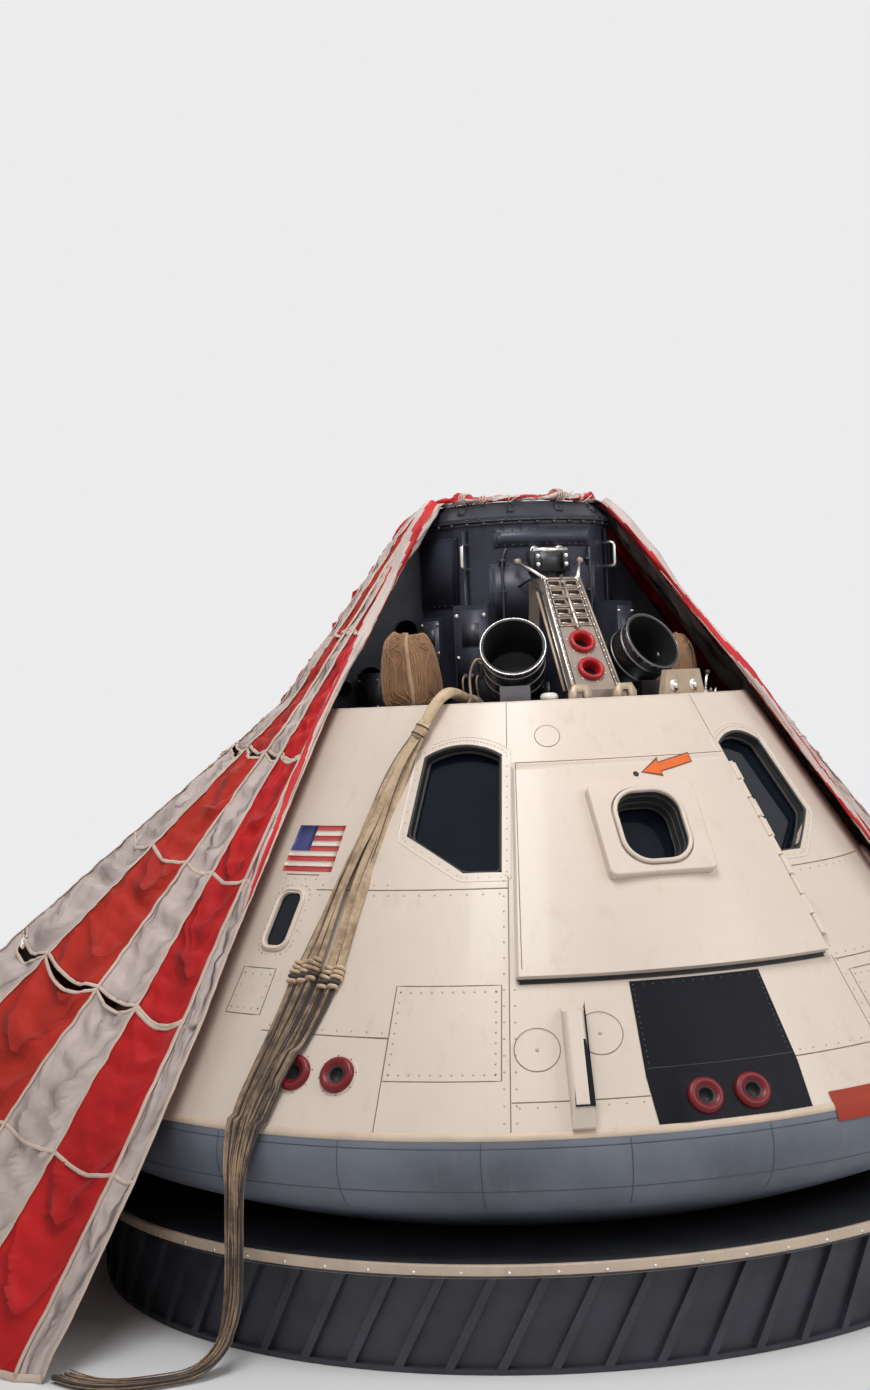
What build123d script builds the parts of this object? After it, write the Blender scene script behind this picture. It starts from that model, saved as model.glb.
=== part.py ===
# Crew re-entry capsule on its display ring, with the recovery bay open and a parachute draped round it.
# Frame: origin on the floor under the capsule's axis, +Z up, the hatch faces -Y. Millimetres.
# Azimuths are degrees round the axis, 0 at the hatch, positive towards +X.
# A height on the cone is measured from the cone's lower edge, and a lift is measured off its surface.
from build123d import *
import os
from math import asin, atan2, cos, hypot, pi, radians, sin, sqrt, tan

os.makedirs("parts", exist_ok=True)

# Driving dimensions of the hull
MAX_RADIUS = 1956.0
CORNER_RADIUS = 196.0
SHIELD_SPHERE_RADIUS = 4694.0
SHIELD_POLE_Z = 170.0
CONE_TOP_RADIUS = 985.0
CONE_RISE = 1553.27
WALL = 150.0
FRONT_HULL_AZIMUTH = 75.0

# Display ring under the heat shield
RING_OUTER_RADIUS = 1900.0
RING_INNER_RADIUS = 1400.0
RING_BAND_HEIGHT = 46.0
SKIRT_RADIUS = 1830.0
SKIRT_THICKNESS = 60.0
SKIRT_RIBS = 64
SKIRT_RIB_DEPTH = 24.0
SKIRT_RIB_WIDTH = 34.0
SKIRT_RIB_LEAN = 28.0
BASE_PLATE_THICKNESS = 18.0

# Side hatch
HATCH_AZIMUTH = 22.1
HATCH_BOTTOM = 468.0
HATCH_TOP = 1213.0
HATCH_LIFT = 5.0
HATCH_PLATE = 30.0
PLUG_AZIMUTH = 19.5
PLUG_BOTTOM = 535.0
PLUG_TOP = 1150.0
PLUG_TAPER = 20.0
PLUG_GAP = 7.0
PLUG_GAP_AZIMUTH = 0.32
HINGE_AZIMUTH = 22.72
HINGE_LIFT = 22.0
HINGE_PIN_RADIUS = 5.0
HINGE_PIN_CLEARANCE = 0.15
KNUCKLE_RADIUS = 11.0
KNUCKLE_LENGTH = 78.0
KNUCKLE_GAP = 6.0
# Hinge feet and the hatch's small parts
HATCH_KNUCKLES = [0.15, 0.5, 0.85]
KNUCKLE_STEP = KNUCKLE_LENGTH + KNUCKLE_GAP
HINGE_FOOT = 44.0
HATCH_KEYHOLE = (0.4, 1136.0)
HATCH_KEYHOLE_RADIUS = 9.0
LATCH_HEIGHT = 640.0
LATCH_SIZE = (300.0, 110.0)
LATCH_DEPTH = 40.0

# Windows: the big pair's corners and centre are (azimuth, drop below the cone's top edge)
BIG_WINDOW = [(23.9, 616.5), (29.8, 616.5), (40.0, 483.5), (39.5, 196.5), (23.9, 196.5)]
BIG_WINDOW_ARCH = (32.5, 154.5)
BIG_WINDOW_CENTRE = (31.5, 386.5)
PANE_THICKNESS = 12.0
PANE_DEPTH = 60.0
BEZEL_DEPTH = 128.0
BEZEL_THICKNESS = 24.0
BEZEL_CENTRE = (31.2, 1052.0)
BEZEL_OPENING = (180.0, 300.0)
BEZEL_CORNER = 70.0
BEZEL_STEP = 36.0
SIDE_WINDOW_AZIMUTH = 58.2
SIDE_WINDOW_HEIGHT = 668.0
SIDE_WINDOW_SIZE = (104.0, 220.0)
SIDE_FRAME_WIDTH = 20.0
SIDE_FRAME_LIFT = 8.0
SIDE_CORNER = 34.0
SIDE_PANE_DEPTH = 40.0
HATCH_WINDOW_HEIGHT = 938.0
HATCH_FRAME_SIZE = (425.0, 386.0)
HATCH_FRAME_CORNER = 26.0
HATCH_FRAME_LIFT = 26.0
HATCH_FRAME_STEP = 44.0
HATCH_WINDOW_SIZE = (250.0, 284.0)
HATCH_WINDOW_CORNER = 90.0
HATCH_PANE_DEPTH = 50.0

# Small features on the cone
NOZZLE_PAIRS = {"left": -45.5, "front": 0.4, "right": 45.5}
NOZZLE_HEIGHTS = {"left": 172.0, "front": 76.0, "right": 172.0}
NOZZLE_SPACING = 178.0
NOZZLE_RIM_RADIUS = 60.0
NOZZLE_THROAT_RADIUS = 26.0
NOZZLE_DEPTH = 28.0
NOZZLE_LIFT = 7.0
NOZZLE_PLATE = 12.0
NOZZLE_PLATE_WIDTH = 150.0
FAIRING_AZIMUTH = -15.6
FAIRING_WIDTH = 78.0
FAIRING_TOP = 390.0
FAIRING_LIFT = 62.0

# Recovery bay on top of the cone
DECK_RECESS = 30.0
DECK_THICKNESS = 50.0
DECK_LIP = 20.0
TUNNEL_RADIUS = 420.0
TUNNEL_INNER_RADIUS = 370.0
TUNNEL_HEIGHT = 775.0
DOCK_RING_HEIGHT = 82.0
DOCK_RING_INNER_RADIUS = 330.0
DOCK_RING_TOP_RADIUS = 365.0
DOCK_RING_FOOT_RADIUS = 432.0
FORWARD_HATCH_SEAT = 340.0
FORWARD_HATCH_RADIUS = 365.0
FORWARD_HATCH_THICKNESS = 55.0
GUSSET_AZIMUTHS = {"left": -90.0, "right": 90.0, "rear": 180.0}
GUSSET_THICKNESS = 36.0
GUSSET_MARGIN = 40.0
GUSSET_TOE = 40.0
GUSSET_HEIGHT = 740.0

# Lightening holes as (radius from the axis, height above the deck, hole radius)
GUSSET_HOLES = [(520.0, 150.0, 68.0), (665.0, 150.0, 48.0), (500.0, 340.0, 50.0), (785.0, 110.0, 34.0)]

# Boxes on the tunnel as (azimuth, width, depth, bottom, height), bottoms measured from the deck
TUNNEL_BOXES = [
    (-40.0, 150.0, 110.0, 0.0, 430.0),
    (40.0, 150.0, 110.0, 0.0, 430.0),
    (-66.0, 120.0, 70.0, 90.0, 300.0),
    (66.0, 120.0, 70.0, 90.0, 300.0),
]

# Loops on the tunnel as (azimuth, bottom, height, reach)
TUNNEL_LOOPS = [(-46.0, 577.0, 110.0, 60.0), (46.0, 577.0, 110.0, 60.0)]
LOOP_ROD = 10.0
GRAB_BAR_HEIGHT = 646.0
GRAB_BAR_LENGTH = 150.0
GRAB_BAR_REACH = 455.0
GRAB_BAR_RADIUS = 9.0

RAMP_TOP_REACH = 140.0
RAMP_TOP_HEIGHT = 525.0
RAMP_FOOT_MARGIN = 70.0
RAMP_FOOT_HEIGHT = 62.0
RAMP_WIDTH_TOP = 168.0
RAMP_WIDTH_FOOT = 214.0
RAMP_SLOTS = 5
RAMP_FIRST_SLOT = 0.06
RAMP_SLOT_STEP = 0.085
RAMP_SLOT_SPACING = 74.0
RAMP_SLOT_SIZE = (50.0, 26.0)
RAMP_SLOT_DEPTH = 30.0
RAMP_NOZZLE_FRACTIONS = [0.59, 0.83]
RAMP_NOZZLE_RADIUS = 50.0
RAMP_NOZZLE_DEPTH = 60.0
RAMP_NOZZLE_LIFT = 6.0
RAMP_LUG_X = 94.0
RAMP_LUG_WIDTH = 18.0
RAMP_LUG_REACH = 52.0
RAMP_LUG_HEIGHT = 50.0
RAMP_LUG_HOLE = 10.0
MORTAR_AZIMUTH = 21.0
MORTAR_RADIUS = 124.0
MORTAR_WALL = 6.0
MORTAR_LENGTH = 250.0
MORTAR_ELEVATION = 30.0
MORTAR_MARGIN = 130.0
MORTAR_MOUTH_HEIGHT = 246.0
MORTAR_SADDLE_MARGIN = 335.0
MORTAR_RIM = 6.0
MORTAR_RIM_LENGTH = 18.0
MORTAR_END = 8.0
MORTAR_SADDLE_WIDTH = 120.0
MORTAR_SADDLE_HEIGHT = 90.0
MORTAR_SADDLE_LENGTH = 190.0
SLING_AZIMUTH = 24.0
SLING_MARGIN = 15.0
SLING_TAPER = 34.0
SLING_HOLE_X = 58.0
SLING_HOLE_RADIUS = 20.0
SLING_WIDTH = 262.0
SLING_HEIGHT = 128.0
SLING_DEPTH = 28.0

# Packs as (name, azimuth, margin to the deck's edge, width, depth, height)
PACKS = [
    ("pack_left", -52.0, 75.0, 300.0, 240.0, 330.0),
    ("pack_right", 55.0, 185.0, 280.0, 190.0, 290.0),
]
PACK_SIDE_FILLET = 45.0
PACK_TOP_FILLET = 40.0
CAP_AZIMUTH = -12.8
CAP_MARGIN = 38.0
CAP_RADIUS = 30.0
CAP_HEIGHT = 52.0

# Cabin
FLOOR_THICKNESS = 20.0
FLOOR_CLEARANCE = 8.0
COUCH_WIDTH = 540.0
COUCH_PITCH = 590.0
COUCH_Z = 210.0
COUCH_BEAMS = (-700.0, 120.0)
COUCH_BEAM_SIZE = 50.0

# Side outline of a couch as (y, height above its frame)
COUCH_OUTLINE = [
    (-930.0, 0.0),
    (180.0, 0.0),
    (420.0, 330.0),
    (760.0, 220.0),
    (785.0, 285.0),
    (390.0, 415.0),
    (140.0, 75.0),
    (-640.0, 75.0),
    (-660.0, 105.0),
    (-930.0, 105.0),
]
PANEL_HEIGHT = 1010.0
PANEL_Y = 180.0
PANEL_DEPTH = 520.0
PANEL_THICKNESS = 60.0
PANEL_RECESS = 8.0
PANEL_BAY_PITCH = 430.0
PANEL_BAY_SIZE = (360.0, 410.0)
PANEL_BAY_CORNER = 20.0

# Draped parachute: a tent of gores that hugs the cone at both edges, with the cloth sagging between seams.
# Gore widths run from the right edge round the back to the left edge, lifts are (azimuth, lift) pairs.
DRAPE_START = 50.0
DRAPE_END = 295.5
DRAPE_RIGHT_GORES = [5.0, 9.0]
DRAPE_BACK_GORES = 13
DRAPE_LEFT_GORES = [11.0, 8.0, 5.0, 7.2, 2.3]
DRAPE_THICKNESS = 60.0
DRAPE_LIFT = 13.0
DRAPE_RING_GAP = 6.0
DRAPE_BULGE = 16.0
DRAPE_SAG = 2.0
DRAPE_LIFTS = [
    (50.0, 50.0),
    (110.0, 340.0),
    (200.0, 340.0),
    (262.0, 585.0),
    (273.0, 470.0),
    (281.0, 270.0),
    (286.0, 150.0),
    (293.2, 75.0),
    (295.5, 50.0),
]
DRAPE_EDGE_HEM_RADIUS = 2520.0
DRAPE_HEM_SPREAD = 2.1
DRAPE_HEM_WIDTH = 160.0
DRAPE_HEM_HEIGHT = 50.0

# Riser points as (azimuth, radius, z) in the bay and below the cone, and (azimuth, height, lift) on it
RISER_RADIUS = 22.0
RISER_BEND_SHARE = 0.45
RISER_BAY = [(-34.6, 706.0, 2274.0), (-35.4, 830.0, 2305.0), (-36.6, 955.0, 2331.0), (-38.2, 1046.0, 2281.0)]
RISER_CONE = [
    (-40.6, 1330.0, 35.0),
    (-43.6, 1225.0, 28.0),
    (-45.3, 1090.0, 28.0),
    (-46.5, 930.0, 28.0),
    (-48.0, 741.0, 28.0),
    (-48.7, 537.0, 28.0),
    (-49.8, 338.0, 28.0),
    (-51.3, 165.0, 31.0),
    (-52.0, 30.0, 40.0),
]
RISER_FLOOR = [
    (-52.3, 1999.0, 722.0),
    (-52.4, 2013.0, 560.0),
    (-52.5, 2017.0, 390.0),
    (-52.7, 2025.0, 220.0),
    (-53.2, 2066.0, 90.0),
    (-54.2, 2165.0, 24.0),
    (-56.2, 2290.0, 22.3),
    (-58.8, 2395.0, 22.3),
    (-61.752, 2442.705, 22.3),
    (-64.497, 2440.0, 22.3),
]

# The cone runs from its top edge, CONE_RISE above the widest line, tangent to the shield's corner
CORNER_CENTRE_RADIUS = MAX_RADIUS - CORNER_RADIUS
CORNER_INSET = CORNER_CENTRE_RADIUS - CONE_TOP_RADIUS
CONE_ANGLE = atan2(CORNER_INSET, CONE_RISE) + asin(CORNER_RADIUS / hypot(CORNER_INSET, CONE_RISE))
SLOPE = tan(CONE_ANGLE)
COSINE = cos(CONE_ANGLE)
SINE = sin(CONE_ANGLE)
SPHERE_TO_CORNER = SHIELD_SPHERE_RADIUS - CORNER_RADIUS
CORNER_Z = SHIELD_POLE_Z + SHIELD_SPHERE_RADIUS - sqrt(SPHERE_TO_CORNER**2 - CORNER_CENTRE_RADIUS**2)
CONE_BASE_Z = CORNER_Z + CORNER_RADIUS * SINE
CONE_BASE_RADIUS = CORNER_CENTRE_RADIUS + CORNER_RADIUS * COSINE
CONE_HEIGHT = (CONE_BASE_RADIUS - CONE_TOP_RADIUS) / SLOPE
CONE_TOP_Z = CONE_BASE_Z + CONE_HEIGHT
DECK_Z = CONE_TOP_Z - DECK_RECESS
LEDGE_Z = DECK_Z - DECK_THICKNESS
TUNNEL_TOP_Z = DECK_Z + TUNNEL_HEIGHT
DOCK_TOP_Z = TUNNEL_TOP_Z + DOCK_RING_HEIGHT
DECK_RADIUS = CONE_TOP_RADIUS - DECK_LIP
CABIN_BASE_RADIUS = CONE_BASE_RADIUS - WALL / COSINE


def cone_radius(z):
    return CONE_BASE_RADIUS - (z - CONE_BASE_Z) * SLOPE


def profile_point(height, lift):
    """(radius, z) of a point at a height on the cone, moved off its surface by lift."""
    z = CONE_BASE_Z + height
    return (cone_radius(z) + lift * COSINE, z + lift * SINE)


def around(azimuth, radius, z):
    a = radians(azimuth)
    return Vector(radius * sin(a), -radius * cos(a), z)


def profile_plane(azimuth):
    """Upright plane through the axis: local x is the radius, local y is Z."""
    a = radians(azimuth)
    return Plane(origin=(0, 0, 0), x_dir=(sin(a), -cos(a), 0), z_dir=(-cos(a), -sin(a), 0))


def surface_plane(azimuth, height, lift=0.0):
    """Plane on the cone: local x runs round it, local y up its slope, z outwards."""
    a = radians(azimuth)
    radius, z = profile_point(height, lift)
    return Plane(
        origin=around(azimuth, radius, z),
        x_dir=(cos(a), sin(a), 0),
        z_dir=(sin(a) * COSINE, -cos(a) * COSINE, SINE),
    )


def radial_plane(azimuth, radius, z, elevation=0.0):
    """Plane whose normal points outwards at an elevation: local x runs round the axis."""
    a, e = radians(azimuth), radians(elevation)
    return Plane(
        origin=around(azimuth, radius, z),
        x_dir=(cos(a), sin(a), 0),
        z_dir=(sin(a) * cos(e), -cos(a) * cos(e), sin(e)),
    )


def on_cone(azimuth, height, lift=0.0):
    radius, z = profile_point(height, lift)
    return around(azimuth, radius, z)


def local_point(plane, azimuth, height):
    point = plane.to_local_coords(on_cone(azimuth, height))
    return (point.X, point.Y)


def revolved(points, start=0.0, arc=360.0):
    """Solid of a (radius, z) outline turned from one azimuth through an arc."""
    with BuildPart(mode=Mode.PRIVATE) as turned:
        with BuildSketch(profile_plane(start)):
            with BuildLine():
                Polyline(*points, close=True)
            make_face()
        revolve(axis=Axis.Z, revolution_arc=arc)
    return turned.part


def cone_body(lift):
    """Solid bounded by the cone moved off its surface by lift, for cutting what sits on it."""
    low, high = profile_point(-CORNER_RADIUS, lift), profile_point(CONE_HEIGHT, lift)
    return revolved([(0, low[1]), low, high, (0, high[1])])


HULL_BODY = cone_body(0)
CABIN_BODY = cone_body(-WALL)


def sphere_z(radius):
    return SHIELD_POLE_Z + SHIELD_SPHERE_RADIUS - sqrt(SHIELD_SPHERE_RADIUS**2 - radius**2)


# Display ring: a cream band on a dark skirt with leaning ribs and a base plate
RING_TOP_Z = sphere_z(RING_INNER_RADIUS)
SKIRT_HEIGHT = RING_TOP_Z - RING_BAND_HEIGHT - BASE_PLATE_THICKNESS
with BuildPart() as ring_band:
    with BuildSketch(Plane.XY.offset(RING_TOP_Z - RING_BAND_HEIGHT)):
        Circle(RING_OUTER_RADIUS)
        Circle(RING_INNER_RADIUS, mode=Mode.SUBTRACT)
    extrude(amount=RING_BAND_HEIGHT)
    chamfer(ring_band.edges().filter_by(GeomType.CIRCLE).group_by(SortBy.RADIUS)[-1], 5)
ring_band.part.label = "display_ring_band"
export_step(ring_band.part, "parts/display_ring_band.step")

with BuildPart() as ring_skirt:
    with BuildSketch():
        Circle(SKIRT_RADIUS + SKIRT_RIB_DEPTH)
    extrude(amount=BASE_PLATE_THICKNESS)
    with BuildSketch(Plane.XY.offset(BASE_PLATE_THICKNESS)):
        Circle(SKIRT_RADIUS)
        Circle(SKIRT_RADIUS - SKIRT_THICKNESS, mode=Mode.SUBTRACT)
    extrude(amount=SKIRT_HEIGHT)
    lean = SKIRT_HEIGHT * tan(radians(SKIRT_RIB_LEAN)) / 2
    for rib in range(SKIRT_RIBS):
        rib_plane = radial_plane(rib * 360 / SKIRT_RIBS, SKIRT_RADIUS - 8, BASE_PLATE_THICKNESS)
        with BuildSketch(rib_plane):
            with BuildLine():
                Polyline(
                    (-lean - SKIRT_RIB_WIDTH / 2, 0),
                    (-lean + SKIRT_RIB_WIDTH / 2, 0),
                    (lean + SKIRT_RIB_WIDTH / 2, SKIRT_HEIGHT),
                    (lean - SKIRT_RIB_WIDTH / 2, SKIRT_HEIGHT),
                    close=True,
                )
            make_face()
        extrude(amount=8 + SKIRT_RIB_DEPTH)
ring_skirt.part.label = "display_ring_skirt"
export_step(ring_skirt.part, "parts/display_ring_skirt.step")

# Aft heat shield: a shallow sphere, a rounded corner and a flat top under the cone
TANGENT_RADIUS = CORNER_CENTRE_RADIUS * SHIELD_SPHERE_RADIUS / SPHERE_TO_CORNER
with BuildPart() as heat_shield:
    with BuildSketch(Plane.XZ):
        with BuildLine():
            pole = (0, SHIELD_POLE_Z)
            corner_start = (TANGENT_RADIUS, sphere_z(TANGENT_RADIUS))
            corner_end = (CONE_BASE_RADIUS, CONE_BASE_Z)
            ThreePointArc(pole, (TANGENT_RADIUS / 2, sphere_z(TANGENT_RADIUS / 2)), corner_start)
            ThreePointArc(corner_start, (MAX_RADIUS, CORNER_Z), corner_end)
            Polyline(corner_end, (0, CONE_BASE_Z), pole)
        make_face()
    revolve(axis=Axis.Z)
heat_shield.part.label = "aft_heat_shield"
export_step(heat_shield.part, "parts/aft_heat_shield.step")


# Cone wall, in a front and a rear half, with its windows and hatch opening cut
def wall_outline():
    inner_top = cone_radius(LEDGE_Z) - WALL / COSINE
    return [
        (CABIN_BASE_RADIUS, CONE_BASE_Z),
        (CONE_BASE_RADIUS, CONE_BASE_Z),
        (CONE_TOP_RADIUS, CONE_TOP_Z),
        (DECK_RADIUS, CONE_TOP_Z),
        (DECK_RADIUS, LEDGE_Z),
        (inner_top, LEDGE_Z),
    ]


def plug_outline(outer_lift, inner_lift, gap):
    """Tapered section of the hatch plug, or of its opening when gap is over 0."""
    outer_taper = PLUG_TAPER * outer_lift / WALL
    inner_taper = PLUG_TAPER * inner_lift / WALL
    return [
        profile_point(PLUG_BOTTOM - gap - outer_taper, outer_lift),
        profile_point(PLUG_TOP + gap + outer_taper, outer_lift),
        profile_point(PLUG_TOP + gap + inner_taper, inner_lift),
        profile_point(PLUG_BOTTOM - gap - inner_taper, inner_lift),
    ]


def big_window_sketch(plane, drop, side, margin):
    """Five-sided window outline with an arched top, sunk by drop and shrunk by margin."""
    low_in, low_mid, low_out, high_out, high_in = [
        local_point(plane, side * azimuth, CONE_HEIGHT - fall) for azimuth, fall in BIG_WINDOW
    ]
    arch = local_point(plane, side * BIG_WINDOW_ARCH[0], CONE_HEIGHT - BIG_WINDOW_ARCH[1])
    with BuildSketch(plane.offset(-drop), mode=Mode.PRIVATE) as outline:
        with BuildLine():
            Polyline(high_in, low_in, low_mid, low_out, high_out)
            ThreePointArc(high_out, arch, high_in)
        make_face()
        offset(amount=-margin, kind=Kind.INTERSECTION)
    return outline.sketch


with BuildPart() as hull_front:
    add(revolved(wall_outline(), -FRONT_HULL_AZIMUTH, 2 * FRONT_HULL_AZIMUTH))
    opening_half = PLUG_AZIMUTH + PLUG_GAP_AZIMUTH
    add(
        revolved(plug_outline(40, -WALL - 60, PLUG_GAP), -opening_half, 2 * opening_half),
        mode=Mode.SUBTRACT,
    )
    for side in (-1, 1):
        window_plane = surface_plane(side * BIG_WINDOW_CENTRE[0], CONE_HEIGHT - BIG_WINDOW_CENTRE[1])
        extrude(big_window_sketch(window_plane, -60, side, 0), amount=-WALL - 160, mode=Mode.SUBTRACT)
        with BuildSketch(surface_plane(side * SIDE_WINDOW_AZIMUTH, SIDE_WINDOW_HEIGHT)):
            RectangleRounded(*SIDE_WINDOW_SIZE, SIDE_CORNER)
        extrude(amount=WALL + 60, both=True, mode=Mode.SUBTRACT)
    for place, azimuth in NOZZLE_PAIRS.items():
        with BuildSketch(surface_plane(azimuth, NOZZLE_HEIGHTS[place], -NOZZLE_PLATE)):
            SlotCenterToCenter(NOZZLE_SPACING, NOZZLE_PLATE_WIDTH)
        extrude(amount=60, mode=Mode.SUBTRACT)
        with BuildSketch(surface_plane(azimuth, NOZZLE_HEIGHTS[place])):
            with GridLocations(NOZZLE_SPACING, 0, 2, 1):
                Circle(NOZZLE_RIM_RADIUS)
        extrude(amount=-NOZZLE_DEPTH - NOZZLE_PLATE, mode=Mode.SUBTRACT)
hull_front.part.label = "hull_front"
export_step(hull_front.part, "parts/hull_front.step")

with BuildPart() as hull_rear:
    add(revolved(wall_outline(), FRONT_HULL_AZIMUTH, 360 - 2 * FRONT_HULL_AZIMUTH))
hull_rear.part.label = "hull_rear"
export_step(hull_rear.part, "parts/hull_rear.step")

# Windows on both sides: outer panes, inner bezels, and the small side windows
for side, name in ((-1, "left"), (1, "right")):
    window_plane = surface_plane(side * BIG_WINDOW_CENTRE[0], CONE_HEIGHT - BIG_WINDOW_CENTRE[1])
    with BuildPart() as pane:
        extrude(big_window_sketch(window_plane, PANE_DEPTH, side, 0), amount=-PANE_THICKNESS)
    pane.part.label = f"window_pane_{name}"
    export_step(pane.part, f"parts/window_pane_{name}.step")

    with BuildPart() as bezel:
        extrude(big_window_sketch(window_plane, BEZEL_DEPTH, side, 0), amount=BEZEL_THICKNESS)
        bezel_centre = local_point(window_plane, side * BEZEL_CENTRE[0], BEZEL_CENTRE[1])
        with BuildSketch(window_plane.offset(-BEZEL_DEPTH)):
            with Locations(bezel_centre):
                RectangleRounded(*BEZEL_OPENING, BEZEL_CORNER)
        extrude(amount=BEZEL_THICKNESS, mode=Mode.SUBTRACT)
        with BuildSketch(window_plane.offset(-BEZEL_DEPTH + BEZEL_THICKNESS / 2)):
            with Locations(bezel_centre):
                RectangleRounded(
                    BEZEL_OPENING[0] + BEZEL_STEP, BEZEL_OPENING[1] + BEZEL_STEP, BEZEL_CORNER
                )
        extrude(amount=BEZEL_THICKNESS / 2, mode=Mode.SUBTRACT)
    bezel.part.label = f"window_bezel_{name}"
    export_step(bezel.part, f"parts/window_bezel_{name}.step")

    side_plane = surface_plane(side * SIDE_WINDOW_AZIMUTH, SIDE_WINDOW_HEIGHT)
    with BuildPart() as side_pane:
        with BuildSketch(side_plane.offset(-SIDE_PANE_DEPTH)):
            RectangleRounded(*SIDE_WINDOW_SIZE, SIDE_CORNER)
        extrude(amount=-PANE_THICKNESS)
    side_pane.part.label = f"side_window_pane_{name}"
    export_step(side_pane.part, f"parts/side_window_pane_{name}.step")

    with BuildPart() as side_frame:
        with BuildSketch(side_plane.offset(-10)):
            RectangleRounded(
                SIDE_WINDOW_SIZE[0] + 2 * SIDE_FRAME_WIDTH,
                SIDE_WINDOW_SIZE[1] + 2 * SIDE_FRAME_WIDTH,
                SIDE_CORNER + SIDE_FRAME_WIDTH,
            )
            RectangleRounded(*SIDE_WINDOW_SIZE, SIDE_CORNER, mode=Mode.SUBTRACT)
        extrude(amount=10 + SIDE_FRAME_LIFT)
        add(HULL_BODY, mode=Mode.SUBTRACT)
    side_frame.part.label = f"side_window_frame_{name}"
    export_step(side_frame.part, f"parts/side_window_frame_{name}.step")

# Hatch: a proud outer plate, a tapered plug through the wall, and knuckles on its hinge line
hinge_start = on_cone(HINGE_AZIMUTH, PLUG_BOTTOM, HINGE_LIFT)
hinge_end = on_cone(HINGE_AZIMUTH, PLUG_TOP, HINGE_LIFT)
HINGE_LENGTH = (hinge_end - hinge_start).length
hinge_plane = Plane(
    origin=hinge_start,
    x_dir=(cos(radians(HINGE_AZIMUTH)), sin(radians(HINGE_AZIMUTH)), 0),
    z_dir=hinge_end - hinge_start,
)
hatch_window_plane = surface_plane(0, HATCH_WINDOW_HEIGHT)
with BuildPart() as hatch:
    plate_lift = HATCH_LIFT + HATCH_PLATE
    plate_outline = [
        profile_point(HATCH_BOTTOM, HATCH_LIFT),
        profile_point(HATCH_BOTTOM, plate_lift),
        profile_point(HATCH_TOP - 40, plate_lift),
        profile_point(HATCH_TOP, HATCH_LIFT + 8),
        profile_point(HATCH_TOP, HATCH_LIFT),
    ]
    add(revolved(plate_outline, -HATCH_AZIMUTH, 2 * HATCH_AZIMUTH))
    chamfer(hatch.edges().filter_by(GeomType.LINE).sort_by(SortBy.LENGTH)[-4:-2], 12)
    add(revolved(plug_outline(HATCH_LIFT, -WALL, 0), -PLUG_AZIMUTH, 2 * PLUG_AZIMUTH))
    with BuildSketch(hatch_window_plane):
        RectangleRounded(*HATCH_WINDOW_SIZE, HATCH_WINDOW_CORNER)
    extrude(amount=2 * WALL, both=True, mode=Mode.SUBTRACT)
    with BuildSketch(surface_plane(HATCH_KEYHOLE[0], HATCH_KEYHOLE[1], plate_lift)):
        Circle(HATCH_KEYHOLE_RADIUS)
    extrude(amount=-HATCH_PLATE, mode=Mode.SUBTRACT)
    for fraction in HATCH_KNUCKLES:
        with BuildSketch(hinge_plane.offset(fraction * HINGE_LENGTH - KNUCKLE_LENGTH / 2)):
            Circle(KNUCKLE_RADIUS)
            with Locations((-KNUCKLE_RADIUS, 0)):
                Rectangle(2 * KNUCKLE_RADIUS, 1.2 * KNUCKLE_RADIUS)
            Circle(HINGE_PIN_RADIUS + HINGE_PIN_CLEARANCE, mode=Mode.SUBTRACT)
        extrude(amount=KNUCKLE_LENGTH)
hatch.part.label = "hatch_door"
export_step(hatch.part, "parts/hatch_door.step")

with BuildPart() as hatch_frame:
    with BuildSketch(hatch_window_plane):
        RectangleRounded(*HATCH_FRAME_SIZE, HATCH_FRAME_CORNER)
    extrude(amount=plate_lift + HATCH_FRAME_LIFT)
    fillet(hatch_frame.faces().sort_by(Axis((0, 0, 0), hatch_window_plane.z_dir))[-1].edges(), 9)
    with BuildSketch(hatch_window_plane):
        RectangleRounded(*HATCH_WINDOW_SIZE, HATCH_WINDOW_CORNER)
    extrude(amount=2 * WALL, mode=Mode.SUBTRACT)
    with BuildSketch(hatch_window_plane.offset(plate_lift + HATCH_FRAME_LIFT / 2)):
        RectangleRounded(
            HATCH_WINDOW_SIZE[0] + HATCH_FRAME_STEP,
            HATCH_WINDOW_SIZE[1] + HATCH_FRAME_STEP,
            HATCH_WINDOW_CORNER + HATCH_FRAME_STEP / 2,
        )
    extrude(amount=HATCH_FRAME_LIFT, mode=Mode.SUBTRACT)
    add(cone_body(plate_lift), mode=Mode.SUBTRACT)
hatch_frame.part.label = "hatch_window_frame"
export_step(hatch_frame.part, "parts/hatch_window_frame.step")

with BuildPart() as hatch_pane:
    with BuildSketch(hatch_window_plane.offset(-HATCH_PANE_DEPTH)):
        RectangleRounded(*HATCH_WINDOW_SIZE, HATCH_WINDOW_CORNER)
    extrude(amount=-PANE_THICKNESS)
hatch_pane.part.label = "hatch_window_pane"
export_step(hatch_pane.part, "parts/hatch_window_pane.step")

# Latch box and lever on the hatch's inner face
with BuildPart() as latch:
    latch_plane = surface_plane(0, LATCH_HEIGHT, -WALL)
    with BuildSketch(latch_plane.offset(30)):
        RectangleRounded(*LATCH_SIZE, 12)
    extrude(amount=-30 - LATCH_DEPTH)
    with BuildSketch(latch_plane.offset(-LATCH_DEPTH)):
        with Locations((-60, 0)):
            Circle(18)
    extrude(amount=-26)
    with BuildSketch(latch_plane.offset(-LATCH_DEPTH - 26)):
        with Locations((10, 0)):
            SlotOverall(190, 34)
    extrude(amount=-16)
    add(cone_body(0), mode=Mode.INTERSECT)
    add(hatch.part, mode=Mode.SUBTRACT)
latch.part.label = "hatch_latch"
export_step(latch.part, "parts/hatch_latch.step")

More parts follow.
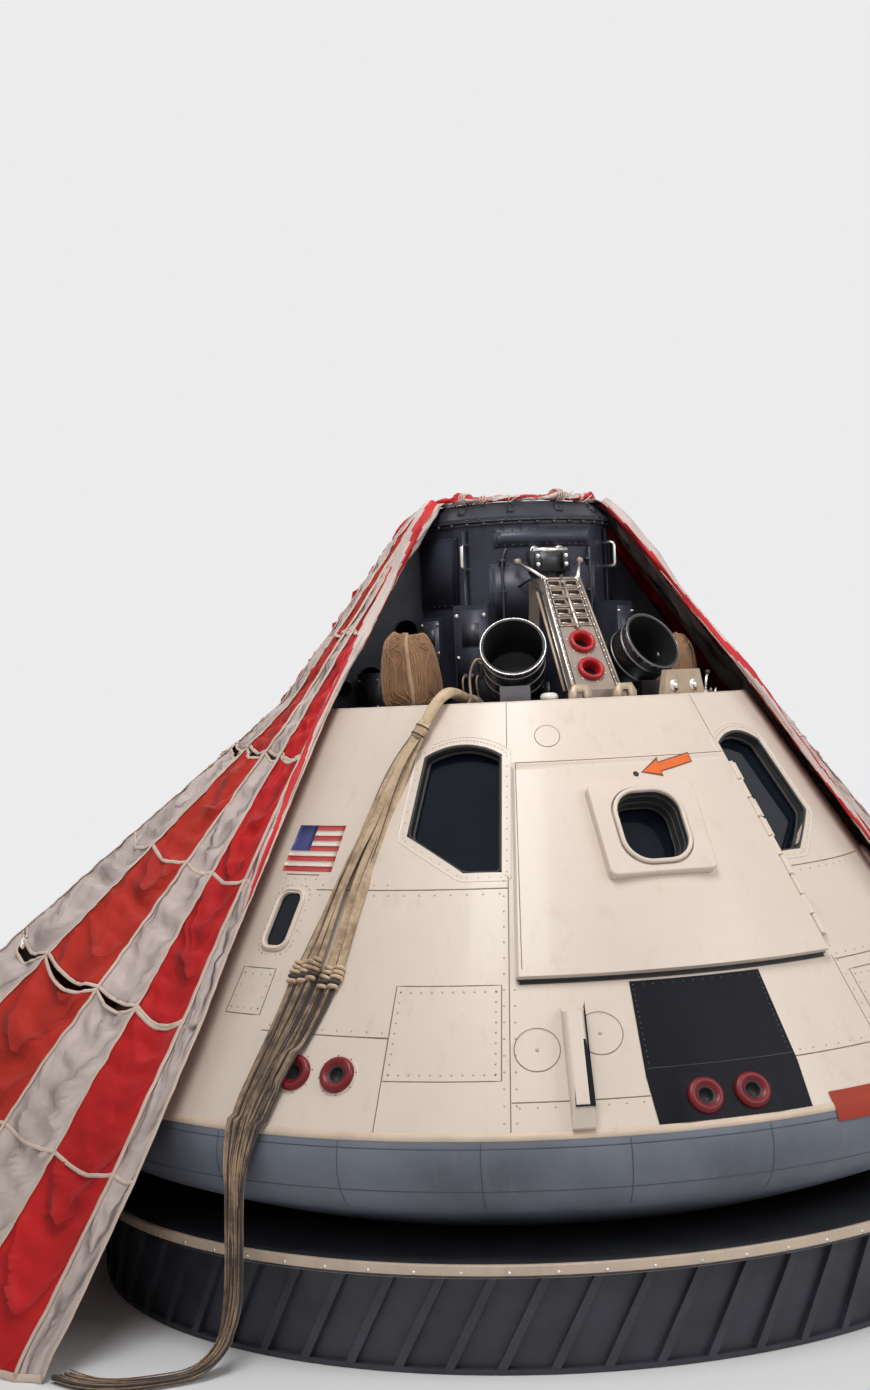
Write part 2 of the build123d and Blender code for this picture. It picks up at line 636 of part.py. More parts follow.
# Hinge on the hull: one pin with knuckles either side of each of the hatch's
with BuildPart() as hinge:
    with BuildSketch(hinge_plane.offset(HATCH_KNUCKLES[0] * HINGE_LENGTH - 1.5 * KNUCKLE_STEP)):
        Circle(HINGE_PIN_RADIUS)
    extrude(amount=(HATCH_KNUCKLES[-1] - HATCH_KNUCKLES[0]) * HINGE_LENGTH + 3 * KNUCKLE_STEP)
    for fraction in HATCH_KNUCKLES:
        for step in (-KNUCKLE_STEP, KNUCKLE_STEP):
            start = fraction * HINGE_LENGTH + step - KNUCKLE_LENGTH / 2
            with BuildSketch(hinge_plane.offset(start)):
                Circle(KNUCKLE_RADIUS)
                with Locations((HINGE_FOOT / 2 - KNUCKLE_RADIUS, HINGE_LIFT)):
                    Rectangle(HINGE_FOOT, 2 * HINGE_LIFT - 8)
                with Locations((0, HINGE_LIFT / 2)):
                    Rectangle(2 * KNUCKLE_RADIUS, HINGE_LIFT)
            extrude(amount=KNUCKLE_LENGTH)
    add(HULL_BODY, mode=Mode.SUBTRACT)
hinge.part.label = "hatch_hinge"
export_step(hinge.part, "parts/hatch_hinge.step")

# Nozzle pairs in their flush plates
for place, azimuth in NOZZLE_PAIRS.items():
    nozzle_plane = surface_plane(azimuth, NOZZLE_HEIGHTS[place])
    with BuildPart() as nozzles:
        with BuildSketch(nozzle_plane.offset(-NOZZLE_PLATE)):
            SlotCenterToCenter(NOZZLE_SPACING, NOZZLE_PLATE_WIDTH)
        extrude(amount=NOZZLE_PLATE)
        with BuildSketch(nozzle_plane.offset(-NOZZLE_PLATE - NOZZLE_DEPTH)):
            with GridLocations(NOZZLE_SPACING, 0, 2, 1):
                Circle(NOZZLE_RIM_RADIUS)
        extrude(amount=NOZZLE_PLATE + NOZZLE_DEPTH + NOZZLE_LIFT)
        with BuildSketch(nozzle_plane.offset(NOZZLE_LIFT)):
            with GridLocations(NOZZLE_SPACING, 0, 2, 1):
                Circle(NOZZLE_THROAT_RADIUS)
        extrude(amount=-NOZZLE_DEPTH, mode=Mode.SUBTRACT)
        chamfer(
            nozzles.edges().filter_by(GeomType.CIRCLE).group_by(Axis((0, 0, 0), nozzle_plane.z_dir))[-1]
            .group_by(SortBy.RADIUS)[-1],
            5,
        )
    nozzles.part.label = f"nozzle_pair_{place}"
    export_step(nozzles.part, f"parts/nozzle_pair_{place}.step")

# Umbilical fairing: a narrow fin standing on the cone down to its lower edge
with BuildPart() as fairing:
    fairing_profile = [
        profile_point(FAIRING_TOP, -20),
        profile_point(FAIRING_TOP - 50, FAIRING_LIFT),
        profile_point(60, FAIRING_LIFT),
        profile_point(2, FAIRING_LIFT - 40),
        profile_point(2, -20),
    ]
    with BuildSketch(profile_plane(FAIRING_AZIMUTH)):
        with BuildLine():
            Polyline(*fairing_profile, close=True)
        make_face()
    extrude(amount=FAIRING_WIDTH / 2, both=True)
    fillet(fairing.edges().filter_by(lambda e: e.length > 200).sort_by(SortBy.DISTANCE)[-2:], 24)
    add(HULL_BODY, mode=Mode.SUBTRACT)
fairing.part.label = "umbilical_fairing"
export_step(fairing.part, "parts/umbilical_fairing.step")

# Cabin: floor, couches on their frame, and the instrument panel
FLOOR_Z = CONE_BASE_Z + FLOOR_THICKNESS
with BuildPart() as floor:
    with BuildSketch(Plane.XY.offset(CONE_BASE_Z)):
        Circle(CABIN_BASE_RADIUS - FLOOR_THICKNESS * SLOPE - FLOOR_CLEARANCE)
    extrude(amount=FLOOR_THICKNESS)
floor.part.label = "cabin_floor"
export_step(floor.part, "parts/cabin_floor.step")

with BuildPart() as couch_frame:
    for y in COUCH_BEAMS:
        with BuildSketch(Plane.XY.offset(FLOOR_Z + COUCH_Z - COUCH_BEAM_SIZE)):
            with Locations((0, y)):
                Rectangle(2 * COUCH_PITCH + COUCH_WIDTH, COUCH_BEAM_SIZE)
        extrude(amount=COUCH_BEAM_SIZE)
    for x in (-COUCH_PITCH, COUCH_PITCH):
        with BuildSketch(Plane.XY.offset(FLOOR_Z + COUCH_Z - COUCH_BEAM_SIZE)):
            with Locations((x, sum(COUCH_BEAMS) / 2)):
                Rectangle(COUCH_BEAM_SIZE, COUCH_BEAMS[1] - COUCH_BEAMS[0])
        extrude(amount=COUCH_BEAM_SIZE)
    with BuildSketch(Plane.XY.offset(FLOOR_Z)):
        for y in COUCH_BEAMS:
            with Locations((-COUCH_PITCH, y), (COUCH_PITCH, y)):
                Rectangle(COUCH_BEAM_SIZE, COUCH_BEAM_SIZE)
    extrude(amount=COUCH_Z - COUCH_BEAM_SIZE)
couch_frame.part.label = "couch_frame"
export_step(couch_frame.part, "parts/couch_frame.step")

for place, x in (("left", -COUCH_PITCH), ("centre", 0.0), ("right", COUCH_PITCH)):
    with BuildPart() as couch:
        with BuildSketch(Plane.YZ.offset(x - COUCH_WIDTH / 2)):
            with BuildLine():
                Polyline(*[(y, FLOOR_Z + COUCH_Z + z) for y, z in COUCH_OUTLINE], close=True)
            make_face()
        extrude(amount=COUCH_WIDTH)
        fillet(couch.edges().filter_by(Axis.X), 14)
    couch.part.label = f"couch_{place}"
    export_step(couch.part, f"parts/couch_{place}.step")

with BuildPart() as panel:
    with BuildSketch(Plane.XY.offset(CONE_BASE_Z + PANEL_HEIGHT)):
        with Locations((0, PANEL_Y)):
            Rectangle(2 * CONE_BASE_RADIUS, PANEL_DEPTH)
    extrude(amount=PANEL_THICKNESS)
    with BuildSketch(Plane.XY.offset(CONE_BASE_Z + PANEL_HEIGHT)):
        with Locations((0, PANEL_Y)):
            with GridLocations(PANEL_BAY_PITCH, 0, 3, 1):
                RectangleRounded(*PANEL_BAY_SIZE, PANEL_BAY_CORNER)
    extrude(amount=PANEL_RECESS, mode=Mode.SUBTRACT)
    add(CABIN_BODY, mode=Mode.INTERSECT)
panel.part.label = "instrument_panel"
export_step(panel.part, "parts/instrument_panel.step")

# Forward deck, tunnel with its equipment boxes and handles, docking ring and forward hatch
with BuildPart() as deck:
    with BuildSketch(Plane.XY.offset(LEDGE_Z)):
        Circle(DECK_RADIUS)
        Circle(FORWARD_HATCH_SEAT, mode=Mode.SUBTRACT)
    extrude(amount=DECK_THICKNESS)
    cap_centre = around(CAP_AZIMUTH, DECK_RADIUS - CAP_MARGIN, DECK_Z)
    with BuildSketch(Plane(origin=cap_centre)):
        Circle(CAP_RADIUS)
    extrude(amount=CAP_HEIGHT)
    chamfer(deck.edges().group_by(Axis.Z)[-1], 7)
deck.part.label = "forward_deck"
export_step(deck.part, "parts/forward_deck.step")

with BuildPart() as tunnel:
    with BuildSketch(Plane.XY.offset(DECK_Z)):
        Circle(TUNNEL_RADIUS)
    extrude(amount=TUNNEL_HEIGHT)
    for azimuth, width, depth, bottom, height in TUNNEL_BOXES:
        with BuildSketch(radial_plane(azimuth, TUNNEL_RADIUS - 40, DECK_Z + bottom)):
            Rectangle(width, height, align=(Align.CENTER, Align.MIN))
        extrude(amount=40 + depth)
    for azimuth, bottom, height, reach in TUNNEL_LOOPS:
        with BuildSketch(profile_plane(azimuth)):
            with Locations((TUNNEL_RADIUS, DECK_Z + bottom + height / 2)):
                Rectangle(2 * reach, height)
                Rectangle(2 * (reach - LOOP_ROD), height - 2 * LOOP_ROD, mode=Mode.SUBTRACT)
        extrude(amount=LOOP_ROD / 2, both=True)
    bar_plane = radial_plane(0, 0, DECK_Z + GRAB_BAR_HEIGHT)
    with BuildSketch(bar_plane):
        with GridLocations(GRAB_BAR_LENGTH - 40, 0, 2, 1):
            Circle(GRAB_BAR_RADIUS)
    extrude(amount=GRAB_BAR_REACH)
    with BuildSketch(Plane.YZ.offset(-GRAB_BAR_LENGTH / 2)):
        with Locations((-GRAB_BAR_REACH, DECK_Z + GRAB_BAR_HEIGHT)):
            Circle(GRAB_BAR_RADIUS)
    extrude(amount=GRAB_BAR_LENGTH)
    with BuildSketch(Plane.XY.offset(DECK_Z)):
        Circle(TUNNEL_INNER_RADIUS)
    extrude(amount=TUNNEL_HEIGHT, mode=Mode.SUBTRACT)
tunnel.part.label = "tunnel"
export_step(tunnel.part, "parts/tunnel.step")

with BuildPart() as docking_ring:
    add(
        revolved(
            [
                (DOCK_RING_INNER_RADIUS, TUNNEL_TOP_Z),
                (DOCK_RING_FOOT_RADIUS, TUNNEL_TOP_Z),
                (DOCK_RING_FOOT_RADIUS, TUNNEL_TOP_Z + 18),
                (DOCK_RING_TOP_RADIUS, DOCK_TOP_Z),
                (DOCK_RING_INNER_RADIUS, DOCK_TOP_Z),
            ]
        )
    )
docking_ring.part.label = "docking_ring"
export_step(docking_ring.part, "parts/docking_ring.step")

with BuildPart() as forward_hatch:
    with BuildSketch(Plane.XY.offset(DECK_Z)):
        Circle(FORWARD_HATCH_RADIUS)
    extrude(amount=FORWARD_HATCH_THICKNESS)
    fillet(forward_hatch.edges().group_by(Axis.Z)[-1], 15)
    with BuildSketch(Plane.XY.offset(DECK_Z + FORWARD_HATCH_THICKNESS)):
        SlotOverall(260, 50)
    extrude(amount=45)
    with BuildSketch(Plane.YZ.offset(-60)):
        with Locations((0, DECK_Z + FORWARD_HATCH_THICKNESS + 12)):
            Rectangle(60, 24)
    extrude(amount=120, mode=Mode.SUBTRACT)
forward_hatch.part.label = "forward_hatch"
export_step(forward_hatch.part, "parts/forward_hatch.step")

for place, azimuth in GUSSET_AZIMUTHS.items():
    with BuildPart() as gusset:
        with BuildSketch(profile_plane(azimuth)):
            with BuildLine():
                Polyline(
                    (TUNNEL_RADIUS - 30, DECK_Z),
                    (DECK_RADIUS - GUSSET_MARGIN, DECK_Z),
                    (DECK_RADIUS - GUSSET_MARGIN, DECK_Z + GUSSET_TOE),
                    (TUNNEL_RADIUS, DECK_Z + GUSSET_HEIGHT),
                    (TUNNEL_RADIUS - 30, DECK_Z + GUSSET_HEIGHT),
                    close=True,
                )
            make_face()
            for radius, height, hole in GUSSET_HOLES:
                with Locations((radius, DECK_Z + height)):
                    Circle(hole, mode=Mode.SUBTRACT)
        extrude(amount=GUSSET_THICKNESS / 2, both=True)
        with BuildSketch(Plane.XY.offset(DECK_Z)):
            Circle(TUNNEL_RADIUS)
        extrude(amount=TUNNEL_HEIGHT, mode=Mode.SUBTRACT)
    gusset.part.label = f"gusset_{place}"
    export_step(gusset.part, f"parts/gusset_{place}.step")

# Thruster ramp in front of the tunnel, with its two nozzles and the lugs at its foot
RAMP_TOP_RADIUS = TUNNEL_RADIUS + RAMP_TOP_REACH
RAMP_FOOT_RADIUS = DECK_RADIUS - RAMP_FOOT_MARGIN
ramp_top = around(0, RAMP_TOP_RADIUS, DECK_Z + RAMP_TOP_HEIGHT)
ramp_foot = around(0, RAMP_FOOT_RADIUS, DECK_Z + RAMP_FOOT_HEIGHT)
ramp_plane = Plane(origin=ramp_top, x_dir=(1, 0, 0), z_dir=(ramp_foot - ramp_top).cross(Vector(1, 0, 0)))
with BuildPart() as ramp:
    with BuildSketch(profile_plane(0)):
        with BuildLine():
            Polyline(
                (TUNNEL_RADIUS - 30, DECK_Z),
                (RAMP_FOOT_RADIUS, DECK_Z),
                (RAMP_FOOT_RADIUS, DECK_Z + RAMP_FOOT_HEIGHT),
                (RAMP_TOP_RADIUS, DECK_Z + RAMP_TOP_HEIGHT),
                (TUNNEL_RADIUS - 30, DECK_Z + RAMP_TOP_HEIGHT),
                close=True,
            )
        make_face()
    extrude(amount=RAMP_WIDTH_FOOT / 2, both=True)
    with BuildSketch(Plane.XZ):
        with BuildLine():
            Polyline(
                (-RAMP_WIDTH_FOOT / 2, DECK_Z),
                (RAMP_WIDTH_FOOT / 2, DECK_Z),
                (RAMP_WIDTH_TOP / 2, DECK_Z + RAMP_TOP_HEIGHT),
                (-RAMP_WIDTH_TOP / 2, DECK_Z + RAMP_TOP_HEIGHT),
                close=True,
            )
        make_face()
    extrude(amount=CONE_TOP_RADIUS, mode=Mode.INTERSECT)
    with BuildSketch(Plane.XY.offset(DECK_Z)):
        Circle(TUNNEL_RADIUS)
    extrude(amount=TUNNEL_HEIGHT, mode=Mode.SUBTRACT)
    for slot in range(RAMP_SLOTS):
        slot_point = ramp_top + (ramp_foot - ramp_top) * (RAMP_FIRST_SLOT + RAMP_SLOT_STEP * slot)
        with BuildSketch(Plane(origin=slot_point, x_dir=(1, 0, 0), z_dir=ramp_plane.z_dir)):
            with GridLocations(RAMP_SLOT_SPACING, 0, 2, 1):
                RectangleRounded(*RAMP_SLOT_SIZE, 6)
        extrude(amount=-RAMP_SLOT_DEPTH, mode=Mode.SUBTRACT)
    for fraction in RAMP_NOZZLE_FRACTIONS:
        nozzle_point = ramp_top + (ramp_foot - ramp_top) * fraction
        with BuildSketch(Plane(origin=nozzle_point, x_dir=(1, 0, 0), z_dir=ramp_plane.z_dir)):
            Circle(RAMP_NOZZLE_RADIUS)
        extrude(amount=-RAMP_NOZZLE_DEPTH, mode=Mode.SUBTRACT)
    for x in (-RAMP_LUG_X, RAMP_LUG_X):
        with BuildSketch(Plane.YZ.offset(x - RAMP_LUG_WIDTH / 2)):
            with BuildLine():
                Polyline(
                    (-RAMP_FOOT_RADIUS + 10, DECK_Z),
                    (-RAMP_FOOT_RADIUS - RAMP_LUG_REACH, DECK_Z),
                    (-RAMP_FOOT_RADIUS - RAMP_LUG_REACH, DECK_Z + RAMP_LUG_HEIGHT),
                    (-RAMP_FOOT_RADIUS + 10, DECK_Z + RAMP_FOOT_HEIGHT),
                    close=True,
                )
            make_face()
            with Locations((-RAMP_FOOT_RADIUS - RAMP_LUG_REACH / 2, DECK_Z + RAMP_LUG_HEIGHT / 2)):
                Circle(RAMP_LUG_HOLE, mode=Mode.SUBTRACT)
        extrude(amount=RAMP_LUG_WIDTH)
ramp.part.label = "thruster_ramp"
export_step(ramp.part, "parts/thruster_ramp.step")

for number, fraction in enumerate(RAMP_NOZZLE_FRACTIONS, 1):
    nozzle_point = ramp_top + (ramp_foot - ramp_top) * fraction
    cup_plane = Plane(origin=nozzle_point, x_dir=(1, 0, 0), z_dir=ramp_plane.z_dir)
    with BuildPart() as cup:
        with BuildSketch(cup_plane.offset(-RAMP_NOZZLE_DEPTH)):
            Circle(RAMP_NOZZLE_RADIUS)
        extrude(amount=RAMP_NOZZLE_DEPTH + RAMP_NOZZLE_LIFT)
        with BuildSketch(cup_plane.offset(RAMP_NOZZLE_LIFT)):
            Circle(RAMP_NOZZLE_RADIUS - 16)
        extrude(amount=-RAMP_NOZZLE_DEPTH, taper=9, mode=Mode.SUBTRACT)
    cup.part.label = f"ramp_nozzle_{number}"
    export_step(cup.part, f"parts/ramp_nozzle_{number}.step")

# Parachute mortars either side of the ramp, each on a saddle on the deck
for side, name in ((-1, "left"), (1, "right")):
    azimuth = side * MORTAR_AZIMUTH
    mouth_plane = radial_plane(
        azimuth, DECK_RADIUS - MORTAR_MARGIN, DECK_Z + MORTAR_MOUTH_HEIGHT, MORTAR_ELEVATION
    )
    with BuildPart() as mortar:
        with BuildSketch(mouth_plane):
            Circle(MORTAR_RADIUS)
        extrude(amount=-MORTAR_LENGTH)
        with BuildSketch(mouth_plane):
            Circle(MORTAR_RADIUS + MORTAR_RIM)
        extrude(amount=-MORTAR_RIM_LENGTH)
        with BuildSketch(radial_plane(azimuth, DECK_RADIUS - MORTAR_SADDLE_MARGIN, DECK_Z)):
            Rectangle(MORTAR_SADDLE_WIDTH, MORTAR_SADDLE_HEIGHT, align=(Align.CENTER, Align.MIN))
        extrude(amount=MORTAR_SADDLE_LENGTH)
        with BuildSketch(mouth_plane):
            Circle(MORTAR_RADIUS - MORTAR_WALL)
        extrude(amount=-MORTAR_LENGTH + MORTAR_END, mode=Mode.SUBTRACT)
    mortar.part.label = f"mortar_{name}"
    export_step(mortar.part, f"parts/mortar_{name}.step")

# Recovery sling bracket on the deck, in front of the right mortar
with BuildPart() as sling_bracket:
    sling_radius = DECK_RADIUS - SLING_MARGIN - SLING_DEPTH
    with BuildSketch(radial_plane(SLING_AZIMUTH, sling_radius, DECK_Z)):
        with BuildLine():
            Polyline(
                (-SLING_WIDTH / 2, 0),
                (SLING_WIDTH / 2, 0),
                (SLING_WIDTH / 2 - SLING_TAPER, SLING_HEIGHT),
                (-SLING_WIDTH / 2 + SLING_TAPER, SLING_HEIGHT),
                close=True,
            )
        make_face()
        with Locations((-SLING_HOLE_X, SLING_HEIGHT / 2), (SLING_HOLE_X, SLING_HEIGHT / 2)):
            Circle(SLING_HOLE_RADIUS, mode=Mode.SUBTRACT)
    extrude(amount=SLING_DEPTH)
sling_bracket.part.label = "sling_bracket"
export_step(sling_bracket.part, "parts/sling_bracket.step")

# Packed parachutes in the bays beside the mortars
for name, azimuth, margin, width, depth, height in PACKS:
    with BuildPart() as pack:
        with BuildSketch(radial_plane(azimuth, DECK_RADIUS - margin - depth, DECK_Z)):
            Rectangle(width, height, align=(Align.CENTER, Align.MIN))
        extrude(amount=depth)
        fillet(pack.edges().filter_by(Axis.Z), PACK_SIDE_FILLET)
        fillet(pack.edges().group_by(Axis.Z)[-1], PACK_TOP_FILLET)
    pack.part.label = name
    export_step(pack.part, f"parts/{name}.step")

# Draped parachute: a cape over the docking ring and the cone, and a skirt from the rim to the floor
def lift_at(azimuth):
    """Lift off the cone's lower edge, read between the named azimuths."""
    for (before, low), (after, high) in zip(DRAPE_LIFTS, DRAPE_LIFTS[1:]):
        if azimuth <= after:
            return low + (high - low) * (azimuth - before) / (after - before)
    return DRAPE_LIFTS[-1][1]


def drape_stations():
    """(azimuth, sag) at each seam, and at the middle of each gore where the cloth sags."""
    back_arc = DRAPE_END - DRAPE_START - sum(DRAPE_RIGHT_GORES) - sum(DRAPE_LEFT_GORES)
    back_gores = [back_arc / DRAPE_BACK_GORES] * DRAPE_BACK_GORES
    seam = DRAPE_START
    stations = [(seam, 0.0)]
    for width in DRAPE_RIGHT_GORES + back_gores + DRAPE_LEFT_GORES:
        stations.append((seam + width / 2, DRAPE_SAG * width))
        seam += width
        stations.append((seam, 0.0))
    return stations


def cape_outline(lift):
    ring_top = DOCK_TOP_Z + DRAPE_THICKNESS
    return [
        (DOCK_RING_INNER_RADIUS + DRAPE_RING_GAP, DOCK_TOP_Z),
        (DOCK_RING_TOP_RADIUS + DRAPE_RING_GAP, DOCK_TOP_Z),
        (DOCK_RING_FOOT_RADIUS + DRAPE_BULGE, DOCK_TOP_Z - DOCK_RING_HEIGHT + DRAPE_RING_GAP),
        profile_point(CONE_HEIGHT, DRAPE_LIFT),
        profile_point(0, lift),
        profile_point(0, lift + DRAPE_THICKNESS),
        profile_point(CONE_HEIGHT, DRAPE_LIFT + DRAPE_THICKNESS),
        (DOCK_RING_FOOT_RADIUS + DRAPE_THICKNESS, DOCK_TOP_Z),
        (DOCK_RING_TOP_RADIUS + DRAPE_THICKNESS / 2, ring_top),
        (DOCK_RING_INNER_RADIUS + DRAPE_RING_GAP, ring_top),
    ]


def skirt_outline(lift):
    hem_radius = DRAPE_EDGE_HEM_RADIUS + DRAPE_HEM_SPREAD * (lift - DRAPE_LIFTS[0][1])
    return [
        profile_point(0, lift),
        (hem_radius - DRAPE_HEM_WIDTH, DRAPE_HEM_HEIGHT),
        (hem_radius - DRAPE_HEM_WIDTH, 0),
        (hem_radius, 0),
        (hem_radius, DRAPE_HEM_HEIGHT),
        profile_point(0, lift + DRAPE_THICKNESS),
    ]


with BuildPart() as cape:
    for azimuth, sag in drape_stations():
        with BuildSketch(profile_plane(azimuth)):
            with BuildLine():
                Polyline(*cape_outline(lift_at(azimuth) - sag), close=True)
            make_face()
    loft(ruled=True)
cape.part.label = "parachute_cape"
export_step(cape.part, "parts/parachute_cape.step")

with BuildPart() as drape_skirt:
    for azimuth, sag in drape_stations():
        with BuildSketch(profile_plane(azimuth)):
            with BuildLine():
                Polyline(*skirt_outline(lift_at(azimuth) - sag), close=True)
            make_face()
    loft(ruled=True)
drape_skirt.part.label = "parachute_skirt"
export_step(drape_skirt.part, "parts/parachute_skirt.step")


# Riser from the recovery bay, over the rim, down the cone and along the floor to the drape
def bend_radii(points):
    """Radius at each corner of a route, as large as its two runs allow."""
    radii = []
    for before, corner, after in zip(points, points[1:], points[2:]):
        turn = radians((corner - before).get_angle(after - corner))
        shorter = min((corner - before).length, (after - corner).length)
        radii.append(RISER_BEND_SHARE * shorter / tan(turn / 2))
    return radii


riser_points = [around(*point) for point in RISER_BAY]
riser_points += [on_cone(*point) for point in RISER_CONE]
riser_points += [around(*point) for point in RISER_FLOOR]
riser_radii = bend_radii(riser_points)
print("riser bend radii", [round(radius) for radius in riser_radii])
with BuildPart() as riser:
    with BuildLine() as riser_path:
        FilletPolyline(*riser_points, radius=riser_radii)
    with BuildSketch(Plane(origin=riser_path.line @ 0, z_dir=riser_path.line % 0)):
        Circle(RISER_RADIUS)
    sweep()
riser.part.label = "riser"
export_step(riser.part, "parts/riser.step")
riser_length = riser_path.wire().length
tube_volume = pi * RISER_RADIUS**2 * riser_length
print("riser length", round(riser_length), "volume share", round(riser.part.volume / tube_volume, 4))
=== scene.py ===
import math
import random
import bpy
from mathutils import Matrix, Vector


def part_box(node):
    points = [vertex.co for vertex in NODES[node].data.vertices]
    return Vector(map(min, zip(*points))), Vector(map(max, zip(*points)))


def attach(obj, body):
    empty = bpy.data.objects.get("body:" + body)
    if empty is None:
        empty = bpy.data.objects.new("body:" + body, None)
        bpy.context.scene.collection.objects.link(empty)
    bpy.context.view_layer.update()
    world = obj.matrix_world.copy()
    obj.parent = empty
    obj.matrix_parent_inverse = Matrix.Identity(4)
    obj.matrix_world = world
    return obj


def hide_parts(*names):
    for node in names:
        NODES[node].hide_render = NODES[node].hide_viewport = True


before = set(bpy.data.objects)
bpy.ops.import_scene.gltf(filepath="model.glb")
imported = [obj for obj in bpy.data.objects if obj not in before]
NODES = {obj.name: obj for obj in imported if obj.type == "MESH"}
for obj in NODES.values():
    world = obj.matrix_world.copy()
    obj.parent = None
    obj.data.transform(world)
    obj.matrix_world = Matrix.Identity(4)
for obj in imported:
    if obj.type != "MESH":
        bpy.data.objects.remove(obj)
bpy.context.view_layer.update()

from types import SimpleNamespace

import bpy
import numpy as np
from mathutils import Matrix, Vector

CAPSULE, HATCH = "capsule", "hatch"
UP = Vector((0, 0, 1))

# Sizes of the frame, in metres
MAX_R, CORNER_R = 1.956, 0.196
CONE_TOP_R, CONE_RISE = 0.985, 1.55327
SPHERE_R, POLE_Z = 4.694, 0.170
INSET = MAX_R - CORNER_R - CONE_TOP_R
ANGLE = math.atan2(INSET, CONE_RISE) + math.asin(CORNER_R / math.hypot(INSET, CONE_RISE))
SIN, COS, TAN = math.sin(ANGLE), math.cos(ANGLE), math.tan(ANGLE)
CORNER_Z = POLE_Z + SPHERE_R - math.sqrt((SPHERE_R - CORNER_R) ** 2 - (MAX_R - CORNER_R) ** 2)
BASE_Z = CORNER_Z + CORNER_R * SIN
BASE_R = MAX_R - CORNER_R + CORNER_R * COS
TOP_H = (BASE_R - CONE_TOP_R) / TAN
TOP_Z = BASE_Z + TOP_H
DECK_Z = TOP_Z - 0.030
DECK_R = CONE_TOP_R - 0.020
TUNNEL_R = 0.420
TUNNEL_TOP_Z = DECK_Z + 0.775
DOCK_TOP_Z = TUNNEL_TOP_Z + 0.082

# Places on the hull: azimuth in degrees from the hatch, and height over the cone's lower edge
NOZZLE_PAIRS = ((-45.5, 0.172), (0.4, 0.076), (45.5, 0.172))
NOZZLE_OFF = 0.089
WINDOW_AZ, WINDOW_H = 31.5, 1.060
BEZEL_AZ, BEZEL_H = 31.2, 1.052
SIDE_WINDOW_AZ, SIDE_WINDOW_H = 58.2, 0.668
HATCH_WINDOW_H = 0.938
KEY_HOLE = (0.4, 1.136)
FAIRING_AZ = -15.6
MORTAR_AZ, SLING_AZ = 21.0, 24.0
BLACK_LEFT, BLACK_RIGHT, BLACK_TOP = -8.1, 9.8, 0.447
# half the distance between the lugs at the ramp's foot
LUG_OFF = 0.094


def around(az, r, z):
    """The point at azimuth az in degrees, radius r and height z. Azimuth 0 faces front."""
    a = math.radians(az)
    return Vector((r * math.sin(a), -r * math.cos(a), z))


def on_cone(az, h, lift=0.0):
    """The point h over the cone's lower edge, lifted square off the cone."""
    return around(az, BASE_R - h * TAN + lift * COS, BASE_Z + h + lift * SIN)


def cone_axes(az):
    """Unit vectors on the cone: round it, up its slope, and outwards."""
    a = math.radians(az)
    side = Vector((math.cos(a), math.sin(a), 0))
    out = Vector((math.sin(a) * COS, -math.cos(a) * COS, SIN))
    return side, out.cross(side), out


def cone_axes_at(p):
    """The cone's unit vectors at a point on it."""
    return cone_axes(math.degrees(math.atan2(p.x, -p.y)))


def near_cone(az, h, x, y, lift=0.0):
    """A point x to the side and y up the slope from (az, h), wrapped on the cone."""
    hh = h + y * COS
    return on_cone(az + math.degrees(x / (BASE_R - hh * TAN)), hh, lift)


# Materials
def nodes_of(name):
    """A new material, its node tree and its shader."""
    mat = bpy.data.materials.new(name)
    mat.use_nodes = True
    nt = mat.node_tree
    return mat, nt, nt.nodes["Principled BSDF"]


def link(nt, a, b):
    nt.links.new(a, b)


def node(nt, kind, **values):
    """A new node, with its inputs or settings given by name."""
    n = nt.nodes.new(kind)
    for key, value in values.items():
        if key in n.inputs:
            n.inputs[key].default_value = value
        else:
            setattr(n, key, value)
    return n


def feed(nt, socket, value):
    """Sets an input to a number or a colour, or links another node's output to it."""
    if isinstance(value, tuple):
        socket.default_value = (*value, 1)
    elif isinstance(value, (int, float)):
        socket.default_value = value
    else:
        link(nt, value, socket)


def coords(nt, scale=(1, 1, 1)):
    """Scaled object coordinates."""
    mapping = node(nt, "ShaderNodeMapping", Scale=scale)
    link(nt, node(nt, "ShaderNodeTexCoord").outputs["Object"], mapping.inputs["Vector"])
    return mapping.outputs["Vector"]


def noise(nt, scale, detail, rough, vec, distortion=0.0):
    """Noise from 0 to 1 over the coordinates vec."""
    n = node(nt, "ShaderNodeTexNoise", Scale=scale, Detail=detail, Roughness=rough, Distortion=distortion)
    link(nt, vec, n.inputs["Vector"])
    return n.outputs["Fac"]


def ramp(nt, fac, stops):
    """A colour ramp through (place, colour) stops."""
    r = node(nt, "ShaderNodeValToRGB")
    els = r.color_ramp.elements
    while len(els) > 1:
        els.remove(els[-1])
    els[0].position, els[0].color = stops[0][0], (*stops[0][1], 1)
    for pos, col in stops[1:]:
        els.new(pos).color = (*col, 1)
    link(nt, fac, r.inputs["Fac"])
    return r.outputs["Color"]


def grey(v):
    return (v, v, v)


def mix(nt, a, b, fac, blend="MIX"):
    """Colour a with b mixed in by fac. Inputs 6 and 7 and output 2 are the node's colour sockets."""
    m = node(nt, "ShaderNodeMix", data_type="RGBA", blend_type=blend)
    for i, value in ((0, fac), (6, a), (7, b)):
        feed(nt, m.inputs[i], value)
    return m.outputs[2]


def math_node(nt, op, a, b=None, clamp=False):
    """The result of an operation on numbers or other nodes' outputs."""
    m = node(nt, "ShaderNodeMath", operation=op, use_clamp=clamp)
    for socket, value in zip(m.inputs, (a, b)):
        if value is not None:
            feed(nt, socket, value)
    return m.outputs[0]


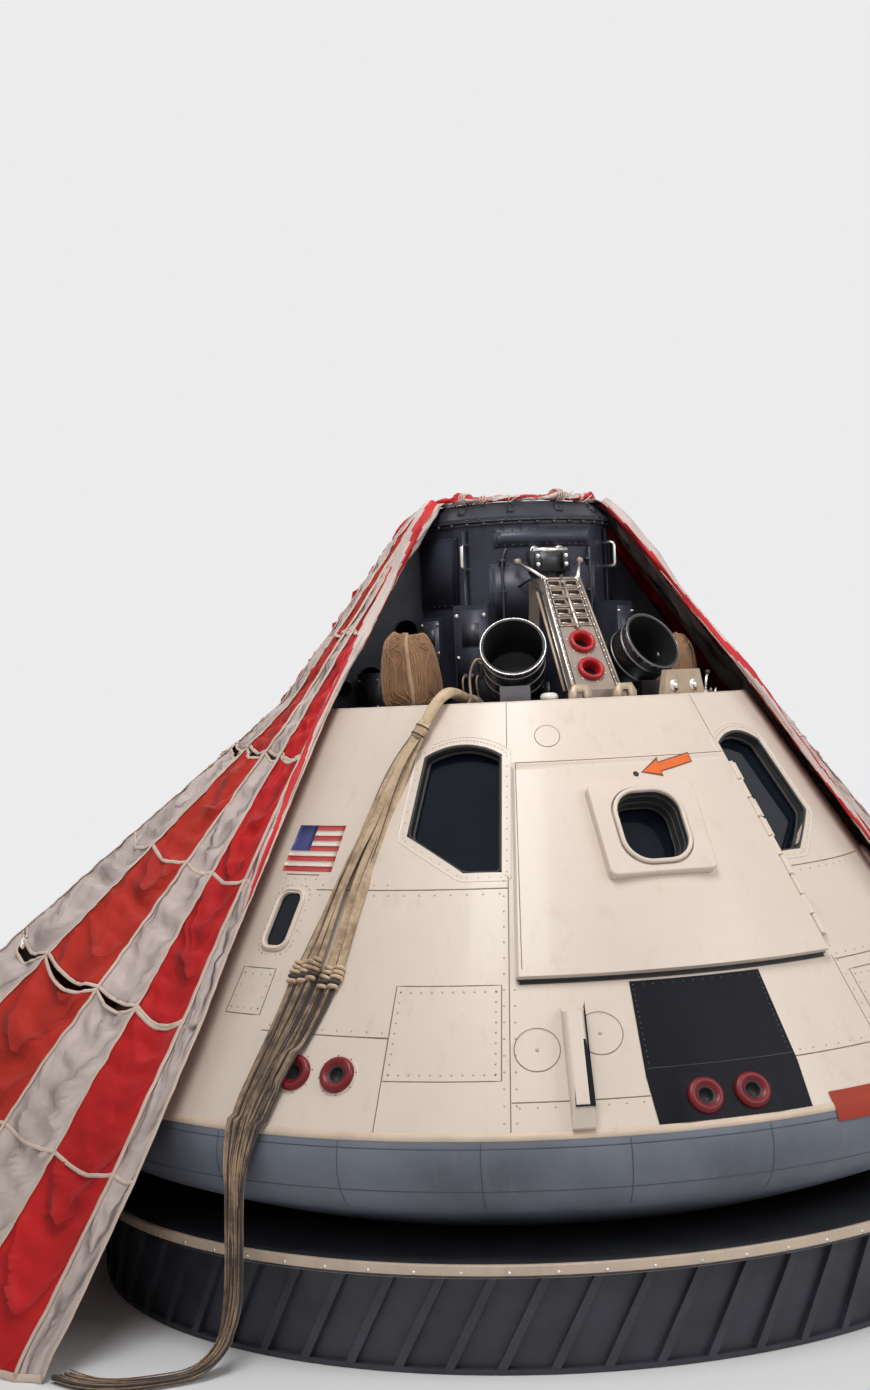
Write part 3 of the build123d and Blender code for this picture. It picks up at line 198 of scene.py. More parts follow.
def times(nt, a, b):
    """The product of two numbers or outputs."""
    return math_node(nt, "MULTIPLY", a, b)


def bump(nt, height, strength, distance, normal=None):
    """Bump from a height, over another bump where normal is given."""
    b = node(nt, "ShaderNodeBump", Strength=strength, Distance=distance)
    link(nt, height, b.inputs["Height"])
    if normal is not None:
        link(nt, normal, b.inputs["Normal"])
    return b.outputs["Normal"]


def scaled(c, k):
    """The colour made k times as bright."""
    return tuple(min(1.0, v * k) for v in c)


def toned(nt, fac, colour, vary, edge=0.30):
    """The colour made darker and lighter by the share vary, as fac goes from low to high."""
    return ramp(nt, fac, [(edge, scaled(colour, 1 - vary)), (1 - edge, scaled(colour, 1 + vary))])


def mask(nt, fac, low, high):
    """Black where fac is under low, white over high, and even between."""
    return ramp(nt, fac, [(low, grey(0)), (high, grey(1))])


def threads(nt, vec, scale, distortion, across):
    """Two sets of threads, one along X and one along the axis across."""
    waves = [node(nt, "ShaderNodeTexWave", Scale=scale, Distortion=distortion, bands_direction=axis)
             for axis in ("X", across)]
    for wave in waves:
        link(nt, vec, wave.inputs["Vector"])
    return times(nt, waves[0].outputs["Fac"], waves[1].outputs["Fac"])


def finish_shader(p, rough=None, metal=0.0, coat=0.0, sheen=0.0, spec=None, ior=None, transmission=0.0):
    """Sets the shader's own numbers; None leaves one as it is."""
    values = {"Roughness": rough, "Metallic": metal, "Coat Weight": coat, "Coat Roughness": 0.1,
              "Sheen Weight": sheen, "Sheen Roughness": 0.4, "Transmission Weight": transmission,
              "Specular IOR Level": spec, "IOR": ior}
    for name, value in values.items():
        if value is not None:
            p.inputs[name].default_value = value


def painted(name, colour, rough=0.4, vary=0.07, scale=3.0, coat=0.0, grain_bump=0.05, metal=0.0, stain=None,
            wave=0.0, rough_vary=0.12, spec=None):
    """Painted or bare sheet: broad tone changes, fine speckle, roughness changes and a slight grain."""
    mat, nt, p = nodes_of(name)
    v = coords(nt)
    col = toned(nt, noise(nt, scale, 5, 0.6, v), colour, vary)
    if stain is not None:
        streak = noise(nt, 5.0, 6, 0.65, coords(nt, (3.0, 3.0, 0.5)))
        col = mix(nt, col, stain, times(nt, mask(nt, streak, 0.56, 0.78), 0.35))
    link(nt, col, p.inputs["Base Color"])
    uneven = math_node(nt, "SUBTRACT", noise(nt, scale * 4, 4, 0.6, v), 0.5)
    uneven = times(nt, uneven, rough_vary)
    link(nt, math_node(nt, "ADD", uneven, rough, True), p.inputs["Roughness"])
    normal = bump(nt, noise(nt, 400.0, 2, 0.5, v), grain_bump, 0.0006)
    if wave:
        normal = bump(nt, noise(nt, 4.5, 2, 0.4, v), wave, 0.02, normal)
    link(nt, normal, p.inputs["Normal"])
    finish_shader(p, metal=metal, coat=coat, spec=spec)
    return mat


def cloth(name, colour, weave=900.0, vary=0.10, rough=0.8, sheen=0.15, dirt=None, dirt_at=(0.50, 0.80),
          dirt_mix=0.55):
    """Woven cloth: crossed threads in object space, uneven dye and soiling."""
    mat, nt, p = nodes_of(name)
    v = coords(nt)
    col = toned(nt, noise(nt, 2.4, 6, 0.62, v), colour, vary, 0.28)
    if dirt is not None:
        soil = mask(nt, noise(nt, 9.0, 7, 0.7, v), *dirt_at)
        col = mix(nt, col, dirt, times(nt, soil, dirt_mix))
    link(nt, col, p.inputs["Base Color"])
    normal = bump(nt, threads(nt, v, weave, 0.6, "Z"), 0.25, 0.0006)
    normal = bump(nt, noise(nt, 60.0, 4, 0.6, v), 0.25, 0.004, normal)
    link(nt, normal, p.inputs["Normal"])
    finish_shader(p, rough=rough, sheen=sheen)
    return mat


def brushed(name, colour, rough, stretch=(4, 4, 60)):
    """Bare metal with fine lines along its length and duller smears."""
    mat, nt, p = nodes_of(name)
    lines = noise(nt, 30.0, 3, 0.6, coords(nt, stretch))
    smear = mask(nt, noise(nt, 7.0, 5, 0.6, coords(nt)), 0.5, 0.75)
    col = mix(nt, toned(nt, lines, colour, 0.12), scaled(colour, 0.6), times(nt, smear, 0.5))
    link(nt, col, p.inputs["Base Color"])
    uneven = times(nt, lines, 0.22)
    link(nt, math_node(nt, "ADD", uneven, rough - 0.1, True), p.inputs["Roughness"])
    link(nt, bump(nt, lines, 0.12, 0.0008), p.inputs["Normal"])
    finish_shader(p, metal=1.0)
    return mat


CREAM = (0.72, 0.605, 0.515)
M = {}
M["hull"] = painted("hull_paint", CREAM, rough=0.41, vary=0.045, scale=1.6, coat=0.14,
                    stain=(0.50, 0.39, 0.29), wave=0.10, rough_vary=0.18, grain_bump=0.03)
# a lighter copy of the hull paint: pale marks, and painted highlight along joint edges, window borders and
# cover rims
M["hull_light"] = painted("pale_hull_paint_and_painted_highlight", (0.80, 0.70, 0.59), rough=0.34, vary=0.04, coat=0.4)
M["seam"] = painted("seam_shadow", (0.20, 0.145, 0.10), rough=0.7, vary=0.2)
M["rivet"] = painted("rivet_paint", (0.52, 0.42, 0.33), rough=0.42, vary=0.12, scale=20)
M["shield"] = painted("shield_blue_grey", (0.135, 0.15, 0.185), rough=0.5, vary=0.28, scale=2.2,
                      stain=(0.24, 0.22, 0.21), wave=0.15, grain_bump=0.2)
M["rim"] = painted("rim_cream", (0.66, 0.52, 0.40), rough=0.45, vary=0.10, scale=6, stain=(0.30, 0.20, 0.14))
M["black"] = painted("black_gloss", (0.0035, 0.004, 0.0075), rough=0.44, vary=0.3, scale=4, wave=0.08,
                     spec=0.12)
M["maroon"] = painted("nozzle_maroon", (0.17, 0.007, 0.010), rough=0.34, vary=0.22, scale=30, coat=0.06,
                      spec=0.3)
M["red_rim"] = painted("nozzle_red", (0.42, 0.014, 0.020), rough=0.32, vary=0.16, scale=30, coat=0.12,
                       spec=0.35)
# near-black for holes and slot floors: painted shade of their depth
M["dark_hole"] = painted("painted_hole_shade", (0.012, 0.010, 0.010), rough=0.6, vary=0.3, scale=30)
M["orange"] = painted("orange_mark", (0.76, 0.155, 0.035), rough=0.5, vary=0.07, scale=12, spec=0.25)
M["orange_edge"] = painted("orange_mark_edge", (0.16, 0.05, 0.02), rough=0.5, vary=0.1, scale=12)
M["red_patch"] = painted("red_patch", (0.36, 0.040, 0.020), rough=0.5, vary=0.14, scale=8, spec=0.25)
M["tunnel"] = painted("tunnel_blue_grey", (0.026, 0.028, 0.042), rough=0.42, vary=0.25, scale=5,
                      stain=(0.085, 0.08, 0.085), wave=0.1, spec=0.35)
M["tunnel_panel"] = painted("tunnel_panel", (0.036, 0.038, 0.056), rough=0.4, vary=0.2, scale=6, spec=0.35)
M["dark_metal"] = painted("dark_fittings", (0.045, 0.045, 0.055), rough=0.42, vary=0.3, scale=14, metal=0.4)
M["deck"] = painted("deck_dark", (0.06, 0.06, 0.07), rough=0.5, vary=0.3, scale=8, stain=(0.16, 0.13, 0.10))
M["ramp"] = painted("ramp_metal", (0.34, 0.265, 0.22), rough=0.38, vary=0.12, scale=9, metal=0.25,
                    stain=(0.15, 0.11, 0.085), wave=0.05)
M["steel"] = brushed("bright_steel", (0.72, 0.69, 0.64), 0.26)
M["ring_alloy"] = painted("ring_dark_alloy", (0.026, 0.028, 0.036), rough=0.42, vary=0.3, scale=9, spec=0.35)
M["mortar"] = brushed("mortar_metal", (0.20, 0.19, 0.20), 0.30, (4, 4, 40))
M["mortar_in"] = painted("mortar_inside", (0.016, 0.014, 0.014), rough=0.55, vary=0.3, scale=10)
M["tan_metal"] = painted("tan_bracket", (0.50, 0.38, 0.27), rough=0.45, vary=0.12, scale=18, metal=0.2)
M["gusset"] = painted("gusset_alloy", (0.050, 0.052, 0.064), rough=0.42, vary=0.3, scale=9,
                      metal=0.3, spec=0.35,
                      stain=(0.12, 0.095, 0.075))
M["cabin"] = painted("cabin_grey", (0.36, 0.38, 0.38), rough=0.6, vary=0.1, scale=6)
M["panel"] = painted("panel_grey", (0.24, 0.26, 0.27), rough=0.5, vary=0.1, scale=8)
M["ring_skirt"] = painted("ring_skirt_dark", (0.035, 0.036, 0.048), rough=0.5, vary=0.3, scale=6)
M["rubber"] = painted("window_seal", (0.03, 0.028, 0.028), rough=0.65, vary=0.3, scale=40)
M["couch"] = cloth("couch_cloth", (0.42, 0.40, 0.33), dirt=(0.22, 0.19, 0.14))
M["tape"] = cloth("seam_tape", (0.66, 0.52, 0.43), weave=1400, vary=0.12, dirt=(0.34, 0.23, 0.17))
M["webbing"] = cloth("riser_webbing", (0.58, 0.425, 0.275), weave=1100, vary=0.22, rough=0.72,
                     dirt=(0.15, 0.070, 0.035), dirt_at=(0.45, 0.66), dirt_mix=0.75)
M["line"] = cloth("line_cord", (0.44, 0.305, 0.195), weave=1600, vary=0.3, dirt=(0.09, 0.055, 0.04),
                  dirt_at=(0.42, 0.62), dirt_mix=0.85)
# dark cord: stained lines, and painted shade between the bundles of lines and between straps
M["line_dark"] = cloth("line_cord_stain_and_painted_shade", (0.060, 0.042, 0.040), weave=1600, vary=0.3,
                       dirt=(0.02, 0.016, 0.02))
M["pack"] = cloth("pack_cloth", (0.27, 0.135, 0.065), weave=500, vary=0.35, dirt=(0.08, 0.04, 0.02),
                  dirt_at=(0.42, 0.66), dirt_mix=0.8)
M["tan_strap"] = cloth("pack_strap", (0.40, 0.26, 0.15), weave=1100, vary=0.3, dirt=(0.12, 0.06, 0.03),
                       dirt_mix=0.7)
M["net"] = cloth("pack_net", (0.34, 0.185, 0.09), weave=1200, vary=0.3, dirt=(0.12, 0.06, 0.03))


def glass(name, tint):
    """Tinted glass with faint smears."""
    mat, nt, p = nodes_of(name)
    smear = noise(nt, 8.0, 5, 0.6, coords(nt))
    link(nt, toned(nt, smear, tint, 0.15), p.inputs["Base Color"])
    link(nt, math_node(nt, "ADD", times(nt, smear, 0.05), 0.01), p.inputs["Roughness"])
    finish_shader(p, ior=1.25, transmission=0.85, spec=0.15)
    return mat


M["glass"] = glass("window_glass", (0.045, 0.060, 0.095))

NODE_MATERIALS = {
    "hull": ["hull_front", "hull_rear", "side_window_frame_left", "side_window_frame_right", "hatch_door",
             "hatch_window_frame", "hatch_hinge", "umbilical_fairing", "nozzle_pair_left",
             "nozzle_pair_right"],
    "rim": ["display_ring_band"],
    "ring_skirt": ["display_ring_skirt"],
    "shield": ["aft_heat_shield"],
    "glass": ["window_pane_left", "window_pane_right", "side_window_pane_left", "side_window_pane_right",
              "hatch_window_pane"],
    "panel": ["window_bezel_left", "window_bezel_right", "instrument_panel"],
    "steel": ["hatch_latch", "couch_frame"],
    "black": ["nozzle_pair_front"],
    "cabin": ["cabin_floor"],
    "deck": ["forward_deck"],
    "tunnel": ["tunnel"],
    "ring_alloy": ["docking_ring", "forward_hatch"],
    "gusset": ["gusset_left", "gusset_right", "gusset_rear"],
    "ramp": ["thruster_ramp"],
    "red_rim": ["ramp_nozzle_1", "ramp_nozzle_2"],
    "mortar": ["mortar_left", "mortar_right"],
    "tan_metal": ["sling_bracket"],
}


for key, names in NODE_MATERIALS.items():
    for name in names:
        NODES[name].data.materials.clear()
        NODES[name].data.materials.append(M[key])


# Mesh helpers
def new_object(name, verts, faces, mat, body=CAPSULE, smooth=True, uv=None):
    """A mesh piece in the scene with its materials and UVs, put on its body."""
    mesh = bpy.data.meshes.new(name)
    mesh.from_pydata([tuple(v) for v in verts], [], faces)
    mesh.update()
    obj = bpy.data.objects.new(name, mesh)
    bpy.context.scene.collection.objects.link(obj)
    for m in mat if isinstance(mat, (list, tuple)) else [mat]:
        mesh.materials.append(m)
    if smooth:
        mesh.shade_smooth()
    if uv is not None:
        layer = mesh.uv_layers.new(name="UVMap")
        idx = np.empty(len(mesh.loops), int)
        mesh.loops.foreach_get("vertex_index", idx)
        layer.data.foreach_set("uv", np.asarray(uv, np.float32)[idx].ravel())
    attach(obj, body)
    return obj


class Batch:
    """Collects many small shapes into one mesh."""

    def __init__(self):
        self.v, self.f, self.m = [], [], []

    def add(self, verts, faces, mat=0):
        k = len(self.v)
        self.v += [tuple(p) for p in verts]
        self.f += [tuple(i + k for i in face) for face in faces]
        self.m += [mat] * len(faces)

    def make(self, name, mats, body=CAPSULE, smooth=True, slot=None, bevel=0.0):
        obj = new_object(name, self.v, self.f, mats, body, smooth)
        obj.data.polygons.foreach_set("material_index", self.m)
        if bevel:
            mod = obj.modifiers.new("bevel", "BEVEL")
            mod.width, mod.segments, mod.limit_method = bevel, 2, "ANGLE"
            mod.angle_limit = math.radians(35)
        return obj


def grid_faces(nu, nv, close_u=False):
    """Quads of a grid with nu points across and nv along, stored row by row."""
    faces = []
    for j in range(nv - 1):
        for i in range(nu if close_u else nu - 1):
            a, b = j * nu + i, j * nu + (i + 1) % nu
            faces.append((a, b, b + nu, a + nu))
    return faces


def end_caps(sides, rows):
    """The faces that close the two ends of a closed grid stored row by row."""
    return [tuple(range(sides - 1, -1, -1)), tuple((rows - 1) * sides + k for k in range(sides))]


def on_ellipse(centre, x_dir, y_dir, rx, ry, a):
    """The point at angle a round centre."""
    return centre + x_dir * (rx * math.cos(a)) + y_dir * (ry * math.sin(a))


def tangent(pts, i):
    """The direction of a path at its point i."""
    return (pts[min(i + 1, len(pts) - 1)] - pts[max(i - 1, 0)]).normalized()


def reference(direction):
    """An upright vector, or a level one where the direction itself is upright."""
    return UP if abs(direction.z) < 0.9 else Vector((1, 0, 0))


def frames_along(points):
    """Tangent, side and up vectors along a path, turned as little as possible."""
    pts = [Vector(p) for p in points]
    tangents = [tangent(pts, i) for i in range(len(pts))]
    side = tangents[0].cross(reference(tangents[0])).normalized()
    out = []
    for t in tangents:
        side = (side - t * side.dot(t)).normalized()
        out.append((t, side, t.cross(side)))
    return out


def tube(batch, points, radius, sides=8, mat=0, caps=True, flat=1.0, frames=None):
    """A tube along points. radius may be a list; flat squeezes it along its third axis."""
    fr = frames or frames_along(points)
    n = len(points)
    radii = radius if isinstance(radius, (list, tuple)) else [radius] * n
    verts = []
    for p, (t, s, u), r in zip(points, fr, radii):
        verts += [on_ellipse(Vector(p), s, u, r, r * flat, 2 * math.pi * k / sides) for k in range(sides)]
    batch.add(verts, grid_faces(sides, n, True) + (end_caps(sides, n) if caps else []), mat)


def box_at(batch, origin, x, y, z, size, mat=0):
    """A box of size (a, b, c) centred on origin along the unit vectors x, y, z."""
    a, b, c = (s / 2 for s in size)
    verts = [origin + x * (i * a) + y * (j * b) + z * (k * c)
             for k in (-1, 1) for j in (-1, 1) for i in (-1, 1)]
    faces = [(0, 2, 3, 1), (4, 5, 7, 6), (0, 1, 5, 4), (2, 6, 7, 3), (0, 4, 6, 2), (1, 3, 7, 5)]
    batch.add(verts, faces, mat)


def lathe(batch, origin, axis, profile, sides=32, mat=0):
    """Turns (radius, height) pairs about an axis through origin; a radius of 0 closes the end."""
    axis = Vector(axis).normalized()
    s = axis.cross(reference(axis)).normalized()
    t = axis.cross(s)
    rings, verts, faces = [], [], []
    for r, h in profile:
        if r < 1e-6:
            rings.append([len(verts)])
            verts.append(Vector(origin) + axis * h)
            continue
        rings.append(list(range(len(verts), len(verts) + sides)))
        for k in range(sides):
            verts.append(on_ellipse(Vector(origin), s, t, r, r, 2 * math.pi * k / sides) + axis * h)
    for a, b in zip(rings, rings[1:]):
        for k in range(sides):
            after = (k + 1) % sides
            if len(a) == 1:
                faces.append((a[0], b[after], b[k]))
            elif len(b) == 1:
                faces.append((a[k], a[after], b[0]))
            else:
                faces.append((a[k], a[after], b[after], b[k]))
    batch.add(verts, faces, mat)


def turned(batch, z, profile, sides, mat):
    """A form turned about the capsule's own axis, its heights counted from z."""
    lathe(batch, Vector((0, 0, z)), UP, profile, sides, mat)


def closed_tube(batch, points, radius, sides, mat=0):
    """A tube whose end meets its start."""
    tube(batch, points + [points[0]], radius, sides, mat, False)


def dome(batch, centre, out, side, r, h, mat=0, sides=8):
    """A rivet or bolt head standing on a surface."""
    up = out.cross(side)
    verts = []
    for rr, hh in ((1.0, 0.0), (0.93, 0.45), (0.55, 0.9)):
        for k in range(sides):
            verts.append(on_ellipse(centre, side, up, r * rr, r * rr, 2 * math.pi * k / sides)
                         + out * (h * hh))
    verts.append(centre + out * h)
    faces = grid_faces(sides, 3, True)
    faces += [(2 * sides + k, 2 * sides + (k + 1) % sides, 3 * sides) for k in range(sides)]
    batch.add(verts, faces, mat)


def cone_line(batch, points, width, height, mat=0, lift=0.0, step=1.2):
    """A thin raised line on the cone through (azimuth, height) points."""
    path = []
    for (a0, h0), (a1, h1) in zip(points, points[1:]):
        n = max(1, int(max(abs(a1 - a0) / step, abs(h1 - h0) / 0.25)))
        path += [(a0 + (a1 - a0) * i / n, h0 + (h1 - h0) * i / n) for i in range(n)]
    path.append(points[-1])
    pts = [on_cone(a, h) for a, h in path]
    verts = []
    for i, (a, h) in enumerate(path):
        out = cone_axes(a)[2]
        s = tangent(pts, i).cross(out).normalized()
        for x, z in ((-0.5, -0.4), (-0.36, 1.0), (0.36, 1.0), (0.5, -0.4)):
            verts.append(pts[i] + s * (x * width) + out * (lift + z * height))
    batch.add(verts, grid_faces(4, len(path)), mat)


def cone_patch(batch, corners, lift, mat=0, step=1.0, rows=2):
    """A plate on the cone between (azimuth, height) corners: low left, low right, high right, high left."""
    (a0, h0), (a1, h1), (a2, h2), (a3, h3) = corners
    n = max(2, int(abs(a1 - a0) / step) + 2)
    verts = []
    for j in range(rows + 1):
        t = j / rows
        for i in range(n):
            s = i / (n - 1)
            low = (a0 + (a1 - a0) * s, h0 + (h1 - h0) * s)
            high = (a3 + (a2 - a3) * s, h3 + (h2 - h3) * s)
            verts.append(on_cone(low[0] + (high[0] - low[0]) * t, low[1] + (high[1] - low[1]) * t, lift))
    edge = list(range(n)) + [j * n + n - 1 for j in range(1, rows + 1)]
    edge += [rows * n + i for i in range(n - 2, -1, -1)] + [j * n for j in range(rows - 1, 0, -1)]
    k = len(verts)
    verts += [verts[e] - cone_axes_at(verts[e])[2] * (lift + 0.0005) for e in edge]
    m = len(edge)
    sides = [(edge[(i + 1) % m], k + (i + 1) % m, k + i, edge[i]) for i in range(m - 1, -1, -1)]
    batch.add(verts, grid_faces(n, rows + 1) + sides, mat)


# Camera: lens in pixels of the photograph's frame, place round the capsule in degrees and metres
FOCAL_PX, FRAME_HEIGHT_PX, OPTICAL_ROW_PX = 2000.0, 1390.0, 652.0
SENSOR_WIDTH = 36.0
CAMERA_AZ, CAMERA_DISTANCE, CAMERA_HEIGHT = -20.217, 8.6877, 1.5415 + 0.7844


def make_camera():
    """The photograph's camera, as fitted to the rim, the hatch, the windows and the docking ring."""
    pitch, yaw, roll = (math.radians(v) for v in (1.163, 2.321, -2.582))
    fwd = Vector((-math.sin(yaw) * math.cos(pitch), math.cos(yaw) * math.cos(pitch), math.sin(pitch)))
    right = Vector((math.cos(yaw), math.sin(yaw), 0))
    up = right.cross(fwd)
    rolled_right = right * math.cos(roll) + up * math.sin(roll)
    rolled_up = up * math.cos(roll) - right * math.sin(roll)
    data = bpy.data.cameras.new("camera")
    data.sensor_fit, data.sensor_width = "AUTO", SENSOR_WIDTH
    data.lens = FOCAL_PX * SENSOR_WIDTH / FRAME_HEIGHT_PX
    data.shift_y = (OPTICAL_ROW_PX - FRAME_HEIGHT_PX / 2) / FRAME_HEIGHT_PX
    data.clip_start, data.clip_end = 0.1, 200.0
    cam = bpy.data.objects.new("camera", data)
    bpy.context.scene.collection.objects.link(cam)
    turn = Matrix.Rotation(math.radians(CAMERA_AZ), 3, "Z")
    rot = Matrix([turn @ v for v in (rolled_right, rolled_up, -fwd)]).transposed()
    place = turn @ Vector((0, -CAMERA_DISTANCE, 0)) + Vector((0, 0, CAMERA_HEIGHT))
    cam.matrix_world = Matrix.Translation(place) @ rot.to_4x4()
    bpy.context.scene.camera = cam


make_camera()


# Riser: points (azimuth, radius, height) in the bay and below the cone, and on_cone's arguments between
RISER_BAY = [(-34.6, 0.706, 2.274), (-35.4, 0.830, 2.305), (-36.6, 0.955, 2.331), (-38.2, 1.046, 2.281)]
RISER_CONE = [(-40.6, 1.330, 0.035), (-43.6, 1.225, 0.028), (-45.3, 1.090, 0.028), (-46.5, 0.930, 0.028),
              (-48.0, 0.741, 0.028), (-48.7, 0.537, 0.028), (-49.8, 0.338, 0.028), (-51.3, 0.165, 0.031),
              (-52.0, 0.030, 0.040)]
RISER_FLOOR = [(-52.3, 1.999, 0.722), (-52.4, 2.013, 0.560), (-52.5, 2.017, 0.390), (-52.7, 2.025, 0.220),
               (-53.2, 2.066, 0.090), (-54.2, 2.165, 0.024), (-56.2, 2.290, 0.0223), (-58.8, 2.395, 0.0223),
               (-61.752, 2.442705, 0.0223), (-64.497, 2.440, 0.0223)]
# places along it: the keeper sleeve, the row of knots, and where it leaves the cone
KEEPER_AT, KNOTS_AT, RIM_AT = 0.47, 1.50, 2.02
# the five straps: how far each lies to the side at the knots
STRAP_SIDES = (-0.094, -0.049, 0.0, 0.047, 0.092)
MIDDLE_STRAP = 2
LINE_COUNT = 56
WEBBING, LINE, STAIN_AND_SHADE_LINE = 0, 1, 2


def spline_points(name, points):
    """Points along a smooth NURBS curve through a route."""
    curve = bpy.data.curves.new(name, "CURVE")
    curve.dimensions = "3D"
    spline = curve.splines.new("NURBS")
    spline.points.add(len(points) - 1)
    for sp, p in zip(spline.points, points):
        sp.co = (*p, 1.0)
    spline.order_u = 3
    spline.use_endpoint_u = True
    spline.resolution_u = 16
    obj = bpy.data.objects.new(name, curve)
    bpy.context.scene.collection.objects.link(obj)
    bpy.context.view_layer.update()
    mesh = bpy.data.meshes.new_from_object(obj)
    out = [v.co.copy() for v in mesh.vertices]
    bpy.data.meshes.remove(mesh)
    bpy.data.objects.remove(obj)
    return out


def resample(points, step):
    """Points an even step apart along a polyline, and its length."""
    pts = [Vector(p) for p in points]
    cum = [0.0]
    for a, b in zip(pts, pts[1:]):
        cum.append(cum[-1] + (b - a).length)
    n = max(2, int(round(cum[-1] / step)) + 1)
    out, k = [], 0
    for i in range(n):
        s = cum[-1] * i / (n - 1)
        while k < len(pts) - 2 and cum[k + 1] < s:
            k += 1
        f = (s - cum[k]) / max(cum[k + 1] - cum[k], 1e-9)
        out.append(pts[k].lerp(pts[k + 1], min(max(f, 0), 1)))
    return out, cum[-1]


def hull_distance(p):
    """Distance of a point off the cone, its corner or the side below it, and the outward direction."""
    r, z = math.hypot(p.x, p.y), p.z
    az = math.atan2(p.x, -p.y)
    radial = Vector((math.sin(az), -math.cos(az), 0))
    centre_r = MAX_R - CORNER_R
    if z > BASE_Z:
        d = ((r - BASE_R) + (z - BASE_Z) * TAN) * COS
        return d, radial * COS + Vector((0, 0, SIN))
    if z > CORNER_Z:
        v = Vector((r - centre_r, z - CORNER_Z))
        return v.length - CORNER_R, (radial * v.x + Vector((0, 0, v.y))) / v.length
    return r - MAX_R, radial


def laid(p, lift):
    """The point moved square to the hull until it is lift off it."""
    for _ in range(3):
        d, out = hull_distance(p)
        p = p + out * (lift - d)
    return p


def smooth_step(x):
    """Zero below 0, one above 1, and eased between."""
    x = min(1.0, max(0.0, x))
    return x * x * (3 - 2 * x)


class RiserLine:
    """The riser's middle line: its points, how far along it each lies, and tangent, side and out vectors."""

    def __init__(self, route):
        self.pts, self.length = resample(spline_points("riser_route", route), 0.012)
        self.n = len(self.pts)
        self.arc = [self.length * i / (self.n - 1) for i in range(self.n)]
        self.frames = [self.frame(i) for i in range(self.n)]
        self.rims = [on_cone(*NOZZLE_PAIRS[0]) + cone_axes(NOZZLE_PAIRS[0][0])[0] * x
                     for x in (-NOZZLE_OFF, NOZZLE_OFF)]

    def frame(self, i):
        """Vectors at point i. On the floor and over the bay's edge the line faces up."""
        p, t = self.pts[i], tangent(self.pts, i)
        out = hull_distance(p)[1]
        if p.z < 0.40:
            out = out.lerp(UP, smooth_step((0.40 - p.z) / 0.34))
        if p.z > TOP_Z - 0.02:
            out = out.lerp(UP, smooth_step((p.z - TOP_Z + 0.02) / 0.05))
        out = (out - t * out.dot(t)).normalized()
        return t, t.cross(out), out

    def beside(self, i, x, z):
        """The point x across and z off the line, kept off the hull and the nozzle rims that it lies on."""
        (t, s, u), a = self.frames[i], self.arc[i]
        q = self.pts[i] + s * x + u * z
        if 0.40 < a < RIM_AT + 0.05:
            lift = max(0.006, hull_distance(self.pts[i])[0] + z - 0.020 * smooth_step(abs(x) / 0.05))
            near = min((q - c).length for c in self.rims)
            lift = max(lift, 0.031 * smooth_step((0.110 - near) / 0.035))
            q = laid(q, lift)
        return q

    def nearest(self, at):
        """The point whose place along the line is nearest to at."""
        return min(range(self.n), key=lambda i: abs(self.arc[i] - at))


def add_rolled_strap(line, batch):
    """The rolled strap that comes over the edge of the bay, with lengthwise creases."""
    rows, sides, verts = [i for i in range(line.n) if line.arc[i] < KEEPER_AT + 0.02], 28, []
    for i in rows:
        t, s, u = line.frames[i]
        a = line.arc[i]
        k = smooth_step((a - 0.25) / 0.2)
        for m in range(sides):
            b = 2 * math.pi * m / sides
            r = 0.0262 - 0.005 * k
            r *= 1 + 0.05 * math.sin(5 * b + 9 * a) + 0.03 * math.sin(3 * b - 14 * a)
            verts.append(on_ellipse(line.pts[i], s, u, r, r * (0.80 - 0.12 * k), b))
    batch.add(verts, grid_faces(sides, len(rows), True) + end_caps(sides, len(rows))[:1])


def add_flat_strap(line, k, batch):
    """Strap k, which leaves the keeper and fans out to its knot, with a bound edge on each side; the edges
    are dark by turns, so every other gap between straps gets painted shade.
    """
    rng = random.Random(20 + k)
    f1, f2, ph = rng.uniform(2.2, 3.6), rng.uniform(6, 9), rng.uniform(0, 6.28)
    path, frames, radii = [], [], []
    for i, a in enumerate(line.arc):
        if not KEEPER_AT - 0.04 < a < KNOTS_AT + 0.012:
            continue
        w = (a - KEEPER_AT) / (KNOTS_AT - KEEPER_AT)
        fan = min(1.0, max(0.0, w))
        x = STRAP_SIDES[k] * (0.12 + 0.84 * fan) + 0.006 * math.sin(f2 * a + ph) * (1 - fan)
        z = 0.004 * math.sin(f1 * a * 2 + ph) + 0.0045 * (k % 3) * (1 - fan)
        twist = math.sin(f1 * a + ph) * 1.1 * math.sin(math.pi * fan)
        t, s, u = line.frames[i]
        side = s * math.cos(twist) + u * math.sin(twist)
        path.append(line.beside(i, x, z))
        frames.append((t, side, t.cross(side)))
        radii.append((0.0150 if k == MIDDLE_STRAP else 0.0205) - 0.005 * w + 0.0015 * math.sin(13 * a + k))
    sides, verts = 14, []
    for p, (t, s, u), r in zip(path, frames, radii):
        for m in range(sides):
            b = 2 * math.pi * m / sides
            c = math.cos(b)
            verts.append(p + s * (r * c) + u * (0.0026 * math.sin(b) + 0.0035 * math.cos(2.2 * c + k)))
    batch.add(verts, grid_faces(sides, len(path), True) + end_caps(sides, len(path))[:1])
    for edge in (-0.97, 0.97):
        bind = [p + s * (r * edge) + u * 0.0022 for p, (t, s, u), r in zip(path, frames, radii)]
        tube(batch, bind, 0.0019, 6, STAIN_AND_SHADE_LINE if (k + (edge > 0)) % 2 else WEBBING)


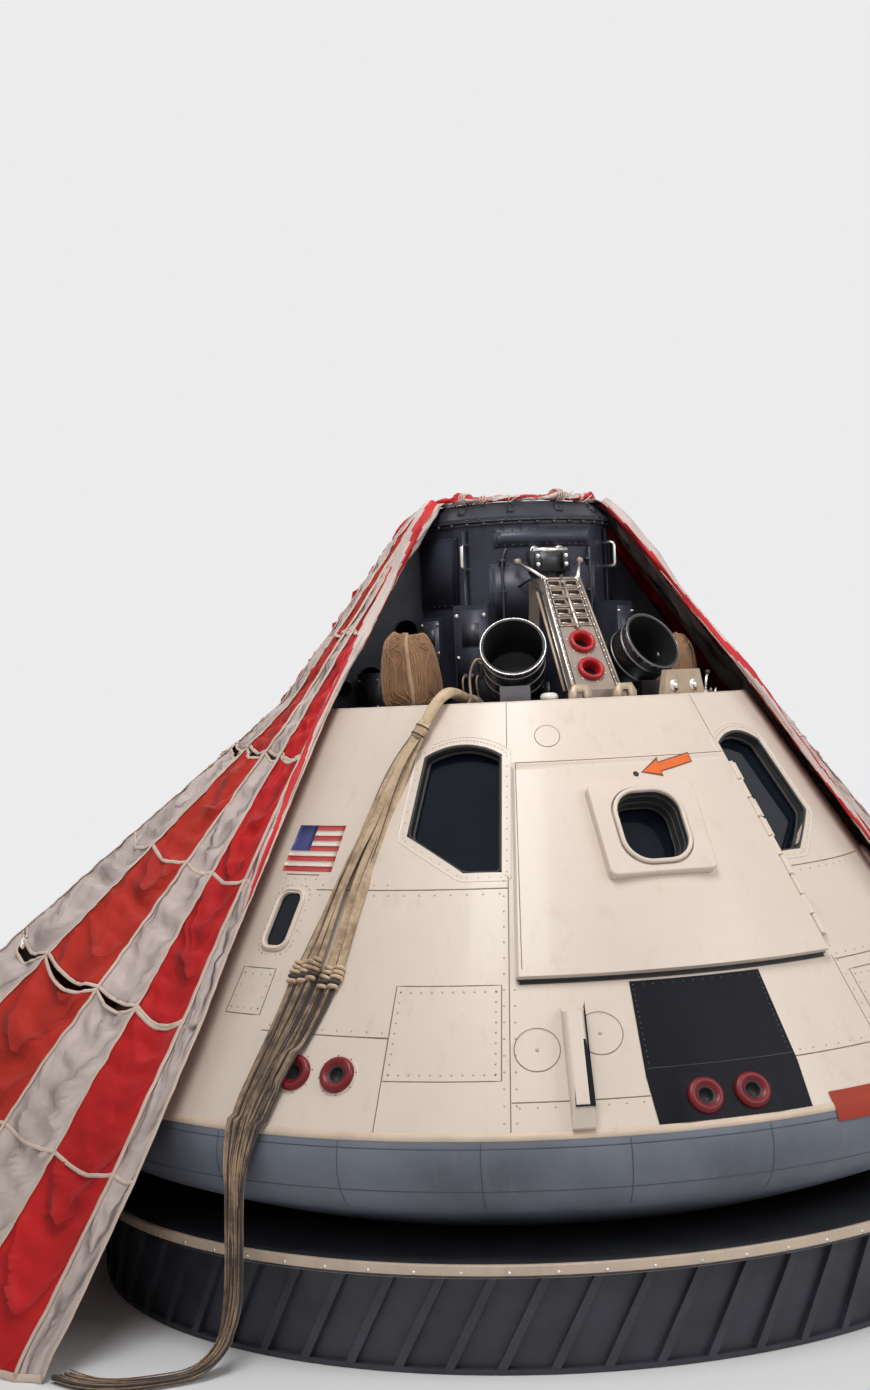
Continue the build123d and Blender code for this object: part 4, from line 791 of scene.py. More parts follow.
def add_lines(line, core, outer):
    """The thin lines below the knots. Those near the middle belong to the core."""
    rng = random.Random(5)
    for k in range(LINE_COUNT):
        share = (k + 0.5) / LINE_COUNT - 0.5
        inner = abs(share) < 0.09
        ph, f, amp, z0 = rng.uniform(0, 6.28), rng.uniform(5, 11), rng.uniform(0.4, 1.0), rng.uniform(-1, 1)
        cross = rng.uniform(-1, 1)
        path, frames = [], []
        for i in range(0, line.n, 2):
            a = line.arc[i]
            if a < KNOTS_AT - 0.01:
                continue
            w = (a - KNOTS_AT) / 0.6
            spread = 0.215 - 0.050 * smooth_step(w) - 0.085 * smooth_step((a - RIM_AT) / 0.35)
            x = share * spread + 0.0028 * amp * math.sin(f * a + ph)
            x += 0.012 * cross * smooth_step(w) * (1 - abs(share))
            if inner:
                x = max(-0.020, min(0.020, x))
            z = 0.006 * z0 * (1 - abs(share)) + 0.002 * math.sin(f * 1.3 * a + ph)
            if a > RIM_AT + 0.8:
                z += 0.010 * abs(z0) - 0.012
            path.append(line.beside(i, x, z))
            frames.append(line.frames[i])
        # the first third of each of five bundles is dark, as painted shade between bundles; one line in nine
        # is stained dark
        dark = ((share + 0.5) * 5) % 1 < 0.32 or k % 9 == 4
        tube(core if inner else outer, path, 0.0021 + 0.0007 * amp, 6, STAIN_AND_SHADE_LINE if dark else LINE,
             frames=frames)


def add_knots(line, batch):
    """The keeper sleeve with its two stitched bands, and a row of wound knots, one for each strap."""
    i0 = line.nearest(KEEPER_AT)
    rows = range(i0 - 2, i0 + 4)
    tube(batch, [line.pts[i] for i in rows], [0.0265, 0.029, 0.029, 0.029, 0.029, 0.026], 24, 0, True, 0.66,
         [line.frames[i] for i in rows])
    for j in (i0 - 1, i0 + 2):
        p, t = line.pts[j], line.frames[j][0]
        tube(batch, [p - t * 0.003, p + t * 0.003], 0.0305, 24, 1, True, 0.68, [line.frames[j]] * 2)
    ik = line.nearest(KNOTS_AT)
    t, s, u = line.frames[ik]
    rng = random.Random(11)
    for k, x in enumerate(STRAP_SIDES):
        c = line.beside(ik, x, 0.006) + t * (0.010 * math.sin(k * 2.1))
        for m in range(5):
            along = 0.037 * (m - 2) / 2
            wide = 0.0200 * (1.0 - 0.25 * abs(m - 2) / 2) + rng.uniform(-0.0015, 0.0015)
            tilt = rng.uniform(-0.5, 0.5)
            loop = []
            for q in range(17):
                b = 2 * math.pi * q / 16
                loop.append(on_ellipse(c + t * (along + 0.006 * tilt * math.cos(b)), s, u, wide, 0.0105, b))
            tube(batch, loop, 0.0076, 8, 0 if m != 3 else 1, False)


def build_riser():
    """The webbing from the bay to the floor: rolled strap, five flat straps, knots and a bundle of lines."""
    route = [around(*p) for p in RISER_BAY]
    route += [on_cone(*p) for p in RISER_CONE]
    route += [around(*p) for p in RISER_FLOOR]
    line = RiserLine(route)
    core, outer, knots = Batch(), Batch(), Batch()
    add_rolled_strap(line, core)
    for k in range(len(STRAP_SIDES)):
        add_flat_strap(line, k, core if k == MIDDLE_STRAP else outer)
    add_lines(line, core, outer)
    add_knots(line, knots)
    end = Batch()
    lathe(end, line.pts[0], line.frames[0][0],
          [(0.0, -0.050), (0.014, -0.050), (0.024, -0.044), (0.030, -0.030), (0.033, -0.008), (0.032, 0.015),
           (0.029, 0.040), (0.0285, 0.046), (0.0, 0.046)], 24)
    mats = [M["webbing"], M["line"], M["line_dark"]]
    riser = core.make("riser_core", mats, slot="webbing")
    pieces = [outer.make("riser_straps", mats, slot="webbing"),
              knots.make("riser_knots", [M["webbing"], M["line_dark"]], slot="webbing"),
              end.make("riser_rolled_end", [M["webbing"]], slot="webbing")]
    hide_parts("riser")


build_riser()


# Draped parachute
def perlin(u, v, seed=0):
    """Smooth noise from -1 to 1 over two arrays."""
    rng = np.random.default_rng(seed)
    table = rng.uniform(0, 2 * np.pi, (256, 256))
    u, v = np.asarray(u, float), np.asarray(v, float)
    iu, iv = np.floor(u).astype(int), np.floor(v).astype(int)
    fu, fv = u - iu, v - iv

    def corner(a, b):
        g = table[(iu + a) % 256, (iv + b) % 256]
        return np.cos(g) * (fu - a) + np.sin(g) * (fv - b)

    su, sv = fu ** 3 * (fu * (6 * fu - 15) + 10), fv ** 3 * (fv * (6 * fv - 15) + 10)
    low = corner(0, 0) * (1 - su) + corner(1, 0) * su
    high = corner(0, 1) * (1 - su) + corner(1, 1) * su
    return (low * (1 - sv) + high * sv) * 1.5


DRAPE_FROM, DRAPE_TO = 50.0, 295.5
# gore widths in degrees from the left edge round the back to the right edge, and lifts by azimuth
FULL_GORE = 15.2
GORES = [2.3, 7.2, 5.0, 8.0, 11.0] + [198.0 / 13] * 13 + [9.0, 5.0]
LIFTS = [(50.0, 0.050), (110.0, 0.340), (200.0, 0.340), (262.0, 0.585), (273.0, 0.470), (281.0, 0.270),
         (286.0, 0.150), (293.2, 0.075), (295.5, 0.050)]
DRAPE_SAG, CLOTH_INSET = 0.0020, 0.018
# the free left edge lies past this azimuth and the right one before it
BACK_AZ = 170
GORE_EDGES = [DRAPE_TO]
for width in GORES:
    GORE_EDGES.append(GORE_EDGES[-1] - width)


def arc_lengths(pts):
    """How far along a polyline each of its points lies."""
    return np.concatenate([[0], np.cumsum(np.hypot(*np.diff(pts, axis=0).T))])


def ease(rounds, *lines):
    """Eases each array towards the mean of its neighbours, with its ends kept."""
    for _ in range(rounds):
        for line in lines:
            line[1:-1] = (line[:-2] + 2 * line[1:-1] + line[2:]) / 4


def drape_profile(az, sag):
    """Points (r, z) of the cloth's middle surface from docking ring to hem, and their arc lengths."""
    lift = float(np.interp(az, [p[0] for p in LIFTS], [p[1] for p in LIFTS])) - sag
    hem = 2.52 + 2.1 * (lift - 0.050) - CLOTH_INSET
    low = lift + 0.060 - CLOTH_INSET
    top = 0.073 - CLOTH_INSET
    pts = np.array([(0.345, DOCK_TOP_Z + 0.012), (0.385, DOCK_TOP_Z + 0.024), (0.425, DOCK_TOP_Z - 0.004),
                    (0.482, DOCK_TOP_Z - 0.070), (CONE_TOP_R + top * COS, TOP_Z + top * SIN),
                    (BASE_R + low * COS, BASE_Z + low * SIN), (hem - 0.02, 0.055), (hem, 0.012)])
    cum = arc_lengths(pts)
    s = np.linspace(0, cum[-1], 300)
    r, z = np.interp(s, cum, pts[:, 0]), np.interp(s, cum, pts[:, 1])
    ease(8, r, z)
    return r, z, s


# slots between two rows of cloth: their place below the ring, sag, half width, and the grid row above each
SLOTS = [(1.34, 0.055, 0.018, 51), (2.50, 0.085, 0.023, 97)]
DRAPE_ROWS = 158
OPEN_GORES = range(2, 16)


def row_places(frac, gore, length):
    """Arc length of every grid row, so that the cloth's rows end at the slots' edges."""
    f = math.sin(math.pi * frac)
    share = GORES[gore] / FULL_GORE
    places, last_row, last_s = [], 0, 0.0
    for at, sag, half, row in SLOTS:
        mid = at + sag * share * f
        h = half * share ** 0.5 * f ** 0.7 if gore in OPEN_GORES else 0.0
        places += list(np.linspace(last_s, mid - h, row - last_row + 1)[:-1])
        places.append(mid - h)
        last_row, last_s = row + 1, mid + h
    places += list(np.linspace(last_s, length, DRAPE_ROWS - last_row))
    return np.array(places)


def drape_columns():
    """Azimuth, share of its gore and gore number of every column of the cloth's grid."""
    azs, frac, index = [], [], []
    for k, (a, b) in enumerate(zip(GORE_EDGES, GORE_EDGES[1:])):
        cols = 11 if 6 < k < 17 else max(14, round(28 * (a - b) / FULL_GORE))
        for i in range(cols):
            azs.append(a + (b - a) * i / cols)
            frac.append(i / cols)
            index.append(k)
    azs.append(DRAPE_FROM)
    frac.append(1.0)
    index.append(len(GORES) - 1)
    return np.array(azs), np.array(frac), np.array(index)


def creases(u, v, seed, power, mean):
    """Sharp ridges along the lines where noise over u and v is zero."""
    return (1 - np.abs(perlin(u, v, seed))) ** power - mean


def drape_relief(round_m, f, gore, along, near_edge):
    """How far the cloth stands off its middle surface. round_m is metres round the capsule."""
    between = 0.06 + 0.94 * np.clip(np.sin(np.pi * f), 0, 1) ** 0.85
    # billow of each gore, and gathers near the ring
    billow = np.sin(np.pi * f) ** 0.8
    d = -0.012 * np.clip(along / 1.2, 0, 1) * billow * (0.6 + 0.8 * perlin(gore * 3.1 + 0.5, along * 1.1, 1))
    gather = np.exp(-along / 0.9)
    d += 0.015 * gather * between * np.sin(2 * np.pi * 3 * f + 2.2 * perlin(gore * 1.7, along * 2.0, 2))
    d += 0.012 * gather * between * perlin(f * 9 + 5.1 * gore, along * 3.2, 12)
    # long radial folds, crossing creases and bags
    folds = perlin(round_m * 5.5 + 0.8 * perlin(round_m * 1.2, along * 1.0, 3), along * 0.55, 4)
    d += 0.018 * folds * np.clip(along / 0.8, 0.3, 1) * (0.22 + 0.78 * between)
    sway = round_m + 0.35 * along
    d += 0.016 * creases(sway * 9.0, along * 2.4 + 1.5 * f, 5, 3, 0.5) * between
    sway = round_m - 0.5 * along
    d += 0.012 * creases(sway * 13.0, along * 3.6, 6, 3, 0.5) * between
    d += 0.017 * creases(round_m * 3.1 + 0.9 * along, along * 1.5 - 0.7 * round_m, 14, 4, 0.35) * between
    d += 0.0022 * perlin(round_m * 30, along * 24, 7) * between
    # scallops: the cloth sags between its seams, so creases hang as curves
    swag = np.sin(np.pi * f) * 0.17
    hang = creases(f * 1.1 + gore * 2.3, (along - swag) * 5.2, 8, 5, 0.25)
    d += 0.030 * hang * np.clip(along - 0.6, 0, 1) * between
    # the drape lies close at its two edges, on the ring and at the hem
    on_ring = np.clip((0.28 - along) / 0.2, 0, 1)
    d = d * (0.35 + 0.65 * near_edge) * (1 - 0.75 * on_ring)
    d = 0.026 * np.tanh((d + 0.004) / 0.026) - 0.005
    d[-8:] *= np.linspace(1, 0.25, 8)[:, None]
    return d


def off_hull(r, z, clear):
    """The points moved off the cone where they are nearer to it than clear."""
    distance = ((r - BASE_R) + (z - BASE_Z) * TAN) * COS
    on = (z > BASE_Z) & (z < TOP_Z + 0.02)
    push = np.where(on & (distance < clear), clear - distance, 0)
    return r + push * COS, z + push * SIN


def unit(v):
    return v / (np.linalg.norm(v, axis=-1, keepdims=True) + 1e-9)


def build_drape():
    """The canopy cloth as one grid of gores, and what the tapes and rolls need of it."""
    azs, frac, index = drape_columns()
    nv, nu = DRAPE_ROWS, len(azs)
    R, Z, L, along = np.zeros((nv, nu)), np.zeros((nv, nu)), np.zeros(nu), np.zeros((nv, nu))
    for i, az in enumerate(azs):
        r, z, s = drape_profile(az, DRAPE_SAG * GORES[index[i]] * math.sin(math.pi * frac[i]))
        L[i] = s[-1]
        along[:, i] = row_places(frac[i], index[i], s[-1])
        R[:, i], Z[:, i] = np.interp(along[:, i], s, r), np.interp(along[:, i], s, z)
    dr, dz = np.gradient(R, axis=0), np.gradient(Z, axis=0)
    norm = np.hypot(dr, dz) + 1e-9
    nr, nz = -dz / norm, dr / norm
    edge = np.minimum(azs - DRAPE_FROM, DRAPE_TO - azs)[None, :]
    round_m = np.radians(azs)[None, :] * np.maximum(R, 0.5)
    d = drape_relief(round_m, frac[None, :], index[None, :], along, np.clip(edge / 9.0, 0, 1))
    r, z = off_hull(R + nr * d, np.maximum(Z + nz * d, 0.006), 0.014)
    # wavy free edges, and the left one's drift to the side on its way down
    wave = 0.55 * perlin(along * 1.6, along * 0 + 3.5, 9) + 0.22 * perlin(along * 5.0, along * 0 + 7.5, 10)
    side = np.where(azs > BACK_AZ, 1.0, -1.0)[None, :]
    drift = np.where(azs > BACK_AZ, 1.0, 0.0)[None, :] * (-2.2 + 4.6 * np.clip((along - 0.9) / 1.6, 0, 1))
    drift *= np.clip(1 - edge / 26.0, 0, 1) * np.clip((L[None, :] - along) / 0.9, 0, 1)
    A = np.radians(azs)[None, :] * np.ones((nv, 1))
    A = A + np.radians(wave * side * np.clip(1 - edge / 6.0, 0, 1) + drift)
    points = np.stack([r * np.sin(A), -r * np.cos(A), z], -1)
    verts = points.reshape(-1, 3)
    uv = np.stack([(index + frac)[None, :] * np.ones((nv, 1)), along], -1).reshape(-1, 2)
    # the slots are left open
    gore_of = index[np.tile(np.arange(nu - 1), nv - 1)]
    row_of = np.repeat(np.arange(nv - 1), nu - 1)
    is_open = np.isin(row_of, [slot[-1] for slot in SLOTS]) & np.isin(gore_of, OPEN_GORES)
    faces = [face for face, skip in zip(grid_faces(nu, nv), is_open) if not skip]
    obj = new_object("parachute_cloth", verts, faces, [M["canopy"]], uv=uv)
    mod = obj.modifiers.new("thickness", "SOLIDIFY")
    mod.thickness, mod.offset = 0.0016, 0.0
    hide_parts("parachute_cape", "parachute_skirt")
    normals = unit(np.cross(np.gradient(points, axis=1), np.gradient(points, axis=0)))
    if (normals[nv // 2, nu // 2] @ points[nv // 2, nu // 2]) < 0:
        normals = -normals
    normals = unit(0.35 * normals + 0.65 * np.stack([nr * np.sin(A), -nr * np.cos(A), nz], -1))
    area = 0.0
    for face in faces:
        a, b, c, e = (verts[i] for i in face)
        area += np.linalg.norm(np.cross(c - a, e - b)) / 2
    return SimpleNamespace(obj=obj, points=points, normals=normals, along=along, frac=frac, gore=index,
                           area=round(float(area), 2))


def ribbon(batch, pts, normals, width, lift, mat=0, thick=0.0022):
    """A flat tape lying on a surface."""
    verts, n = [], len(pts)
    for i in range(n):
        t = (pts[min(i + 1, n - 1)] - pts[max(i - 1, 0)])
        t = t / (np.linalg.norm(t) + 1e-9)
        s = np.cross(t, normals[i])
        s = s / (np.linalg.norm(s) + 1e-9)
        for x, z in ((-0.5, 0), (-0.42, 1), (0, 1.25), (0.42, 1), (0.5, 0), (0, -0.3)):
            verts.append(pts[i] + s * (x * width) + normals[i] * (lift + z * thick))
    batch.add(verts, grid_faces(6, n, True) + end_caps(6, n), mat)


CANOPY_RED, CANOPY_ORANGE, CANOPY_WHITE = (0.52, 0.014, 0.016), (0.44, 0.035, 0.016), (0.60, 0.495, 0.46)


def canopy_material():
    """Red and pale gores told apart by the cloth's own UV, with weave, soiling, and painted shade along the
    folds.
    """
    mat, nt, p = nodes_of("canopy_cloth")
    uv = node(nt, "ShaderNodeUVMap").outputs[0]
    sep = node(nt, "ShaderNodeSeparateXYZ")
    link(nt, uv, sep.inputs[0])
    across, down = sep.outputs[0], sep.outputs[1]
    v = coords(nt)
    gore = math_node(nt, "FLOOR", across)
    broad = noise(nt, 1.7, 5, 0.6, v)
    red = ramp(nt, broad, [(0.3, scaled(CANOPY_RED, 0.84)), (0.7, scaled(CANOPY_RED, 1.14))])
    red = mix(nt, red, CANOPY_ORANGE, times(nt, math_node(nt, "COMPARE", gore, 3.0), 0.6))
    broad = noise(nt, 2.3, 6, 0.65, v)
    white = ramp(nt, broad, [(0.3, scaled(CANOPY_WHITE, 0.86)), (0.7, scaled(CANOPY_WHITE, 1.1))])
    soil = mask(nt, noise(nt, 7.0, 7, 0.7, v), 0.52, 0.80)
    white = mix(nt, white, (0.40, 0.31, 0.26), times(nt, soil, 0.45))
    # folds that hang as curves between the seams, as bumps and as painted shade
    arch = math_node(nt, "SINE", times(nt, math_node(nt, "FRACT", across), math.pi))
    place = node(nt, "ShaderNodeCombineXYZ")
    link(nt, times(nt, across, 0.9), place.inputs[0])
    link(nt, times(nt, math_node(nt, "SUBTRACT", down, times(nt, arch, 0.20)), 2.7), place.inputs[1])
    swell = math_node(nt, "SUBTRACT", noise(nt, 1.0, 1, 0.3, place.outputs[0]), 0.5)
    fold = math_node(nt, "SUBTRACT", 1.0, times(nt, math_node(nt, "ABSOLUTE", swell), 8.0), True)
    fold = times(nt, math_node(nt, "POWER", fold, 1.6), math_node(nt, "POWER", arch, 0.6))
    # painted shade: the colour darkens along the folds
    shade = times(nt, math_node(nt, "POWER", fold, 2.0), 0.34)
    gores = mix(nt, white, red, math_node(nt, "MODULO", gore, 2.0))
    link(nt, mix(nt, gores, grey(0.38), shade, "MULTIPLY"), p.inputs["Base Color"])
    weave = node(nt, "ShaderNodeMapping", Scale=(300, 900, 1))
    link(nt, uv, weave.inputs["Vector"])
    normal = bump(nt, threads(nt, weave.outputs[0], 1.0, 0.4, "Y"), 0.12, 0.0004)
    normal = bump(nt, fold, 0.9, 0.034, normal)
    normal = bump(nt, noise(nt, 38.0, 4, 0.6, v), 0.22, 0.005, normal)
    normal = bump(nt, noise(nt, 8.0, 2, 0.5, coords(nt, (1.0, 1.0, 0.6)), 0.8), 0.35, 0.020, normal)
    link(nt, normal, p.inputs["Normal"])
    finish_shader(p, rough=0.66, sheen=0.04, spec=0.22)
    return mat


M["canopy"] = canopy_material()
DRAPE = build_drape()


def build_tapes():
    """Tapes down each seam and the middle of wide gores, across the cloth, along the slots and the hem."""
    batch = Batch()
    P, N, along, gore = DRAPE.points, DRAPE.normals, DRAPE.along, DRAPE.gore
    nv, nu = along.shape
    columns = range(nu)
    for i in [i for i in columns if DRAPE.frac[i] == 0.0] + [nu - 1]:
        ribbon(batch, P[:, i], N[:, i], 0.019, 0.0020)
    for i in columns:
        if abs(DRAPE.frac[i] - 0.5) < 0.02 and GORES[gore[i]] > 12:
            ribbon(batch, P[14:, i], N[14:, i], 0.012, 0.0016, thick=0.0014)
    for at, first_gore in ((0.72, 1), (1.90, 0), (3.10, 0)):
        pts, normals = [], []
        for i in columns:
            if gore[i] < first_gore:
                continue
            s = at + 0.060 * GORES[gore[i]] / FULL_GORE * math.sin(math.pi * DRAPE.frac[i])
            j = int(np.clip(np.searchsorted(along[:, i], s), 1, nv - 1))
            w = (s - along[j - 1, i]) / max(1e-6, along[j, i] - along[j - 1, i])
            pts.append(P[j - 1, i] * (1 - w) + P[j, i] * w)
            normals.append(N[j, i])
        ribbon(batch, pts, normals, 0.017, 0.0020)
    inner = [i for i in columns if 1 <= gore[i] <= 18]
    for *_, row in SLOTS:
        for r, off in ((row, -1), (row + 1, 1)):
            pts = [P[r, i] * 0.75 + P[r + off, i] * 0.25 for i in inner]
            ribbon(batch, pts, [N[r + 2 * off, i] for i in inner], 0.016, 0.0020)
    ribbon(batch, P[-1], N[-2], 0.030, 0.0010)
    return batch.make("parachute_tapes", [M["tape"]], slot="canopy")


def rolled(batch, path, radii, seed, sides=26, flat=0.8):
    """A crumpled roll of gathered cloth along a path, its red and pale gores running along it."""
    n = len(path)
    verts = []
    for i, (p, r, (t, s, u)) in enumerate(zip(path, radii, frames_along(path))):
        for k in range(sides):
            b = 2 * math.pi * k / sides
            q = 1 + 0.26 * float(perlin(i * 0.15, k * 0.55, seed)) + 0.14 * math.sin(3 * b + 0.17 * i)
            q = r * (q + 0.13 * float(perlin(i * 0.42, k * 1.1, seed + 50)))
            verts.append(on_ellipse(p, s, u, q * 1.15, q * flat, b))
    pale, red = end_caps(sides, n), []
    for m, face in enumerate(grid_faces(sides, n, True)):
        i, k = divmod(m, sides)
        turn = (k / sides + 0.007 * i + 0.10 * float(perlin(i * 0.08, 0.3, seed + 9))) % 1
        (red if turn < 0.26 or 0.50 < turn < 0.68 else pale).append(face)
    batch.add(verts, pale, 0)
    batch.add(verts, red, 1)


def build_edge_rolls():
    """The cloth's free edges, rolled and bunched where they come off the docking ring."""
    batch = Batch()
    P = DRAPE.points
    for column, inner, last, size, seed in ((0, 3, 2.05, 0.038, 31), (-1, -4, 2.90, 0.033, 37)):
        line = [Vector(p) for p, s in zip(P[:, column], DRAPE.along[:, column]) if 0.06 < s < last]
        path, _ = resample(line, 0.020)
        lift = Vector(DRAPE.normals[20, column])
        inward = Vector(P[40, inner] - P[40, column]).normalized()
        out, radii = [], []
        for i, p in enumerate(path):
            s = i / (len(path) - 1)
            bunch = math.exp(-((s - 0.07) / 0.06) ** 2) + 0.5 * math.exp(-((s - 0.36) / 0.05) ** 2)
            r = size * (0.62 + 0.45 * bunch + 0.22 * float(perlin(i * 0.11, 0.4, seed + 1))) * (1 - 0.45 * s)
            r *= min(1.0, (1 - s) / 0.05 + 0.25)
            wander = 0.016 * float(perlin(i * 0.045, 1.3, seed + 2))
            out.append(p + lift * (r * 0.55) + inward * (0.012 + wander))
            radii.append(r)
        rolled(batch, out, radii, seed)
    return batch.make("parachute_edges", [M["roll_pale"], M["roll_red"]], slot="canopy")


M["roll_pale"] = cloth("gathered_cloth_pale", CANOPY_WHITE, vary=0.2, rough=0.7, sheen=0.05,
                       dirt=(0.36, 0.27, 0.22))
M["roll_red"] = cloth("gathered_cloth_red", CANOPY_RED, vary=0.25, rough=0.66, sheen=0.04)
build_tapes()
build_edge_rolls()


# Hull lines, rivets and marks
def wrap(path, az0, h0, lift=0.0):
    """Points given as (x, y) metres beside (az0, h0), wrapped on the cone."""
    return [near_cone(az0, h0, x, y, lift) for x, y in path]


def line_on(batch, pts, normals, width, height, mat=0, close=False):
    """A thin raised strip along points lying on a surface with the given normals."""
    n = len(pts)
    verts = []
    for i in range(n):
        before, after = ((i - 1) % n, (i + 1) % n) if close else (max(i - 1, 0), min(i + 1, n - 1))
        a, b = pts[before], pts[after]
        t = (b - a).normalized()
        s = t.cross(normals[i]).normalized()
        for x, z in ((-0.5, -0.4), (-0.34, 1.0), (0.34, 1.0), (0.5, -0.4)):
            verts.append(pts[i] + s * (x * width) + normals[i] * (z * height))
    faces = grid_faces(4, n)
    if close:
        k = (n - 1) * 4
        faces += [(k + i, k + i + 1, i + 1, i) for i in range(3)]
    batch.add(verts, faces, mat)


def rounded_rect(w, h, r, n=6):
    """Outline of a rounded rectangle, anticlockwise."""
    pts = []
    for cx, cy, a0 in ((w / 2 - r, h / 2 - r, 0), (-w / 2 + r, h / 2 - r, 90), (-w / 2 + r, -h / 2 + r, 180),
                       (w / 2 - r, -h / 2 + r, 270)):
        for k in range(n + 1):
            a = math.radians(a0 + 90 * k / n)
            pts.append((cx + r * math.cos(a), cy + r * math.sin(a)))
    return pts


def dense(path, step, close=False):
    """The path with points added so that no gap is over step."""
    out = []
    pairs = list(zip(path, path[1:])) + ([(path[-1], path[0])] if close else [])
    for (x0, y0), (x1, y1) in pairs:
        n = max(1, int(math.hypot(x1 - x0, y1 - y0) / step))
        out += [(x0 + (x1 - x0) * k / n, y0 + (y1 - y0) * k / n) for k in range(n)]
    if not close:
        out.append(path[-1])
    return out


def grown(path, d):
    """A closed anticlockwise path moved outwards by d."""
    out, n = [], len(path)
    for i in range(n):
        p = [Vector((*path[(i + k) % n], 0)) for k in (-1, 0, 1)]
        n1 = (p[1] - p[0]).normalized().cross(Vector((0, 0, 1)))
        n2 = (p[2] - p[1]).normalized().cross(Vector((0, 0, 1)))
        m = (n1 + n2).normalized()
        m = m * (d / max(0.4, m.dot(n2)))
        out.append((path[i][0] + m.x, path[i][1] + m.y))
    return out


def window_path(side):
    """The big window's outline, in metres beside its centre, anticlockwise as seen from outside."""
    corners = [(23.9, 0.830), (29.8, 0.830), (40.0, 0.963), (39.5, 1.250)]
    pts = [(math.radians(a - WINDOW_AZ) * (BASE_R - h * TAN), (h - WINDOW_H) / COS) for a, h in corners]
    x1, y1 = pts[-1]
    x0 = math.radians(23.9 - WINDOW_AZ) * (BASE_R - 1.25 * TAN)
    for k in range(1, 12):
        t = k / 12
        pts.append((x1 + (x0 - x1) * t, y1 + 4 * t * (1 - t) * 0.050))
    pts.append((x0, y1))
    if side < 0:
        pts = [(-x, y) for x, y in reversed(pts)]
    return pts


def softened(path, r, n=4):
    """A closed path with its corners rounded."""
    out, m = [], len(path)
    for i in range(m):
        a, b, c = (Vector(path[(i + k) % m]) for k in (-1, 0, 1))
        d1, d2 = (a - b), (c - b)
        cut = min(r, d1.length * 0.45, d2.length * 0.45)
        p, q = b + d1.normalized() * cut, b + d2.normalized() * cut
        for k in range(n + 1):
            t = k / n
            v = p * (1 - t) ** 2 + b * (2 * t * (1 - t)) + q * t ** 2
            out.append((v.x, v.y))
    return out


def flush_rivets(batch, path, spacing, r, h, az0, h0):
    """Rivets at even spacing round a closed path of (x, y) metres on the cone."""
    for p in wrap(dense(path, spacing, True), az0, h0):
        side, up, out = cone_axes_at(p)
        dome(batch, p, out, side, r, h, 0, 7)


def box_path(a0, a1, h0, h1):
    """Corners of a rectangle on the cone as (azimuth, height)."""
    return [(a0, h0), (a1, h0), (a1, h1), (a0, h1), (a0, h0)]


def rivet_row(batch, a0, h0, a1, h1, spacing):
    """Rivets in a straight row on the cone from (a0, h0) to (a1, h1)."""
    n = max(1, round((on_cone(a1, h1) - on_cone(a0, h0)).length / spacing))
    for k in range(n + 1):
        a, h = a0 + (a1 - a0) * k / n, h0 + (h1 - h0) * k / n
        side, up, out = cone_axes(a)
        dome(batch, on_cone(a, h), out, side, 0.0042, 0.0022, 0, 7)


# straight runs on the cone as (azimuth, height, azimuth, height)
SEAM_RUNS = ((-22.95, 0.0, -22.95, 0.815), (-22.95, 1.27, -22.95, TOP_H - 0.004), (23.1, 0.0, 23.1, 0.455),
             (23.1, 1.27, 23.1, TOP_H - 0.004), (-54.0, 0.775, -23.0, 0.775), (23.1, 0.775, 50.0, 0.775),
             (-55.0, 0.298, -37.3, 0.290), (-37.3, 0.157, -37.3, 0.0), (23.1, 0.441, 50.0, 0.441),
             (9.9, 0.160, 50.0, 0.160), (-61.5, 0.826, -54.4, 0.826), (37.3, 0.441, 37.3, 0.160),
             (-22.95, 0.090, -8.2, 0.090))
RIVET_RUNS = ((-23.6, 0.03, -23.6, 0.80), (-22.3, 0.03, -22.3, 0.44), (23.8, 0.03, 23.8, 0.74),
              (-53.0, 0.757, -24.2, 0.757), (-53.0, 0.793, -41.5, 0.793), (24.2, 0.757, 49.5, 0.757),
              (24.2, 0.459, 49.5, 0.459), (11.0, 0.178, 49.5, 0.178), (-61.2, 0.812, -54.8, 0.812),
              (-54.0, 0.316, -38.2, 0.308), (-22.0, 0.074, -9.0, 0.074))
# access panels as (left, right, low, high), and round covers as (azimuth, height, radius)
ACCESS_PANELS = ((-37.3, -23.9, 0.157, 0.456), (-62.3, -56.2, 0.345, 0.500), (25.0, 36.0, 0.205, 0.400))
ROUND_COVERS = ((-14.7, 1.311, 0.048), (-19.9, 0.249, 0.080), (-12.6, 0.291, 0.080))


